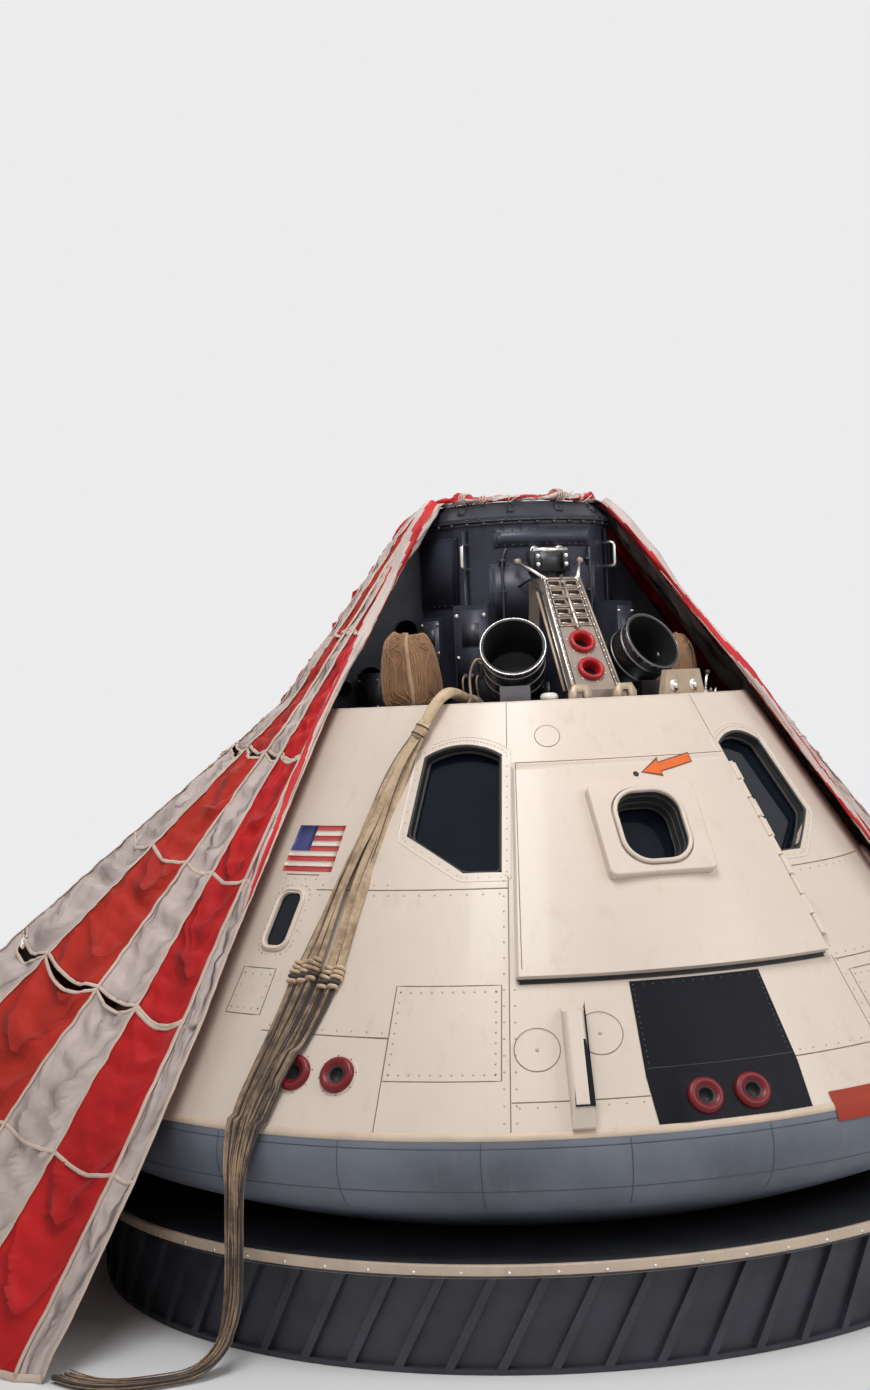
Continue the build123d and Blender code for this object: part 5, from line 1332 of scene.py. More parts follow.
def build_hull_lines():
    """Panel joints with a painted highlight along one edge, access panels, round covers, and the rivets
    beside them.
    """
    seams, rivets, light = Batch(), Batch(), Batch()
    for a0, h0, a1, h1 in SEAM_RUNS:
        cone_line(seams, [(a0, h0), (a1, h1)], 0.0040, 0.0007)
        # a thin line of the lighter paint just above each joint: painted highlight
        cone_line(light, [(a0 + 0.10, h0 + 0.0030), (a1 + 0.10, h1 + 0.0030)], 0.0022, 0.0011)
    margin = 0.020
    margin_az = math.degrees(margin / (BASE_R - 0.3 * TAN))
    for a0, a1, h0, h1 in ACCESS_PANELS:
        cone_line(seams, box_path(a0, a1, h0, h1), 0.0042, 0.0008)
        inner = box_path(a0 + margin_az, a1 - margin_az, h0 + margin, h1 - margin)
        for start, end in zip(inner, inner[1:]):
            rivet_row(rivets, *start, *end, spacing=0.040)
    for run in RIVET_RUNS:
        rivet_row(rivets, *run, spacing=0.060)
    for side in (-1, 1):
        path = softened(rounded_rect(0.172, 0.288, 0.05, 3), 0.01, 1)
        flush_rivets(rivets, path, 0.034, 0.0036, 0.0020, side * SIDE_WINDOW_AZ, SIDE_WINDOW_H)
        # big window: a border line in the lighter paint as painted highlight, and screws
        path = window_path(side)
        pts = wrap(dense(softened(grown(path, 0.034), 0.02), 0.02, True), side * WINDOW_AZ, WINDOW_H)
        line_on(light, pts, [cone_axes_at(p)[2] for p in pts], 0.0050, 0.0016, close=True)
        path = softened(grown(path, 0.018), 0.02, 2)
        flush_rivets(rivets, path, 0.042, 0.0032, 0.0014, side * WINDOW_AZ, WINDOW_H)
    for a, h, r in ROUND_COVERS:
        circle = [(r * math.cos(2 * math.pi * k / 48), r * math.sin(2 * math.pi * k / 48))
                  for k in range(48)]
        pts = wrap(circle, a, h)
        normals = [cone_axes_at(p)[2] for p in pts]
        line_on(seams, pts, normals, 0.0034, 0.0007, close=True)
        # the cover's inner rim in the lighter paint: painted highlight
        line_on(light, wrap([(x * 0.95, y * 0.95) for x, y in circle], a, h), normals, 0.0024,
                0.0010, close=True)
        if r > 0.05:
            side, up, out = cone_axes(a)
            dome(rivets, on_cone(a, h), out, side, 0.007, 0.003, 0, 10)
    seams.make("hull_seams", [M["seam"]], slot="hull")
    rivets.make("hull_rivets", [M["rivet"]], slot="hull")
    light.make("hull_edge_highlights", [M["hull_light"]], slot="hull")


build_hull_lines()


def build_nozzles():
    """Fat maroon rims with throats in near-black painted shade, three pairs low on the cone."""
    batch = Batch()
    rim = [(0.0665, -0.008), (0.0668, 0.004), (0.064, 0.0125), (0.057, 0.0185), (0.049, 0.0190),
           (0.041, 0.0155),
           (0.0350, 0.0100), (0.0322, 0.0082)]
    throat = [(0.0324, 0.0083), (0.0262, 0.0076), (0.0255, 0.0060), (0.0250, -0.0180), (0.0, -0.0190)]
    for az, h in NOZZLE_PAIRS:
        side, up, out = cone_axes(az)
        for x in (-NOZZLE_OFF, NOZZLE_OFF):
            c = on_cone(az, h) + side * x
            lathe(batch, c, out, rim, 48, 0)
            lathe(batch, c, out, throat, 40, 1)
            for k in range(8):
                p = on_ellipse(c, side, up, 0.0735, 0.0735, 2 * math.pi * k / 8 + 0.2)
                dome(batch, p - out * 0.001, out, side, 0.0034, 0.0022, 2, 7)
    batch.make("nozzle_rims", [M["maroon"], M["dark_hole"], M["red_rim"]], slot="nozzle")


build_nozzles()


def on_nozzle_plate(az, h, x, y):
    """A point just over the black panel, flat over the nozzle plate and wrapped on the cone beyond it."""
    flat = x * x / (2 * (BASE_R - h * TAN)) * COS
    keep = 1 - smooth_step((abs(x) - 0.168) / 0.05)
    keep *= 1 - smooth_step((abs(y) - 0.080) / 0.03)
    return near_cone(az, h, x, y, 0.0015 + flat * keep)


def pierced_plate(batch, place, x0, x1, y0, y1, cx, r):
    """A plate with a round hole at (cx, 0), its corners kept, each point put in its place."""
    rings = 5
    angles = [2 * math.pi * k / 56 for k in range(56)]
    angles += [math.atan2(y, x - cx) % (2 * math.pi) for x in (x0, x1) for y in (y0, y1)]
    angles.sort()
    n = len(angles)
    verts = []
    for j in range(rings + 1):
        for a in angles:
            c, s = math.cos(a), math.sin(a)
            reach = min((x1 - cx) / c if c > 1e-6 else 9, (x0 - cx) / c if c < -1e-6 else 9,
                        y1 / s if s > 1e-6 else 9, y0 / s if s < -1e-6 else 9)
            q = r + (reach - r) * (j / rings)
            verts.append(place(cx + c * q, s * q))
    faces = []
    for j in range(rings):
        for k in range(n):
            a, b = j * n + k, j * n + (k + 1) % n
            faces.append((a, a + n, b + n, b))
    batch.add(verts, faces, 0)


def build_black_panel():
    """The black panel round the front nozzles, with its joint and screws."""
    batch = Batch()
    az, h = NOZZLE_PAIRS[1]
    radius = BASE_R - h * TAN
    left, right = math.radians(BLACK_LEFT - az) * radius, math.radians(BLACK_RIGHT - az) * radius
    plate_top = 0.085
    for x0, x1, cx in ((left, 0.0, -NOZZLE_OFF), (0.0, right, NOZZLE_OFF)):
        pierced_plate(batch, lambda x, y: on_nozzle_plate(az, h, x, y), x0, x1, (0.002 - h) / COS,
                      plate_top, cx,
                      0.060)
    # the upper part starts as wide as the plates and narrows a little, as the cone does
    n, rows = 30, 16
    low_h = h + plate_top * COS
    low_left, low_right = (az + math.degrees(x / (BASE_R - low_h * TAN)) for x in (left, right))
    verts = []
    for j in range(rows + 1):
        f = j / rows
        a0, a1 = low_left * (1 - f) + BLACK_LEFT * f, low_right * (1 - f) + BLACK_RIGHT * f
        verts += [on_cone(a0 + (a1 - a0) * i / n, low_h + (BLACK_TOP - low_h) * f, 0.0015)
                  for i in range(n + 1)]
    batch.add(verts, grid_faces(n + 1, rows + 1), 0)
    cone_line(batch, [(BLACK_LEFT, 0.172), (BLACK_RIGHT, 0.172)], 0.0035, 0.0022, 1, 0.001)
    screws_left, screws_right = BLACK_LEFT + 0.4, BLACK_RIGHT - 0.4
    for a0, h0, a1, h1 in ((screws_left, 0.435, screws_right, 0.435), (screws_left, 0.19, screws_left, 0.42),
                           (screws_right, 0.19, screws_right, 0.42)):
        for k in range(14):
            a, hh = a0 + (a1 - a0) * k / 13, h0 + (h1 - h0) * k / 13
            side, up, out = cone_axes(a)
            dome(batch, on_cone(a, hh, 0.0015), out, side, 0.0034, 0.0016, 1, 6)
    batch.make("black_panel", [M["black"], M["dark_metal"]], slot="hull")


def under_edge(az, s, lift):
    """A point off the hull at arc s from the cone's lower edge, below it where s is negative."""
    a = ANGLE + s / CORNER_R
    return around(az, MAX_R - CORNER_R + (CORNER_R + lift) * math.cos(a),
                  CORNER_Z + (CORNER_R + lift) * math.sin(a))


def build_rim():
    """The rim strip below the cone, and the red patch that runs over it."""
    rim = Batch()
    rows = [(0.004, 0.0), (0.0, 0.0030), (-0.012, 0.0036), (-0.024, 0.0030), (-0.0265, 0.0)]
    n = 240
    verts = [under_edge(360 * i / n, s, lift) for s, lift in rows for i in range(n)]
    rim.add(verts, grid_faces(n, len(rows), True))
    rim.make("rim_strip", [M["rim"]], slot="hull")
    patch = Batch()
    left, right, m = 12.2, 18.6, 8
    verts = []
    for k in range(10):
        s = 0.043 - 0.108 * k / 9
        for i in range(m + 1):
            a = left + (right - left) * i / m
            verts.append(on_cone(a, s * COS, 0.0022) if s > 0 else under_edge(a, s, 0.0048))
    patch.add(verts, grid_faces(m + 1, 10))
    patch.make("red_patch", [M["red_patch"]], slot="hull")


def build_fairing_painted_shade():
    """The fairing's side in black as painted shade, with its screws, and a black strip on its face as
    painted shade.
    """
    dark = Batch()
    side, up, out = cone_axes(FAIRING_AZ)
    # the side in black: painted shade
    rows = ((0.055, 0.058), (0.16, 0.0595), (0.27, 0.0595), (0.372, 0.058))
    dark.add([near_cone(FAIRING_AZ, h, 0.0400, 0, lift) for h, top in rows for lift in (0.001, top)],
             grid_faces(2, 4))
    for k in range(5):
        p = near_cone(FAIRING_AZ, 0.09 + 0.065 * k, 0.0403, 0, 0.03)
        dome(dark, p, side, out, 0.005, 0.003, 1, 8)
    # a black strip on the face's lower part: painted shade
    rows = ((0.052, -0.026, 0.041), (0.12, -0.022, 0.041), (0.19, -0.014, 0.040), (0.255, 0.006, 0.030))
    verts = [near_cone(FAIRING_AZ, h, x, 0, 0.0608) for h, a, b in rows for x in (a, (a + b) / 2, b)]
    dark.add(verts, grid_faces(3, 4))
    dark.make("fairing_painted_shade", [M["black"], M["steel"]], slot="hull")


build_black_panel()
build_rim()
build_fairing_painted_shade()


def build_striped_mark():
    """Plain stripes with a plain corner, where the flag is."""
    mark = Batch()
    left, corner, right, low, high = -62.9, -58.4, -52.3, 0.838, 1.003
    stripes = 9
    for k in range(stripes):
        lo, hi = low + (high - low) * k / stripes, low + (high - low) * (k + 1) / stripes
        cone_patch(mark, [(left, lo), (right, lo), (right, hi), (left, hi)], 0.0012, k % 2)
    lo = low + (high - low) * 4 / stripes
    cone_patch(mark, [(left, lo), (corner, lo), (corner, high), (left, high)], 0.0018, 2)
    mark.make("striped_mark", [M["flag_red"], M["hull_light"], M["flag_blue"]], slot="hull")


def build_arrow():
    """A plain arrow that points at the hatch's keyhole, and the keyhole's ring."""
    arrow = Batch()
    tip, head, tail, mid, half, neck = 1.9, 5.4, 12.6, 1.143, 0.027, 0.0145
    lift, tilt = 0.0356, 0.0040
    for grow, dz, mat in ((0.0045, 0.0, 1), (0.0, 0.0007, 0)):
        g = math.degrees(grow / 1.15)
        rows = [(tip - 2 * g, 0.0)]
        rows += [(tip - 2 * g + (head + 3 * g - tip) * k / 6, (half + 2.2 * grow) * k / 6)
                 for k in range(1, 7)]
        rows += [(head + g, neck + grow)]
        rows += [(head + g + (tail - head) * k / 12, neck + grow) for k in range(1, 13)]
        verts = [on_cone(a, mid + q * y + tilt * (a - tip), lift + dz) for a, y in rows for q in (-1, 0, 1)]
        arrow.add(verts, grid_faces(3, len(rows)), mat)
    hole, out = on_cone(*KEY_HOLE, lift - 0.001), cone_axes(KEY_HOLE[0])[2]
    lathe(arrow, hole, out, [(0.0150, 0.0), (0.0144, 0.0018), (0.0124, 0.0018), (0.0120, 0.0004)], 28, 2)
    # the keyhole is a near-black disc: painted shade of the hole
    lathe(arrow, hole, out, [(0.0121, 0.0010), (0.0, 0.0010)], 24, 3)
    arrow.make("hatch_marks", [M["orange"], M["orange_edge"], M["hull_light"], M["dark_hole"]], HATCH,
               smooth=False, slot="hatch")


def build_hatch_window_trim():
    """The hatch window's soft moulding, its gaskets and the lining between them."""
    ring = Batch()
    side, up, out = cone_axes(0.0)
    c = on_cone(0.0, HATCH_WINDOW_H)

    def outline(w, h, r, lift):
        return [c + side * x + up * y + out * lift for x, y in rounded_rect(w, h, r, 8)]

    for w, h, r, lift, thick, mat in ((0.267, 0.301, 0.099, 0.0655, 0.0090, 0),
                                      (0.250, 0.284, 0.090, 0.030, 0.0060, 1),
                                      (0.236, 0.270, 0.084, -0.005, 0.0045, 1),
                                      (0.222, 0.256, 0.078, -0.035, 0.0045, 1)):
        closed_tube(ring, outline(w, h, r, lift), thick, 10, mat)
    rows = ((0.2485, 0.2825, 0.0893, 0.0600), (0.2470, 0.2810, 0.0885, 0.0300),
            (0.2350, 0.2690, 0.0830, 0.0),
            (0.2210, 0.2550, 0.0770, -0.0360))
    lining = [p for row in rows for p in outline(*row)]
    ring.add(lining, grid_faces(len(lining) // 4, 4, True), 1)
    ring.make("hatch_window_trim", [M["hull"], M["rubber"]], HATCH, slot="hatch")


def build_hatch_edges():
    """The joints on the hatch's face, its lower edge in black as painted shade, and the seal round it on the
    hull; a thick dark bead along its left and lower edges and a dark band below it are painted shadow of the
    gap under the hatch.
    """
    edge = Batch()
    for run in ([(-21.3, 1.199), (21.3, 1.199)], [(-21.3, 0.490), (-21.3, 1.199)]):
        cone_line(edge, run, 0.0034, 0.0008, 0, 0.035)
    left, low, high, steps = -21.6, 0.478, 1.203, range(41)
    # the lower edge's side wall in black: painted shade
    lower = [on_cone(left - 2 * left * k / 40, 0.4768, lift) for lift in (0.001, 0.0318) for k in steps]
    edge.add(lower, grid_faces(41, 2), 1)
    edge.make("hatch_seams_and_edge_shade", [M["seam"], M["black"]], HATCH, slot="hatch")
    seal = Batch()
    pts = dense([(left, low), (-left, low), (-left, high), (left, high)], 0.4, True)
    closed_tube(seal, [on_cone(a, h, 0.0020) for a, h in pts], 0.0030, 8)
    # a thick dark bead down the left edge and along the bottom: seal, and painted shadow of the undercut
    path = [on_cone(-21.9, 0.80, 0.004), on_cone(-21.9, 0.472, 0.004)]
    path += [on_cone(-21.9 + 43.8 * k / 40, 0.4695, 0.0045) for k in steps]
    tube(seal, path, 0.0062, 8, 0, True, 0.7)
    # a dark band flush on the hull below the hatch: painted shadow of the gap
    gap = [on_cone(-21.7 + 43.4 * k / 40, h, 0.0014) for h in (0.4545, 0.4740) for k in steps]
    seal.add(gap, grid_faces(41, 2), 0)
    seal.make("hatch_seal_and_gap_shadow", [M["rubber"]], slot="hull")


M["flag_red"] = painted("mark_red", (0.50, 0.045, 0.045), rough=0.42, vary=0.08, scale=9)
M["flag_blue"] = painted("mark_blue", (0.05, 0.06, 0.19), rough=0.42, vary=0.10, scale=9)
build_striped_mark()
build_arrow()
build_hatch_window_trim()
build_hatch_edges()


def build_window_seals():
    """Dark seals stepping down into each big window, its inner frame's pale rim, and the side windows'."""
    batch = Batch()
    for side in (-1, 1):
        place, small = (side * WINDOW_AZ, WINDOW_H), (side * SIDE_WINDOW_AZ, SIDE_WINDOW_H)
        path = window_path(side)
        for inset, depth, thick in ((0.004, 0.006, 0.0050), (0.009, 0.040, 0.0065)):
            ring = dense(softened(grown(path, -inset), 0.025), 0.03, True)
            closed_tube(batch, wrap(ring, *place, -depth), thick, 8, 0)
        outline = dense(softened(grown(path, -0.0015), 0.010), 0.03, True)
        lining = [p for depth in (0.0015, 0.030, 0.054) for p in wrap(outline, *place, -depth)]
        batch.add(lining, grid_faces(len(outline), 3, True), 0)
        s, u, o = cone_axes(side * BEZEL_AZ)
        c = on_cone(side * BEZEL_AZ, BEZEL_H, -0.116)
        for w, h, r, d, thick, mat in ((0.215, 0.345, 0.082, 0.0, 0.0085, 1),
                                       (0.186, 0.306, 0.072, 0.008, 0.0070, 2),
                                       (0.160, 0.276, 0.060, 0.012, 0.0050, 1)):
            closed_tube(batch, [c + s * x + u * y + o * d for x, y in rounded_rect(w, h, r, 7)],
                        thick, 8, mat)
        path = softened(rounded_rect(0.110, 0.226, 0.036, 4), 0.006, 1)
        closed_tube(batch, wrap(path, *small, -0.010), 0.0042, 8, 0)
        path = softened(rounded_rect(0.128, 0.244, 0.044, 4), 0.006, 1)
        closed_tube(batch, wrap(path, *small, 0.0085), 0.0055, 10, 3)
    batch.make("window_seals", [M["rubber"], M["panel"], M["tan_metal"], M["hull"]], slot="window_frame")
    for name, side in (("left", -1), ("right", 1)):
        panes = Batch()
        for depth in (0.003, 0.006):
            outline = wrap(rounded_rect(0.1030, 0.2190, 0.036, 6), side * SIDE_WINDOW_AZ,
                           SIDE_WINDOW_H, -depth)
            centre = near_cone(side * SIDE_WINDOW_AZ, SIDE_WINDOW_H, 0, 0, -depth)
            n = len(outline)
            panes.add(outline + [centre], [(k, (k + 1) % n, n) for k in range(n)])
        panes.make("side_outer_pane_" + name, [M["glass"]], slot="window_glass")


build_window_seals()


# Recovery bay
def radial_axes(az):
    """Unit vectors beside the axis: sideways, outwards and up."""
    a = math.radians(az)
    return Vector((math.cos(a), math.sin(a), 0)), Vector((math.sin(a), -math.cos(a), 0)), UP


def screw(batch, p, axis, r, mat=0, washer=True):
    """A hexagonal bolt head on a washer."""
    axis = axis.normalized()
    if washer:
        lathe(batch, p, axis, [(r * 1.7, -0.0005), (r * 1.7, 0.0015), (r * 1.5, 0.0020), (0.0, 0.0020)], 14,
              mat)
    lathe(batch, p + axis * 0.0015, axis, [(r, 0.0), (r, r * 0.9), (r * 0.8, r * 1.1), (0.0, r * 1.1)], 6,
          mat)


def build_ramp():
    """Rails, slots, rod, arms, nozzle rings, side walls and lugs of the thruster ramp."""
    top = Vector((0, -(TUNNEL_R + 0.140), DECK_Z + 0.525))
    foot = Vector((0, -(DECK_R - 0.070), DECK_Z + 0.062))
    down = (foot - top).normalized()
    side = Vector((1, 0, 0))
    out = side.cross(down) * -1
    if out.y > 0:
        out = -out
    length = (foot - top).length
    batch = Batch()

    def at(x, f, z=0.0):
        """The point x to the side at the share f of the ramp's length, z over its face."""
        return top + side * x + down * (length * f) + out * z

    def half(f):
        """Half the ramp's width at the share f of its length."""
        return 0.084 + 0.023 * f * (top.z - foot.z) / 0.525

    # side rails, edge flanges and their bolts; the left rail is in bright steel and the right one in ramp
    # paint, a painted highlight on the left side
    for s in (-1, 1):
        path = [at(s * (half(f) - 0.005), f, 0.004) for f in (0.01, 0.25, 0.5, 0.75, 0.985)]
        tube(batch, path, 0.0050, 8, 1 if s < 0 else 0)
        path = [at(s * (half(f) - 0.020), f, 0.0012) for f in (0.01, 0.5, 0.985)]
        tube(batch, path, 0.0020, 6, 2)
        for k in range(17):
            f = 0.03 + 0.058 * k
            dome(batch, at(s * (half(f) - 0.0135), f, 0.0), out, side, 0.0048, 0.0034, 1, 8)
    # lips round the slots, near-black floors in them as painted shade, and slats between
    for k in range(5):
        f = 0.06 + 0.085 * k
        for s in (-1, 1):
            path = [at(s * 0.037 + x, f, 0.0010) + down * y
                    for x, y in rounded_rect(0.0525, 0.0285, 0.007, 4)]
            closed_tube(batch, path, 0.0028, 6, 0)
            box_at(batch, at(s * 0.037, f, -0.0275), side, down, out, (0.050, 0.026, 0.003), 3)
            box_at(batch, at(s * 0.037, f, -0.010), side, down, out, (0.048, 0.0045, 0.004), 1)
    for k in range(6):
        f = 0.018 + 0.085 * k
        box_at(batch, at(0, f, 0.0022), side, down, out, (0.140, 0.0048, 0.0050), 0)
        for s in (-1, 1):
            dome(batch, at(s * 0.062, f, 0.0045), out, side, 0.0036, 0.0024, 1, 7)
    # rod down the middle with its clips
    tube(batch, [at(0, 0.0, 0.012), at(0, 0.46, 0.012), at(0, 0.475, 0.004)], 0.0052, 10, 1)
    for f in (0.06, 0.20, 0.34, 0.45):
        box_at(batch, at(0, f, 0.008), side, down, out, (0.020, 0.012, 0.018), 0)
    # arms from the upper corners to the tunnel
    for s in (-1, 1):
        a = at(s * 0.074, 0.01, 0.004)
        b = Vector((s * 0.140, -(TUNNEL_R + 0.012), DECK_Z + 0.600))
        tube(batch, [a, a.lerp(b, 0.5) + Vector((0, 0, 0.004)), b], 0.0075, 10, 1)
        foot_plate = [(0.0, -0.018), (0.014, -0.018), (0.014, 0.006), (0.0, 0.006)]
        lathe(batch, b, Vector((s * 0.3, 1, 0)), foot_plate, 14, 0)
        screw(batch, a, out, 0.0065, 1)
        c = Vector((s * 0.100, -(TUNNEL_R + 0.06), DECK_Z + 0.525))
        end = Vector((s * 0.125, -(TUNNEL_R - 0.01), DECK_Z + 0.50))
        tube(batch, [at(s * 0.080, 0.16, -0.01), c, end], 0.0050, 8, 2)
    # thick red nozzle rings with throats in near-black painted shade
    profile = [(0.0530, -0.004), (0.0545, 0.006), (0.0530, 0.0155), (0.0470, 0.0215), (0.0400, 0.0205),
               (0.0345, 0.0135), (0.0325, 0.004), (0.0300, -0.010), (0.0285, -0.026)]
    for f in (0.59, 0.83):
        p = at(0, f)
        lathe(batch, p, out, profile, 48, 4)
        lathe(batch, p, out, [(0.0288, -0.024), (0.0250, -0.042), (0.0, -0.044)], 32, 3)
        for k in range(6):
            bolt = on_ellipse(p, side, down, 0.0600, 0.0600, 2 * math.pi * k / 6 + 0.3)
            dome(batch, bolt, out, side, 0.0042, 0.003, 1, 7)
    # recessed side walls in the dark tunnel paint, as painted shade under the ramp's edges, with a strut
    # along each
    for s in (-1, 1):
        for k in range(12):
            f = 0.02 + 0.08 * k
            a = at(s * (half(f) + 0.0012), f, -0.030)
            b = at(s * (half(f + 0.08) + 0.0012), min(f + 0.08, 0.985), -0.030)
            low_b, low_a = (Vector((s * 0.1082, p.y, DECK_Z + 0.012)) for p in (b, a))
            batch.add([a, b, low_b, low_a], [(0, 1, 2, 3)], 5)
        path = [at(s * (half(f) + 0.006), f, -0.058) for f in (0.05, 0.35, 0.65, 0.93)]
        tube(batch, path, 0.0065, 8, 6)
        path = [at(s * (half(f) + 0.003), f, -0.0265) for f in (0.02, 0.5, 0.98)]
        tube(batch, path, 0.0035, 6, 1)
    # clevis lugs in front of the foot
    outline = [(-0.048, 0.0), (-0.015, 0.0), (-0.012, 0.058), (0.012, 0.058), (0.015, 0.0), (0.048, 0.0),
               (0.048, 0.052), (0.028, 0.084), (-0.028, 0.084), (-0.048, 0.052)]
    n = len(outline)
    faces = [(0, 1, 2, 8, 9), (2, 3, 7, 8), (3, 4, 5, 6, 7)]
    faces += [tuple(n + q for q in reversed(f)) for f in faces]
    faces += [(k, n + k, n + (k + 1) % n, (k + 1) % n) for k in range(n)]
    for s in (-LUG_OFF, LUG_OFF):
        front = [Vector((s + x, -0.9550, DECK_Z + z)) for x, z in outline]
        back = [p + Vector((0, 0.012, 0)) for p in front]
        batch.add(front + back, faces, 6)
    # pins through the lugs
    for s in (-LUG_OFF, LUG_OFF):
        c = Vector((s, -(DECK_R - 0.070) - 0.026, DECK_Z + 0.025))
        for x0, x1, r in ((-0.020, 0.020, 0.0098), (-0.024, -0.019, 0.0135), (0.019, 0.024, 0.0135)):
            tube(batch, [c + side * x0, c + side * x1], r, 14, 1)
    batch.make("ramp_fittings", [M["ramp"], M["steel"], M["dark_metal"], M["dark_hole"], M["red_rim"],
                                 M["tunnel"],
                                 M["tan_metal"]], slot="ramp")


build_ramp()


def build_mortars():
    """Bore, lips, ribs, base and rim screws of each mortar, its saddle's feet, cartridge and cable."""
    batch = Batch()
    tilt = math.radians(30)
    for sgn in (-1, 1):
        az = sgn * MORTAR_AZ
        side, rad, up = radial_axes(az)
        axis = rad * math.cos(tilt) + up * math.sin(tilt)
        mouth = around(az, DECK_R - 0.130, DECK_Z + 0.246)
        # the second ring is the lip: steel on the left mortar, and the darker mortar metal on the right one
        # as painted shade
        parts = [([(0.1180, -0.010), (0.1182, 0.0006), (0.1215, 0.0014), (0.1272, 0.0014)], 72, 1),
                 ([(0.1270, 0.0010), (0.1276, 0.0026), (0.1302, 0.0022), (0.1308, -0.004)], 72,
                  0 if sgn < 0 else 2),
                 ([(0.1308, -0.003), (0.1310, -0.016), (0.1290, -0.0190)], 72, 2),
                 ([(0.1176, -0.003), (0.1172, -0.120), (0.1172, -0.232), (0.110, -0.238), (0.0, -0.2395)],
                  64, 1)]
        parts += [([(0.1235, h - 0.009), (0.1268, h - 0.008), (0.1268, h + 0.008), (0.1235, h + 0.009)], 64,
                   2)
                  for h in (-0.050, -0.120, -0.190)]
        parts += [([(0.0, -0.252), (0.060, -0.252), (0.070, -0.2505), (0.118, -0.2505), (0.1245, -0.244)],
                   48, 2)]
        for profile, sides, mat in parts:
            lathe(batch, mouth, axis, profile, sides, mat)
        # screws round the rim
        across = axis.cross(side)
        for k in range(24):
            a = 2 * math.pi * k / 24
            out = side * math.cos(a) + across * math.sin(a)
            dome(batch, mouth + out * 0.1305 - axis * 0.009, out, axis, 0.0038, 0.0028, 2, 7)
        # saddle feet and bolts
        for x in (-0.072, 0.072):
            base = around(az, DECK_R - 0.240, DECK_Z) + side * x
            box_at(batch, base + up * 0.005, side, rad, up, (0.034, 0.150, 0.008), 2)
            for y in (-0.055, 0.0, 0.055):
                screw(batch, base + rad * y + up * 0.009, up, 0.0065, 0)
        # cartridge and cable beside each tube
        p = mouth - axis * 0.165 + side * (sgn * 0.128)
        lathe(batch, p, axis, [(0.0, -0.05), (0.018, -0.05), (0.020, -0.045), (0.020, 0.040), (0.014, 0.050),
                               (0.014, 0.066), (0.0, 0.066)], 20, 2)
        path = [p + axis * 0.066, p + axis * 0.10 + side * (sgn * 0.02),
                p + axis * 0.07 + side * (sgn * 0.055) - up * 0.06,
                around(sgn * 33.0, DECK_R - 0.150, DECK_Z + 0.020),
                around(sgn * 36.0, DECK_R - 0.090, DECK_Z + 0.008)]
        tube(batch, spline_points("cable", path), 0.0055, 8, 3)
    batch.make("mortar_fittings", [M["steel"], M["mortar_in"], M["mortar"], M["cable"]], slot="mortar")


M["cable"] = painted("cable_sleeve", (0.36, 0.27, 0.19), rough=0.6, vary=0.2, scale=40)
M["white_cap"] = painted("white_cap", (0.80, 0.75, 0.66), rough=0.32, vary=0.05, scale=12, coat=0.3)
M["dark_box"] = painted("dark_box", (0.028, 0.028, 0.034), rough=0.4, vary=0.3, scale=12)
build_mortars()


def tunnel_wall(az, z, lift=0.0):
    """The point z over the deck on the tunnel's wall, lifted off it."""
    return around(az, TUNNEL_R + lift, DECK_Z + z)


def tunnel_plate(batch, a0, a1, z0, z1, lift, mat, n=None):
    """A plate on the tunnel's wall between two azimuths and two heights, in n steps."""
    n = n or max(3, int(abs(a1 - a0) / 3))
    verts = []
    for z, off in ((z0, 0.0005), (z0, lift), (z1, lift), (z1, 0.0005)):
        verts += [tunnel_wall(a0 + (a1 - a0) * i / n, z, off) for i in range(n + 1)]
    faces = grid_faces(n + 1, 4)
    faces += [tuple(k * (n + 1) for k in (3, 2, 1, 0)), tuple(k * (n + 1) + n for k in range(4))]
    batch.add(verts, faces, mat)


def add_tunnel_doors(batch):
    """Door panels round the tunnel, with screws along their upper and lower edges."""
    for a0, a1, z0, z1 in ((-34, -6, 0.36, 0.60), (6, 34, 0.36, 0.60), (-30, 30, 0.665, 0.745),
                           (-88, -52, 0.43, 0.72), (52, 88, 0.43, 0.72), (100, 140, 0.12, 0.70),
                           (-140, -100, 0.12, 0.70), (150, 210, 0.40, 0.72)):
        tunnel_plate(batch, a0, a1, z0, z1, 0.0050, 0)
        tunnel_plate(batch, a0 + 2.2, a1 - 2.2, z0 + 0.016, z1 - 0.016, 0.0072, 1)
        n = max(2, int((a1 - a0) / 5))
        for k in range(n + 1):
            a = a0 + 1.1 + (a1 - a0 - 2.2) * k / n
            s, o, u = radial_axes(a)
            for z in (z0 + 0.008, z1 - 0.008):
                dome(batch, tunnel_wall(a, z, 0.0050), o, s, 0.0036, 0.0024, 2, 7)


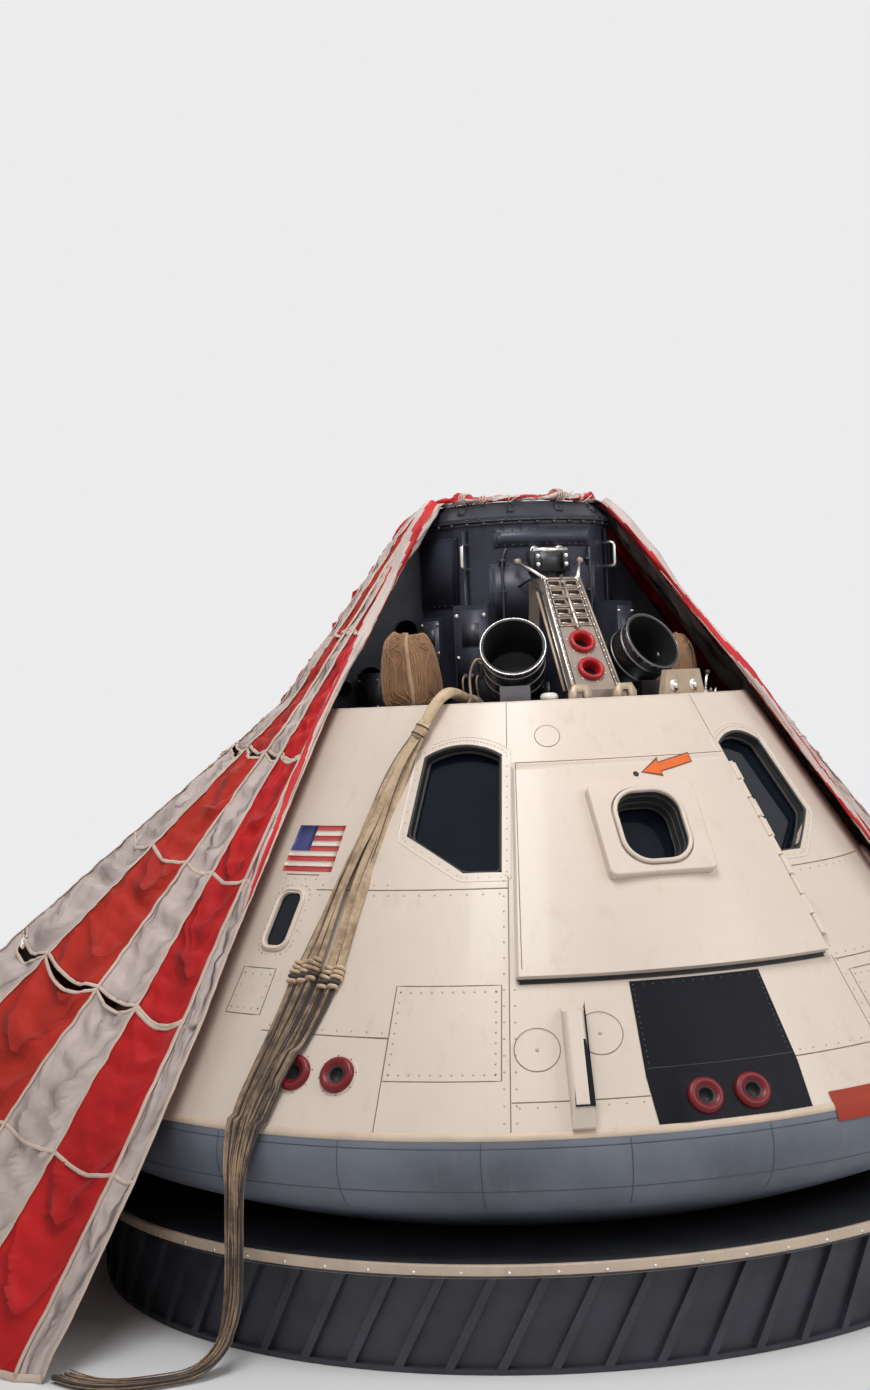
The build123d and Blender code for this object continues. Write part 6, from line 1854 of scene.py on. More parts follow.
def add_grab_bar(batch):
    """The dark box behind the grab bar on two brackets, and sleeves on the bar and on the two rod loops."""
    s, o, u = radial_axes(0)
    box_at(batch, around(0, TUNNEL_R + 0.018, DECK_Z + 0.600), s, o, u, (0.170, 0.050, 0.085), 3)
    for x in (-0.062, 0.062):
        box_at(batch, around(0, TUNNEL_R + 0.050, DECK_Z + 0.600) + s * x, s, o, u, (0.022, 0.018, 0.070), 2)
        for z in (0.620, 0.585):
            screw(batch, around(0, TUNNEL_R + 0.0590, DECK_Z + z) + s * x, o, 0.0050, 4)
    bar_y, bar_z = -0.455, DECK_Z + 0.646
    tube(batch, [Vector((-0.0755, bar_y, bar_z)), Vector((0.0755, bar_y, bar_z))], 0.0102, 18, 4)
    for x in (-0.055, 0.055):
        tube(batch, [Vector((x, bar_y, bar_z)), Vector((x, -TUNNEL_R - 0.004, bar_z))], 0.0100, 14, 4)
        lathe(batch, Vector((x, -TUNNEL_R - 0.001, bar_z)), Vector((0, -1, 0)),
              [(0.020, 0.0), (0.020, 0.005), (0.0, 0.005)], 18, 4)
    z0, z1, reach = 0.582, 0.682, 0.055
    loop = ((z0, 0.0), (z0, reach - 0.012), (z0 + 0.004, reach - 0.003), (z0 + 0.013, reach),
            (z1 - 0.013, reach), (z1 - 0.004, reach - 0.003), (z1, reach - 0.012), (z1, 0.0))
    for a in (-46.0, 46.0):
        tube(batch, [tunnel_wall(a, z, lift) for z, lift in loop], 0.0078, 12, 4)


def add_tunnel_pipes(batch):
    """Pipes and cables up the tunnel, each in three clips."""
    for a, z0, z1, r, mat in ((-18, 0.02, 0.35, 0.011, 5), (-14.5, 0.02, 0.34, 0.008, 2),
                              (17, 0.02, 0.35, 0.011, 5),
                              (20, 0.02, 0.33, 0.007, 6), (-26, 0.30, 0.66, 0.006, 6),
                              (27, 0.30, 0.66, 0.006, 6)):
        path = [tunnel_wall(a, z0, 0.020), tunnel_wall(a + 0.5, (z0 + z1) / 2, 0.022),
                tunnel_wall(a, z1 - 0.03, 0.020), tunnel_wall(a + 3, z1, 0.004)]
        tube(batch, spline_points("pipe", path), r, 10, mat)
        for z in (z0 + 0.06, (z0 + z1) / 2, z1 - 0.05):
            box_at(batch, tunnel_wall(a + 0.3, z, 0.012), *radial_axes(a + 0.3),
                   (2.6 * r + 0.012, 0.022, 0.010), 2)


def add_tunnel_boxes(batch):
    """Covers, screws, sockets and leads on the equipment boxes beside the tunnel."""
    socket = [(0.012, 0.0), (0.012, 0.010), (0.009, 0.014), (0.0, 0.014)]
    for az, width, depth, bottom, height in ((-40, 0.150, 0.110, 0.0, 0.430), (40, 0.150, 0.110, 0.0, 0.430),
                                             (-66, 0.120, 0.070, 0.090, 0.300),
                                             (66, 0.120, 0.070, 0.090, 0.300)):
        s, o, u = radial_axes(az)
        face = around(az, TUNNEL_R + depth, DECK_Z + bottom + height / 2)
        box_at(batch, face + o * 0.003, s, o, u, (width * 0.88, 0.008, height * 0.90), 1)
        box_at(batch, face + o * 0.008 + u * height * 0.22, s, o, u, (width * 0.5, 0.010, height * 0.22), 3)
        for x in (-1, 1):
            for y in (-1, 0, 1):
                p = face + s * (x * width * 0.40) + u * (y * height * 0.40) + o * 0.006
                screw(batch, p, o, 0.0048, 4)
        for x in (-0.03, 0.0, 0.03):
            p = face + s * x - u * height * 0.18
            lathe(batch, p + o * 0.006, o, socket, 16, 2)
            a = p + o * 0.018
            lead = [a, a + o * 0.025, a + o * 0.03 - u * 0.05, a + o * 0.004 - u * 0.09]
            tube(batch, spline_points("lead", lead), 0.0042, 8, 5)


def build_tunnel():
    """Doors, bands, grab bar, loops, ribs, pipes and boxes of the tunnel, and the docking ring's bolts."""
    batch = Batch()
    add_tunnel_doors(batch)
    # thin bright line under the docking ring, a dark gasket and a band with clamps
    turned(batch, DOCK_TOP_Z - 0.082, [(0.4335, 0.0005), (0.4350, 0.0030), (0.4335, 0.0058)], 160, 2)
    turned(batch, TUNNEL_TOP_Z - 0.016, [(0.4205, 0.0), (0.4265, 0.0012), (0.4265, 0.0130),
                                         (0.4205, 0.0145)], 160, 3)
    for k in range(36):
        a = 10 * k + 5
        box_at(batch, around(a, 0.4290, TUNNEL_TOP_Z - 0.0088), *radial_axes(a), (0.016, 0.010, 0.012), 6)
    add_grab_bar(batch)
    for a in (-94, -47, 47, 94, 145, 215):
        tunnel_plate(batch, a - 1.3, a + 1.3, 0.02, 0.742, 0.012, 0, 2)
    add_tunnel_pipes(batch)
    add_tunnel_boxes(batch)
    batch.make("tunnel_fittings", [M["tunnel"], M["tunnel_panel"], M["gusset"], M["dark_box"],
                                   M["steel"], M["cable"],
                                   M["dark_metal"]], slot="tunnel")
    ring = Batch()
    for k in range(48):
        s, o, u = radial_axes(7.5 * k)
        dome(ring, around(7.5 * k, 0.4325, DOCK_TOP_Z - 0.073), o, s, 0.0050, 0.0034, 0, 8)
    for k in range(12):
        a = 30 * k + 10
        s, o, u = radial_axes(a)
        n = (o * 0.64 + u * 0.67).normalized()
        p = around(a, 0.398, DOCK_TOP_Z - 0.0320)
        box_at(ring, p, s, n, s.cross(n), (0.030, 0.014, 0.042), 1)
        screw(ring, p + n * 0.007, n, 0.0055, 0)
    turned(ring, DOCK_TOP_Z, [(0.3315, 0.0), (0.334, 0.0035), (0.340, 0.0035), (0.3425, 0.0)], 128, 0)
    ring.make("docking_ring_fittings", [M["dark_metal"], M["ring_alloy"]], slot="docking_ring")


build_tunnel()


# boxes on the deck: azimuth, radius, width, depth, height, material
DECK_BOXES = ((-8.5, 0.60, 0.09, 0.12, 0.10, 4), (9.0, 0.62, 0.10, 0.14, 0.08, 4),
              (-31.0, 0.50, 0.12, 0.10, 0.16, 5), (33.0, 0.50, 0.12, 0.10, 0.18, 5),
              (74.0, 0.66, 0.22, 0.16, 0.15, 4), (-76.0, 0.66, 0.20, 0.16, 0.17, 4),
              (112.0, 0.68, 0.30, 0.22, 0.22, 4), (-112.0, 0.68, 0.30, 0.22, 0.22, 4),
              (150.0, 0.66, 0.24, 0.20, 0.18, 5), (-150.0, 0.66, 0.24, 0.20, 0.18, 5))


def add_deck_box(batch, a, r, w, d, h, mat):
    """A box standing on the deck, with a cover on its outer face and a screw in each corner."""
    s, o, u = radial_axes(a)
    c = around(a, r, DECK_Z + h / 2)
    box_at(batch, c, s, o, u, (w, d, h), mat)
    box_at(batch, c + o * (d / 2 + 0.002), s, o, u, (w * 0.86, 0.005, h * 0.80), 5)
    for x in (-1, 1):
        for y in (-1, 1):
            screw(batch, c + o * (d / 2 + 0.004) + s * (x * w * 0.37) + u * (y * h * 0.32), o,
                  0.0042, 1, False)


def add_deck_clips(batch):
    """Knobs and bolts of the sling bracket, and a lever and chrome clamps beside it."""
    s, o, u = radial_axes(SLING_AZ)
    sling = around(SLING_AZ, DECK_R - 0.015, DECK_Z)
    knob = [(0.0, 0.012), (0.010, 0.012), (0.012, 0.008), (0.012, 0.003), (0.024, 0.003), (0.026, 0.0005),
            (0.026, -0.001)]
    for x in (-0.058, 0.058):
        lathe(batch, sling + s * x + u * 0.064, o, knob, 20, 1)
    for x in (-0.108, -0.036, 0.036, 0.108):
        screw(batch, sling + s * x + u * 0.016, o, 0.0050, 1)
    s, o, u = radial_axes(35.5)
    base = around(35.5, DECK_R - 0.060, DECK_Z)
    tip = base + s * 0.052 + u * 0.112
    box_at(batch, base + u * 0.020, s, o, u, (0.070, 0.045, 0.040), 1)
    tube(batch, [base + s * 0.028 + u * 0.040, base + s * 0.034 + u * 0.075, tip], 0.0060, 10, 1)
    lathe(batch, tip, UP, [(0.0, -0.010), (0.009, -0.007), (0.011, 0.0), (0.009, 0.008), (0.0, 0.011)], 16,
          5)
    for a in (32.0, 38.5, 41.5):
        s, o, u = radial_axes(a)
        p = around(a, DECK_R - 0.045, DECK_Z)
        box_at(batch, p + u * 0.012, s, o, u, (0.030, 0.034, 0.024), 1)
        tube(batch, [p + u * 0.024 - s * 0.012, p + u * 0.044, p + u * 0.024 + s * 0.012], 0.0046, 10, 1)
        screw(batch, p + u * 0.012 + o * 0.017, o, 0.0048, 1)


def build_deck():
    """The deck's edge strip, bolts, cap, boxes, clips and hoses, and lips round the gussets' holes."""
    batch = Batch()
    turned(batch, DECK_Z, [(DECK_R - 0.030, 0.0), (DECK_R - 0.029, 0.003), (DECK_R - 0.008, 0.003),
                           (DECK_R - 0.007, 0.0)], 200, 0)
    for k in range(120):
        a = 3 * k + 1.5
        s, o, u = radial_axes(a)
        dome(batch, around(a, DECK_R - 0.0185, DECK_Z + 0.003), u, s, 0.0048, 0.0036, 1, 7)
    # rim of the cone above the deck: a lip in the lighter copy of the hull paint
    turned(batch, TOP_Z, [(DECK_R + 0.0005, -0.008), (DECK_R + 0.0005, 0.0008), (CONE_TOP_R - 0.001, 0.0012),
                          (CONE_TOP_R + 0.0022, -0.0015)], 240, 2)
    # mushroom cap
    lathe(batch, around(-12.8, DECK_R - 0.038, DECK_Z), UP,
          [(0.0350, 0.0), (0.0350, 0.007), (0.0312, 0.009), (0.0308, 0.030), (0.0345, 0.034),
           (0.0355, 0.042),
           (0.0310, 0.052), (0.0200, 0.0575), (0.0, 0.0590)], 40, 3)
    for box in DECK_BOXES:
        add_deck_box(batch, *box)
    add_deck_clips(batch)
    for a0, a1, r, z in ((-44, -27, DECK_R - 0.085, 0.012), (27, 46, DECK_R - 0.100, 0.012),
                         (-20, 20, 0.640, 0.014)):
        path = [around(a0 + (a1 - a0) * k / 8, r + 0.010 * math.sin(2.4 * k), DECK_Z + z) for k in range(9)]
        tube(batch, spline_points("hose", path), 0.0095, 10, 6)
    batch.make("bay_fittings", [M["gusset"], M["steel"], M["hull_light"], M["white_cap"], M["tunnel_panel"],
                                M["dark_box"], M["cable"]], slot="deck")
    lips = Batch()
    for a in (-90, 90, 180):
        s, o, u = radial_axes(a)
        for r, h, hole in ((0.520, 0.150, 0.068), (0.665, 0.150, 0.048), (0.500, 0.340, 0.050),
                           (0.785, 0.110, 0.034)):
            lip = [(hole - 0.001, -0.004), (hole, 0.003), (hole + 0.005, 0.004), (hole + 0.009, -0.0005)]
            for k in (-1, 1):
                lathe(lips, around(a, r, DECK_Z + h) + s * (k * 0.018), s * k, lip, 36, 0)
    lips.make("gusset_lips", [M["gusset"]], slot="gusset")


build_deck()


# Soft packs in the bay
PACK_SIDES, PACK_ROWS = 64, 34


def squared(x, power=0.42):
    """x from -1 to 1, pushed towards its ends, which squares a circle's corners."""
    return math.copysign(abs(x) ** power, x)


def cushion(az, r, w, d, h, seed, lean):
    """Points, faces and up vector of a stuffed bag on the deck, with bulging faces, creases and pleats."""
    s, o, u = radial_axes(az)
    base = around(az, r, DECK_Z)
    puff = 0.022
    rows = []
    for j in range(PACK_ROWS + 1):
        ph = math.pi * (j / PACK_ROWS - 0.5)
        zz = squared(math.sin(ph))
        rr = max(0.0, math.cos(ph)) ** 0.36
        for i in range(PACK_SIDES):
            th = 2 * math.pi * i / PACK_SIDES
            rows.append((squared(math.cos(th)) * rr, squared(math.sin(th)) * rr, zz))
    arr = np.array(rows)
    lump = perlin(arr[:, 0] * 1.9 + arr[:, 2], arr[:, 1] * 1.9 + arr[:, 2] * 0.7, seed)
    grow = creases(arr[:, 0] * 3.6 + 2 * arr[:, 1], arr[:, 2] * 3.0 + 1.3 * arr[:, 1], seed + 1, 3, 0.4)
    grow = 1 + 0.05 * lump + 0.035 * grow
    flat = np.clip((arr[:, 2] + 1.0) / 0.12, 0, 1)
    arr[:, 0] *= (w / 2 - puff) * grow
    arr[:, 1] *= (d / 2 - puff) * grow
    for axis, other, half in ((1, 0, w / 2), (0, 1, d / 2)):
        bulge = 1 - (arr[:, other] / half) ** 2
        arr[:, axis] += np.sign(arr[:, axis]) * puff * bulge * (1 - np.abs(arr[:, 2]) ** 2)
    up = (arr[:, 2] + 1) / 2
    th = np.arctan2(arr[:, 1] / d, arr[:, 0] / w)
    pleats = np.sin(9 * th + 2.5 * np.sin(3.1 * up + seed)) + 0.6 * np.sin(17 * th + 4 * up)
    slim = (1 - 0.22 * up ** 1.6) * (1 + 0.022 * pleats * np.clip(4 * up * (1 - up), 0, 1))
    arr[:, 0] = arr[:, 0] * slim + lean * w * (0.35 + 0.65 * up)
    arr[:, 1] = arr[:, 1] * slim
    arr[:, 2] = up * h * (1 + 0.05 * lump * flat - 0.05 * (arr[:, 0] / w + 0.5) * up) * 0.97
    arr[:, 2] = np.maximum(arr[:, 2], 0.001)
    pts = [base + s * float(x) + o * float(y) + u * float(z) for x, y, z in arr]
    return pts, grid_faces(PACK_SIDES, PACK_ROWS + 1, True), u


def build_pack(name, node, az, margin, w, d, h, seed, slim, lean):
    """A stuffed pack in its net, with straps round it and a frayed lower edge."""
    pts, faces, u = cushion(az, DECK_R - margin - d / 2, w * slim, d, h, seed, lean)
    pack = new_object(name, pts, faces, [M["pack"]])
    P = np.array([tuple(p) for p in pts]).reshape(PACK_ROWS + 1, PACK_SIDES, 3)
    centre = P.mean(axis=(0, 1))
    net = Batch()

    def on_pack(v, th, lift):
        """The point at the share v of the height and the angle th round the pack, lifted off it."""
        j = np.clip(v, 0, 1) * PACK_ROWS
        i = (th / (2 * math.pi) * PACK_SIDES) % PACK_SIDES
        j0, i0 = int(min(j, PACK_ROWS - 1)), int(i)
        fj, fi, i1 = j - j0, i - i0, (i0 + 1) % PACK_SIDES
        q = ((P[j0, i0] * (1 - fi) + P[j0, i1] * fi) * (1 - fj)
             + (P[j0 + 1, i0] * (1 - fi) + P[j0 + 1, i1] * fi) * fj)
        out = q - centre
        out /= np.linalg.norm(out)
        return Vector(tuple(q + out * lift))

    for k in range(30):
        for turn in (-1, 1):
            angles = [2 * math.pi * k / 30 + turn * 1.1 * q / 40 + 0.05 * math.sin(0.9 * q + k)
                      for q in range(41)]
            path = [on_pack(0.04 + 0.92 * q / 40, th, 0.0016) for q, th in enumerate(angles)]
            tube(net, path, 0.0020, 5, 0, False)
    for th in (math.pi * 0.36, math.pi * 1.30, math.pi * 1.72):
        path = [on_pack(0.06 + 0.92 * q / 30, th + 0.06 * math.sin(0.4 * q), 0.0050) for q in range(31)]
        tube(net, path, 0.0080, 8, 1, False, 0.35)
    rng = random.Random(seed)
    for k in range(90):
        th = 2 * math.pi * k / 90
        a = on_pack(0.10, th, 0.002)
        b = on_pack(0.05, th + rng.uniform(-0.06, 0.06), rng.uniform(0.006, 0.018))
        tube(net, [a, b, b - u * 0.004], 0.0016, 5, 0)
    net.make(name + "_net", [M["net"], M["tan_strap"]], slot="pack")
    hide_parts(node)


build_pack("net_pack_left", "pack_left", -52.0, 0.075, 0.300, 0.240, 0.330, 3, 0.74, -0.17)
build_pack("net_pack_right", "pack_right", 55.0, 0.185, 0.280, 0.190, 0.290, 9, 0.95, 0.02)


def build_ring_cloth():
    """The canopy's rolled edge lying over the front of the docking ring, with ties at its ends."""
    batch = Batch()
    n, first_az, span = 190, -78.0, 136.0
    bunches = ((15.0, 5.5, 0.014), (-55.0, 7.0, 0.016), (48.0, 6.0, 0.014), (-70.0, 6.0, 0.012))
    path, radii = [], []
    for i in range(n):
        az = first_az + span * i / (n - 1)
        lump = [math.exp(-((az - at) / width) ** 2) * high for at, width, high in bunches]
        lump = (lump[0] + lump[1]) + (lump[2] + lump[3])
        r = 0.0150 + 0.85 * lump + 0.0022 * float(perlin(i * 0.13, 0.5, 21))
        rr = 0.360 + 0.006 * float(perlin(i * 0.06, 2.5, 22))
        path.append(around(az, rr, DOCK_TOP_Z + 0.006 + 0.72 * r))
        radii.append(r)
    rolled(batch, path, radii, 23)
    batch.make("ring_cloth", [M["roll_pale"], M["roll_red"]], slot="canopy")
    ties = Batch()
    frames = frames_along(path)
    for az, count in ((-50.0, 3), (-38.0, 2), (-20.0, 1), (14.0, 3), (33.0, 2)):
        i = int((az - first_az) / span * (n - 1))
        p, r, (t, s, u) = path[i], radii[i], frames[i]
        for c in range(count):
            middle = p + t * (0.012 * (c - (count - 1) / 2))
            loop = [on_ellipse(middle, s, u, r * 1.22 + 0.003, r * 0.86 + 0.003, 2 * math.pi * q / 20)
                    for q in range(21)]
            tube(ties, loop, 0.0030, 7, 0, False)
        for sgn in (-1, 1):
            side = s * (sgn * (r + 0.030))
            tail = [p + u * (r * 0.8), p + u * (r * 0.9 + 0.012) + s * (0.02 * sgn),
                    p + u * 0.004 + side + t * 0.02,
                    p - u * 0.006 + side + t * 0.045]
            tube(ties, spline_points("tie", tail), 0.0024, 6, 0)
    ties.make("ring_ties", [M["tape"]], slot="canopy")


build_ring_cloth()


# Cabin
COUCH_TOP = [(-0.928, 0.103), (-0.66, 0.100), (-0.60, 0.076), (0.10, 0.074), (0.17, 0.100), (0.385, 0.408),
             (0.44, 0.398), (0.78, 0.285)]
COUCH_LOW = [(-0.928, 0.004), (-0.66, 0.004), (-0.60, 0.004), (0.13, 0.004), (0.20, 0.020), (0.415, 0.322),
             (0.45, 0.325), (0.755, 0.223)]


def couch_line(line, count):
    """Evenly spaced, eased points along a couch's upper or lower line, and their arc lengths."""
    pts, cum = np.array(line), arc_lengths(np.array(COUCH_TOP))
    s = np.linspace(0, cum[-1], count)
    y, z = np.interp(s, cum, pts[:, 0]), np.interp(s, cum, pts[:, 1])
    ease(3, y, z)
    return y, z, s


def build_couch(name, node, x0):
    """A couch pad in sewn channels, crowned between its sides, over the couch's own side outline."""
    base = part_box(node)[0].z
    nv, nu, half, channel = 170, 56, 0.268, 0.105
    ty, tz, s = couch_line(COUCH_TOP, nv)
    by, bz, _ = couch_line(COUCH_LOW, nv)
    verts = []
    for j in range(nv):
        groove = abs(math.sin(math.pi * s[j] / channel)) ** 0.45
        end = min(1.0, min(s[j], s[-1] - s[j]) / 0.035)
        end = math.sin(end * math.pi / 2) ** 0.6
        mid_y, mid_z = (ty[j] + by[j]) / 2, (tz[j] + bz[j]) / 2
        dy, dz = ty[j] - by[j], tz[j] - bz[j]
        thick = math.hypot(dy, dz)
        for i in range(nu):
            a = 2 * math.pi * i / nu
            x, v = squared(math.cos(a), 0.22), squared(math.sin(a), 0.45)
            across = x * (half - 0.007 * (1 - groove) - 0.006 * math.sin(math.pi * s[j] / s[-1]))
            lift = max(v, 0) * (0.020 * (1 - 0.35 * x * x) * groove - 0.020)
            y = by[j] + dy * (v + 1) / 2 + lift * dy / thick
            z = bz[j] + dz * (v + 1) / 2 + lift * dz / thick
            verts.append(Vector((x0 + across * (0.985 + 0.015 * end), mid_y + (y - mid_y) * end,
                                 base + mid_z + (z - mid_z) * end)))
    faces = grid_faces(nu, nv, True) + end_caps(nu, nv)
    pad = new_object(name, verts, faces, [M["couch"]])
    # piping along both edges, two harness straps and a buckle plate
    trim = Batch()
    for x in (0.014 - half, half - 0.014):
        tube(trim, [Vector((x0 + x, ty[j], base + tz[j] - 0.012)) for j in range(3, nv - 3, 2)],
             0.0050, 7, 0)
    for x in (-0.11, 0.11):
        path, normals = [], []
        for j in range(60, nv - 34):
            up = np.array((0.0, ty[j] - by[j], tz[j] - bz[j]))
            up /= np.linalg.norm(up)
            path.append(np.array((x0 + x * (1 - 0.25 * (j - 60) / 80), ty[j], base + tz[j])) + 0.002 * up)
            normals.append(up)
        ribbon(trim, path, normals, 0.046, 0.0, 1, 0.0018)
    buckle = 84
    box_at(trim, Vector((x0, ty[buckle], base + tz[buckle] + 0.008)), Vector((1, 0, 0)),
           Vector((0, 1, 0)), UP,
           (0.220, 0.060, 0.014), 2)
    trim.make(name + "_straps", [M["pack"], M["webbing"], M["steel"]], slot="couch_fabric", bevel=0.002)
    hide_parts(node)


for side_name, side_x in (("left", -0.590), ("centre", 0.0), ("right", 0.590)):
    build_couch("couch_pad_" + side_name, "couch_" + side_name, side_x)


def build_cabin():
    """Plain knobs, switches and dark displays on the panel, and stowage boxes round the wall."""
    batch = Batch()
    low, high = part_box("instrument_panel")
    x_dir, y_dir, down = Vector((1, 0, 0)), Vector((0, -1, 0)), Vector((0, 0, -1))
    rng = random.Random(12)
    for bay in (-0.430, 0.0, 0.430):
        c = Vector((bay, (low.y + high.y) / 2, low.z + 0.008))
        box_at(batch, c + down * 0.002, x_dir, y_dir, down, (0.335, 0.385, 0.004), 0)
        for x in (-0.085, 0.085):
            p = c + x_dir * x + y_dir * 0.130
            box_at(batch, p + down * 0.007, x_dir, y_dir, down, (0.120, 0.090, 0.010), 1)
            box_at(batch, p + down * 0.0125, x_dir, y_dir, down, (0.100, 0.070, 0.002), 2)
        for r in range(4):
            for k in range(9):
                p = c + x_dir * (-0.136 + 0.034 * k) + y_dir * (0.045 - 0.045 * r) + down * 0.004
                if (k * 5 + r * 3) % 7 == 0:
                    lathe(batch, p, down, [(0.012, 0.0), (0.012, 0.010), (0.010, 0.013), (0.0, 0.013)], 16,
                          1)
                else:
                    lathe(batch, p, down, [(0.0065, 0.0), (0.0065, 0.003), (0.0, 0.003)], 12, 3)
                    lean = rng.choice((-0.35, 0.35))
                    tube(batch, [p, p + down * 0.017 + y_dir * (0.017 * lean)], 0.0022, 7, 3)
        for k in range(4):
            p = c + x_dir * (-0.12 + 0.08 * k) + y_dir * -0.150 + down * 0.004
            lathe(batch, p, down, [(0.026, 0.0), (0.026, 0.008), (0.023, 0.010), (0.0215, 0.006),
                                   (0.0, 0.006)], 28, 1)
            tube(batch, [p + down * 0.0075, p + down * 0.0075 + (x_dir * 0.6 + y_dir * 0.8) * 0.016],
                 0.0012, 6, 3)
    for a in range(105, 260, 22):
        s, o, u = radial_axes(a)
        for z, r in ((0.30, 1.46), (0.62, 1.27)):
            c = around(a, r, BASE_Z + z)
            box_at(batch, c, s, o, u, (0.40, 0.16, 0.26), 4)
            box_at(batch, c - o * 0.082, s, o, u, (0.36, 0.006, 0.22), 0)
            for x in (-0.13, 0.13):
                box_at(batch, c - o * 0.088 + s * x + u * 0.07, s, o, u, (0.030, 0.008, 0.045), 3)
    batch.make("cabin_fittings", [M["panel"], M["dark_metal"], M["display"], M["steel"], M["cabin"]],
               slot="panel",
               bevel=0.0015)
    inside = Batch()
    side, up, out = cone_axes(0.0)
    c = on_cone(0.0, 0.640, -0.150)
    path = [c + side * x + up * y - out * 0.002 for x, y in rounded_rect(0.62, 0.40, 0.06, 6)]
    tube(inside, path + [path[0]], 0.0075, 10, 0, False)
    tube(inside, [c - side * 0.10 - out * 0.042, c - side * 0.10 - out * 0.080,
                  c + side * 0.10 - out * 0.080,
                  c + side * 0.10 - out * 0.042], 0.0090, 12, 1)
    for x in (-0.26, -0.20, 0.20, 0.26):
        lathe(inside, c + side * x, -out, [(0.022, 0.0), (0.022, 0.012), (0.016, 0.018), (0.0, 0.018)], 20,
              0)
    inside.make("hatch_inner_fittings", [M["steel"], M["ring_alloy"]], HATCH, slot="hatch")


M["display"] = painted("display_dark", (0.010, 0.014, 0.018), rough=0.16, vary=0.3, scale=12, coat=0.6)
build_cabin()


# Heat shield and display ring
def shield_point(az, z, lift=0.0):
    """A point on the shield's rounded corner, by its height."""
    low = max(-CORNER_R, min(CORNER_R * SIN, z - CORNER_Z))
    return around(az, MAX_R - CORNER_R + math.sqrt((CORNER_R + lift) ** 2 - low ** 2), CORNER_Z + low)


def build_shield():
    """Joints between the shield's blocks, a near-black annulus on the ring's top as painted shade under the
    shield, and the rivets round its band.
    """
    batch = Batch()
    top, fall = BASE_Z - 0.028, BASE_Z - CORNER_Z + 0.130
    for az in range(4, 364, 15):
        pts = [shield_point(az, top - fall * q / 14) for q in range(15)]
        line_on(batch, pts, [radial_axes(az)[1]] * 15, 0.0045, 0.0010)
    for z in (CORNER_Z + 0.060, CORNER_Z - 0.085):
        pts = [shield_point(2 * k, z) for k in range(180)]
        normals = [Vector((p.x, p.y, (z - CORNER_Z) * 4)).normalized() for p in pts]
        line_on(batch, pts, normals, 0.0045, 0.0010, close=True)
    batch.make("shield_joints", [M["shield_line"]], slot="heat_shield")
    ring = Batch()
    low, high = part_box("display_ring_band")
    radius = (high.x - low.x) / 2
    for k in range(72):
        az = 5 * k + 1.2
        s, o, u = radial_axes(az)
        dome(ring, around(az, radius - 0.001, (low.z + high.z) / 2 - 0.004), o, s, 0.0070, 0.0040, 0, 8)
    turned(ring, low.z, [(radius - 0.001, 0.002), (radius + 0.002, 0.004), (radius + 0.002, 0.009),
                         (radius - 0.001, 0.011)], 240, 1)
    # a near-black annulus on the ring's top: painted shade under the shield
    turned(ring, high.z, [(1.20, 0.0010), (1.20, 0.0030), (radius - 0.016, 0.0030),
                          (radius - 0.014, -0.0010)],
           240, 2)
    ring.make("ring_fittings", [M["steel"], M["dark_metal"], M["ring_top_shade"]], slot="ring_band")


# near-black paint for the ring's top: painted shade
M["ring_top_shade"] = painted("ring_top_shade", (0.024, 0.025, 0.032), rough=0.7, vary=0.3, scale=6, spec=0.2)
M["shield_line"] = painted("shield_joint", (0.060, 0.066, 0.085), rough=0.6, vary=0.2, scale=20)
build_shield()


# Stage and light
BACKGROUND = (0.84, 0.84, 0.85, 1)
WORLD_LIGHT = 0.37
# the floor turns into the background over this distance from the axis
FADE_FROM, FADE_OVER = 3.4, 4.6


def seen_ray(nt):
    """One for rays that show the background: from the camera, or by way of gloss or glass."""
    rays = node(nt, "ShaderNodeLightPath").outputs
    straight = math_node(nt, "MAXIMUM", rays["Is Camera Ray"], rays["Is Transmission Ray"])
    return math_node(nt, "MAXIMUM", straight, rays["Is Glossy Ray"])


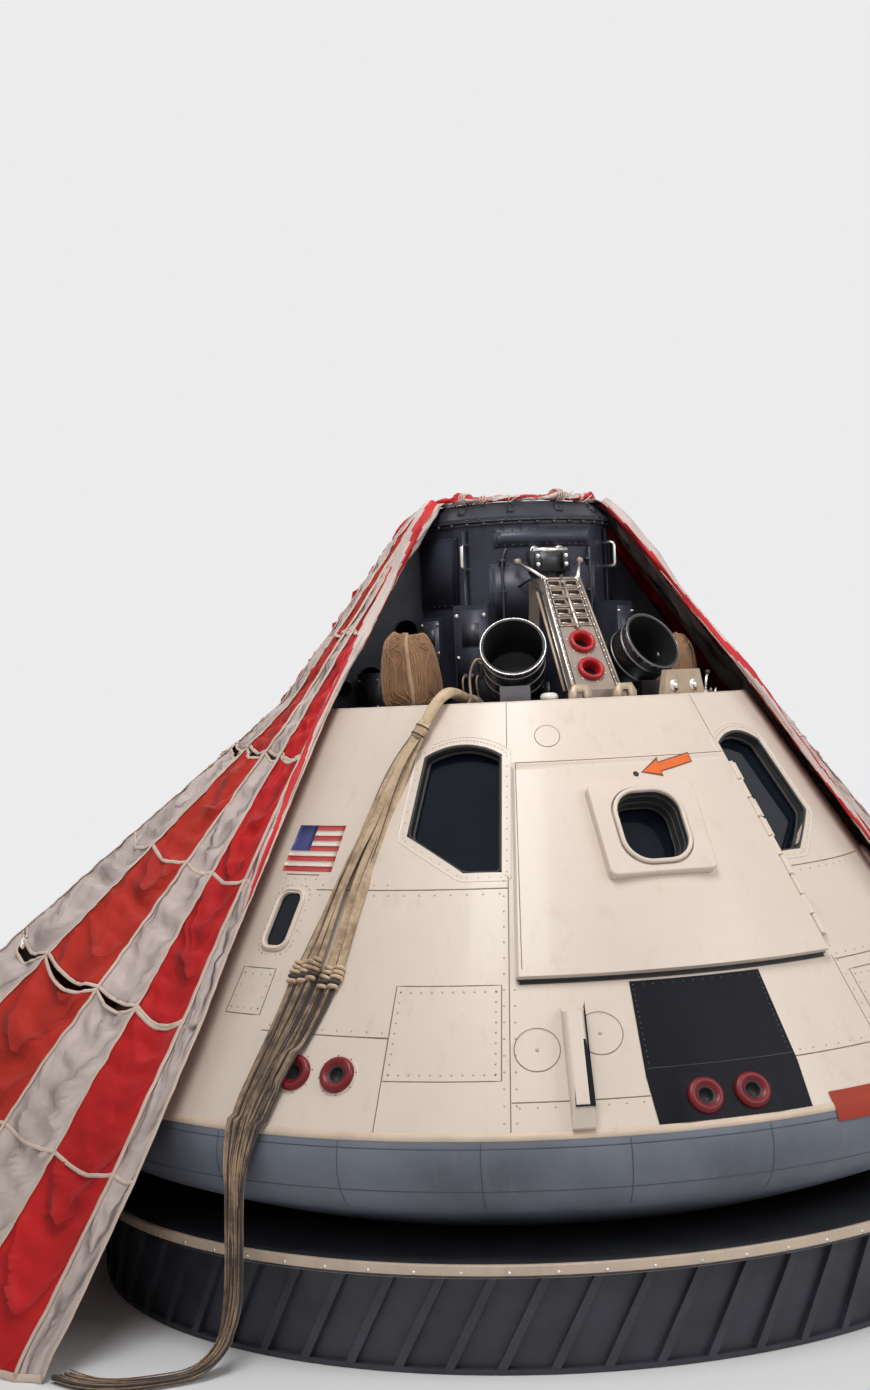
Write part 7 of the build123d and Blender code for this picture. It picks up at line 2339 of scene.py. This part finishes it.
def make_stage():
    """A pale floor that fades into the background, and a world that shows it."""
    mat, nt, p = nodes_of("floor_pale")
    sep = node(nt, "ShaderNodeSeparateXYZ")
    link(nt, node(nt, "ShaderNodeTexCoord").outputs["Object"], sep.inputs[0])
    x, y = sep.outputs[0], sep.outputs[1]
    away = math_node(nt, "SQRT", math_node(nt, "ADD", times(nt, x, x), times(nt, y, y)))
    fade = math_node(nt, "DIVIDE", math_node(nt, "SUBTRACT", away, FADE_FROM), FADE_OVER, True)
    p.inputs["Base Color"].default_value = (0.80, 0.80, 0.80, 1)
    finish_shader(p, rough=0.85)
    glow = node(nt, "ShaderNodeEmission", Color=BACKGROUND)
    shown = node(nt, "ShaderNodeMixShader")
    link(nt, times(nt, fade, seen_ray(nt)), shown.inputs[0])
    link(nt, p.outputs[0], shown.inputs[1])
    link(nt, glow.outputs[0], shown.inputs[2])
    link(nt, shown.outputs[0], nt.nodes["Material Output"].inputs[0])
    verts = [around(a * 5, r, -0.002) for r in (0.01, 4, 9, 16, 40, 90) for a in range(72)]
    mesh = bpy.data.meshes.new("stage_floor")
    mesh.from_pydata([tuple(v) for v in verts], [], grid_faces(72, 6, True))
    mesh.materials.append(mat)
    floor = bpy.data.objects.new("stage_floor", mesh)
    bpy.context.scene.collection.objects.link(floor)

    world = bpy.data.worlds.new("world")
    bpy.context.scene.world = world
    world.use_nodes = True
    nt = world.node_tree
    background = nt.nodes["Background"]
    background.inputs["Color"].default_value = BACKGROUND
    strength = math_node(nt, "ADD", times(nt, seen_ray(nt), 1 - WORLD_LIGHT), WORLD_LIGHT)
    link(nt, strength, background.inputs["Strength"])


def area_light(name, az, elevation, distance, power, size):
    """A soft rectangular lamp aimed at the capsule's middle."""
    a, e = math.radians(az), math.radians(elevation)
    d = Vector((math.sin(a) * math.cos(e), -math.cos(a) * math.cos(e), math.sin(e)))
    data = bpy.data.lights.new(name, "AREA")
    data.shape, data.size, data.size_y = "RECTANGLE", size[0], size[1]
    data.energy = power
    obj = bpy.data.objects.new(name, data)
    bpy.context.scene.collection.objects.link(obj)
    obj.location = Vector((0, 0, 1.5)) + d * distance
    obj.rotation_mode = "QUATERNION"
    obj.rotation_quaternion = (-d).to_track_quat("-Z", "Y")


make_stage()
area_light("key", -27, 60, 7.0, 272, (2.3, 3.4))
area_light("fill", 35, 30, 9.0, 200, (5.0, 4.0))
area_light("back", 190, 45, 9.0, 170, (5.0, 4.0))

bpy.context.scene.view_settings.view_transform = "Standard"
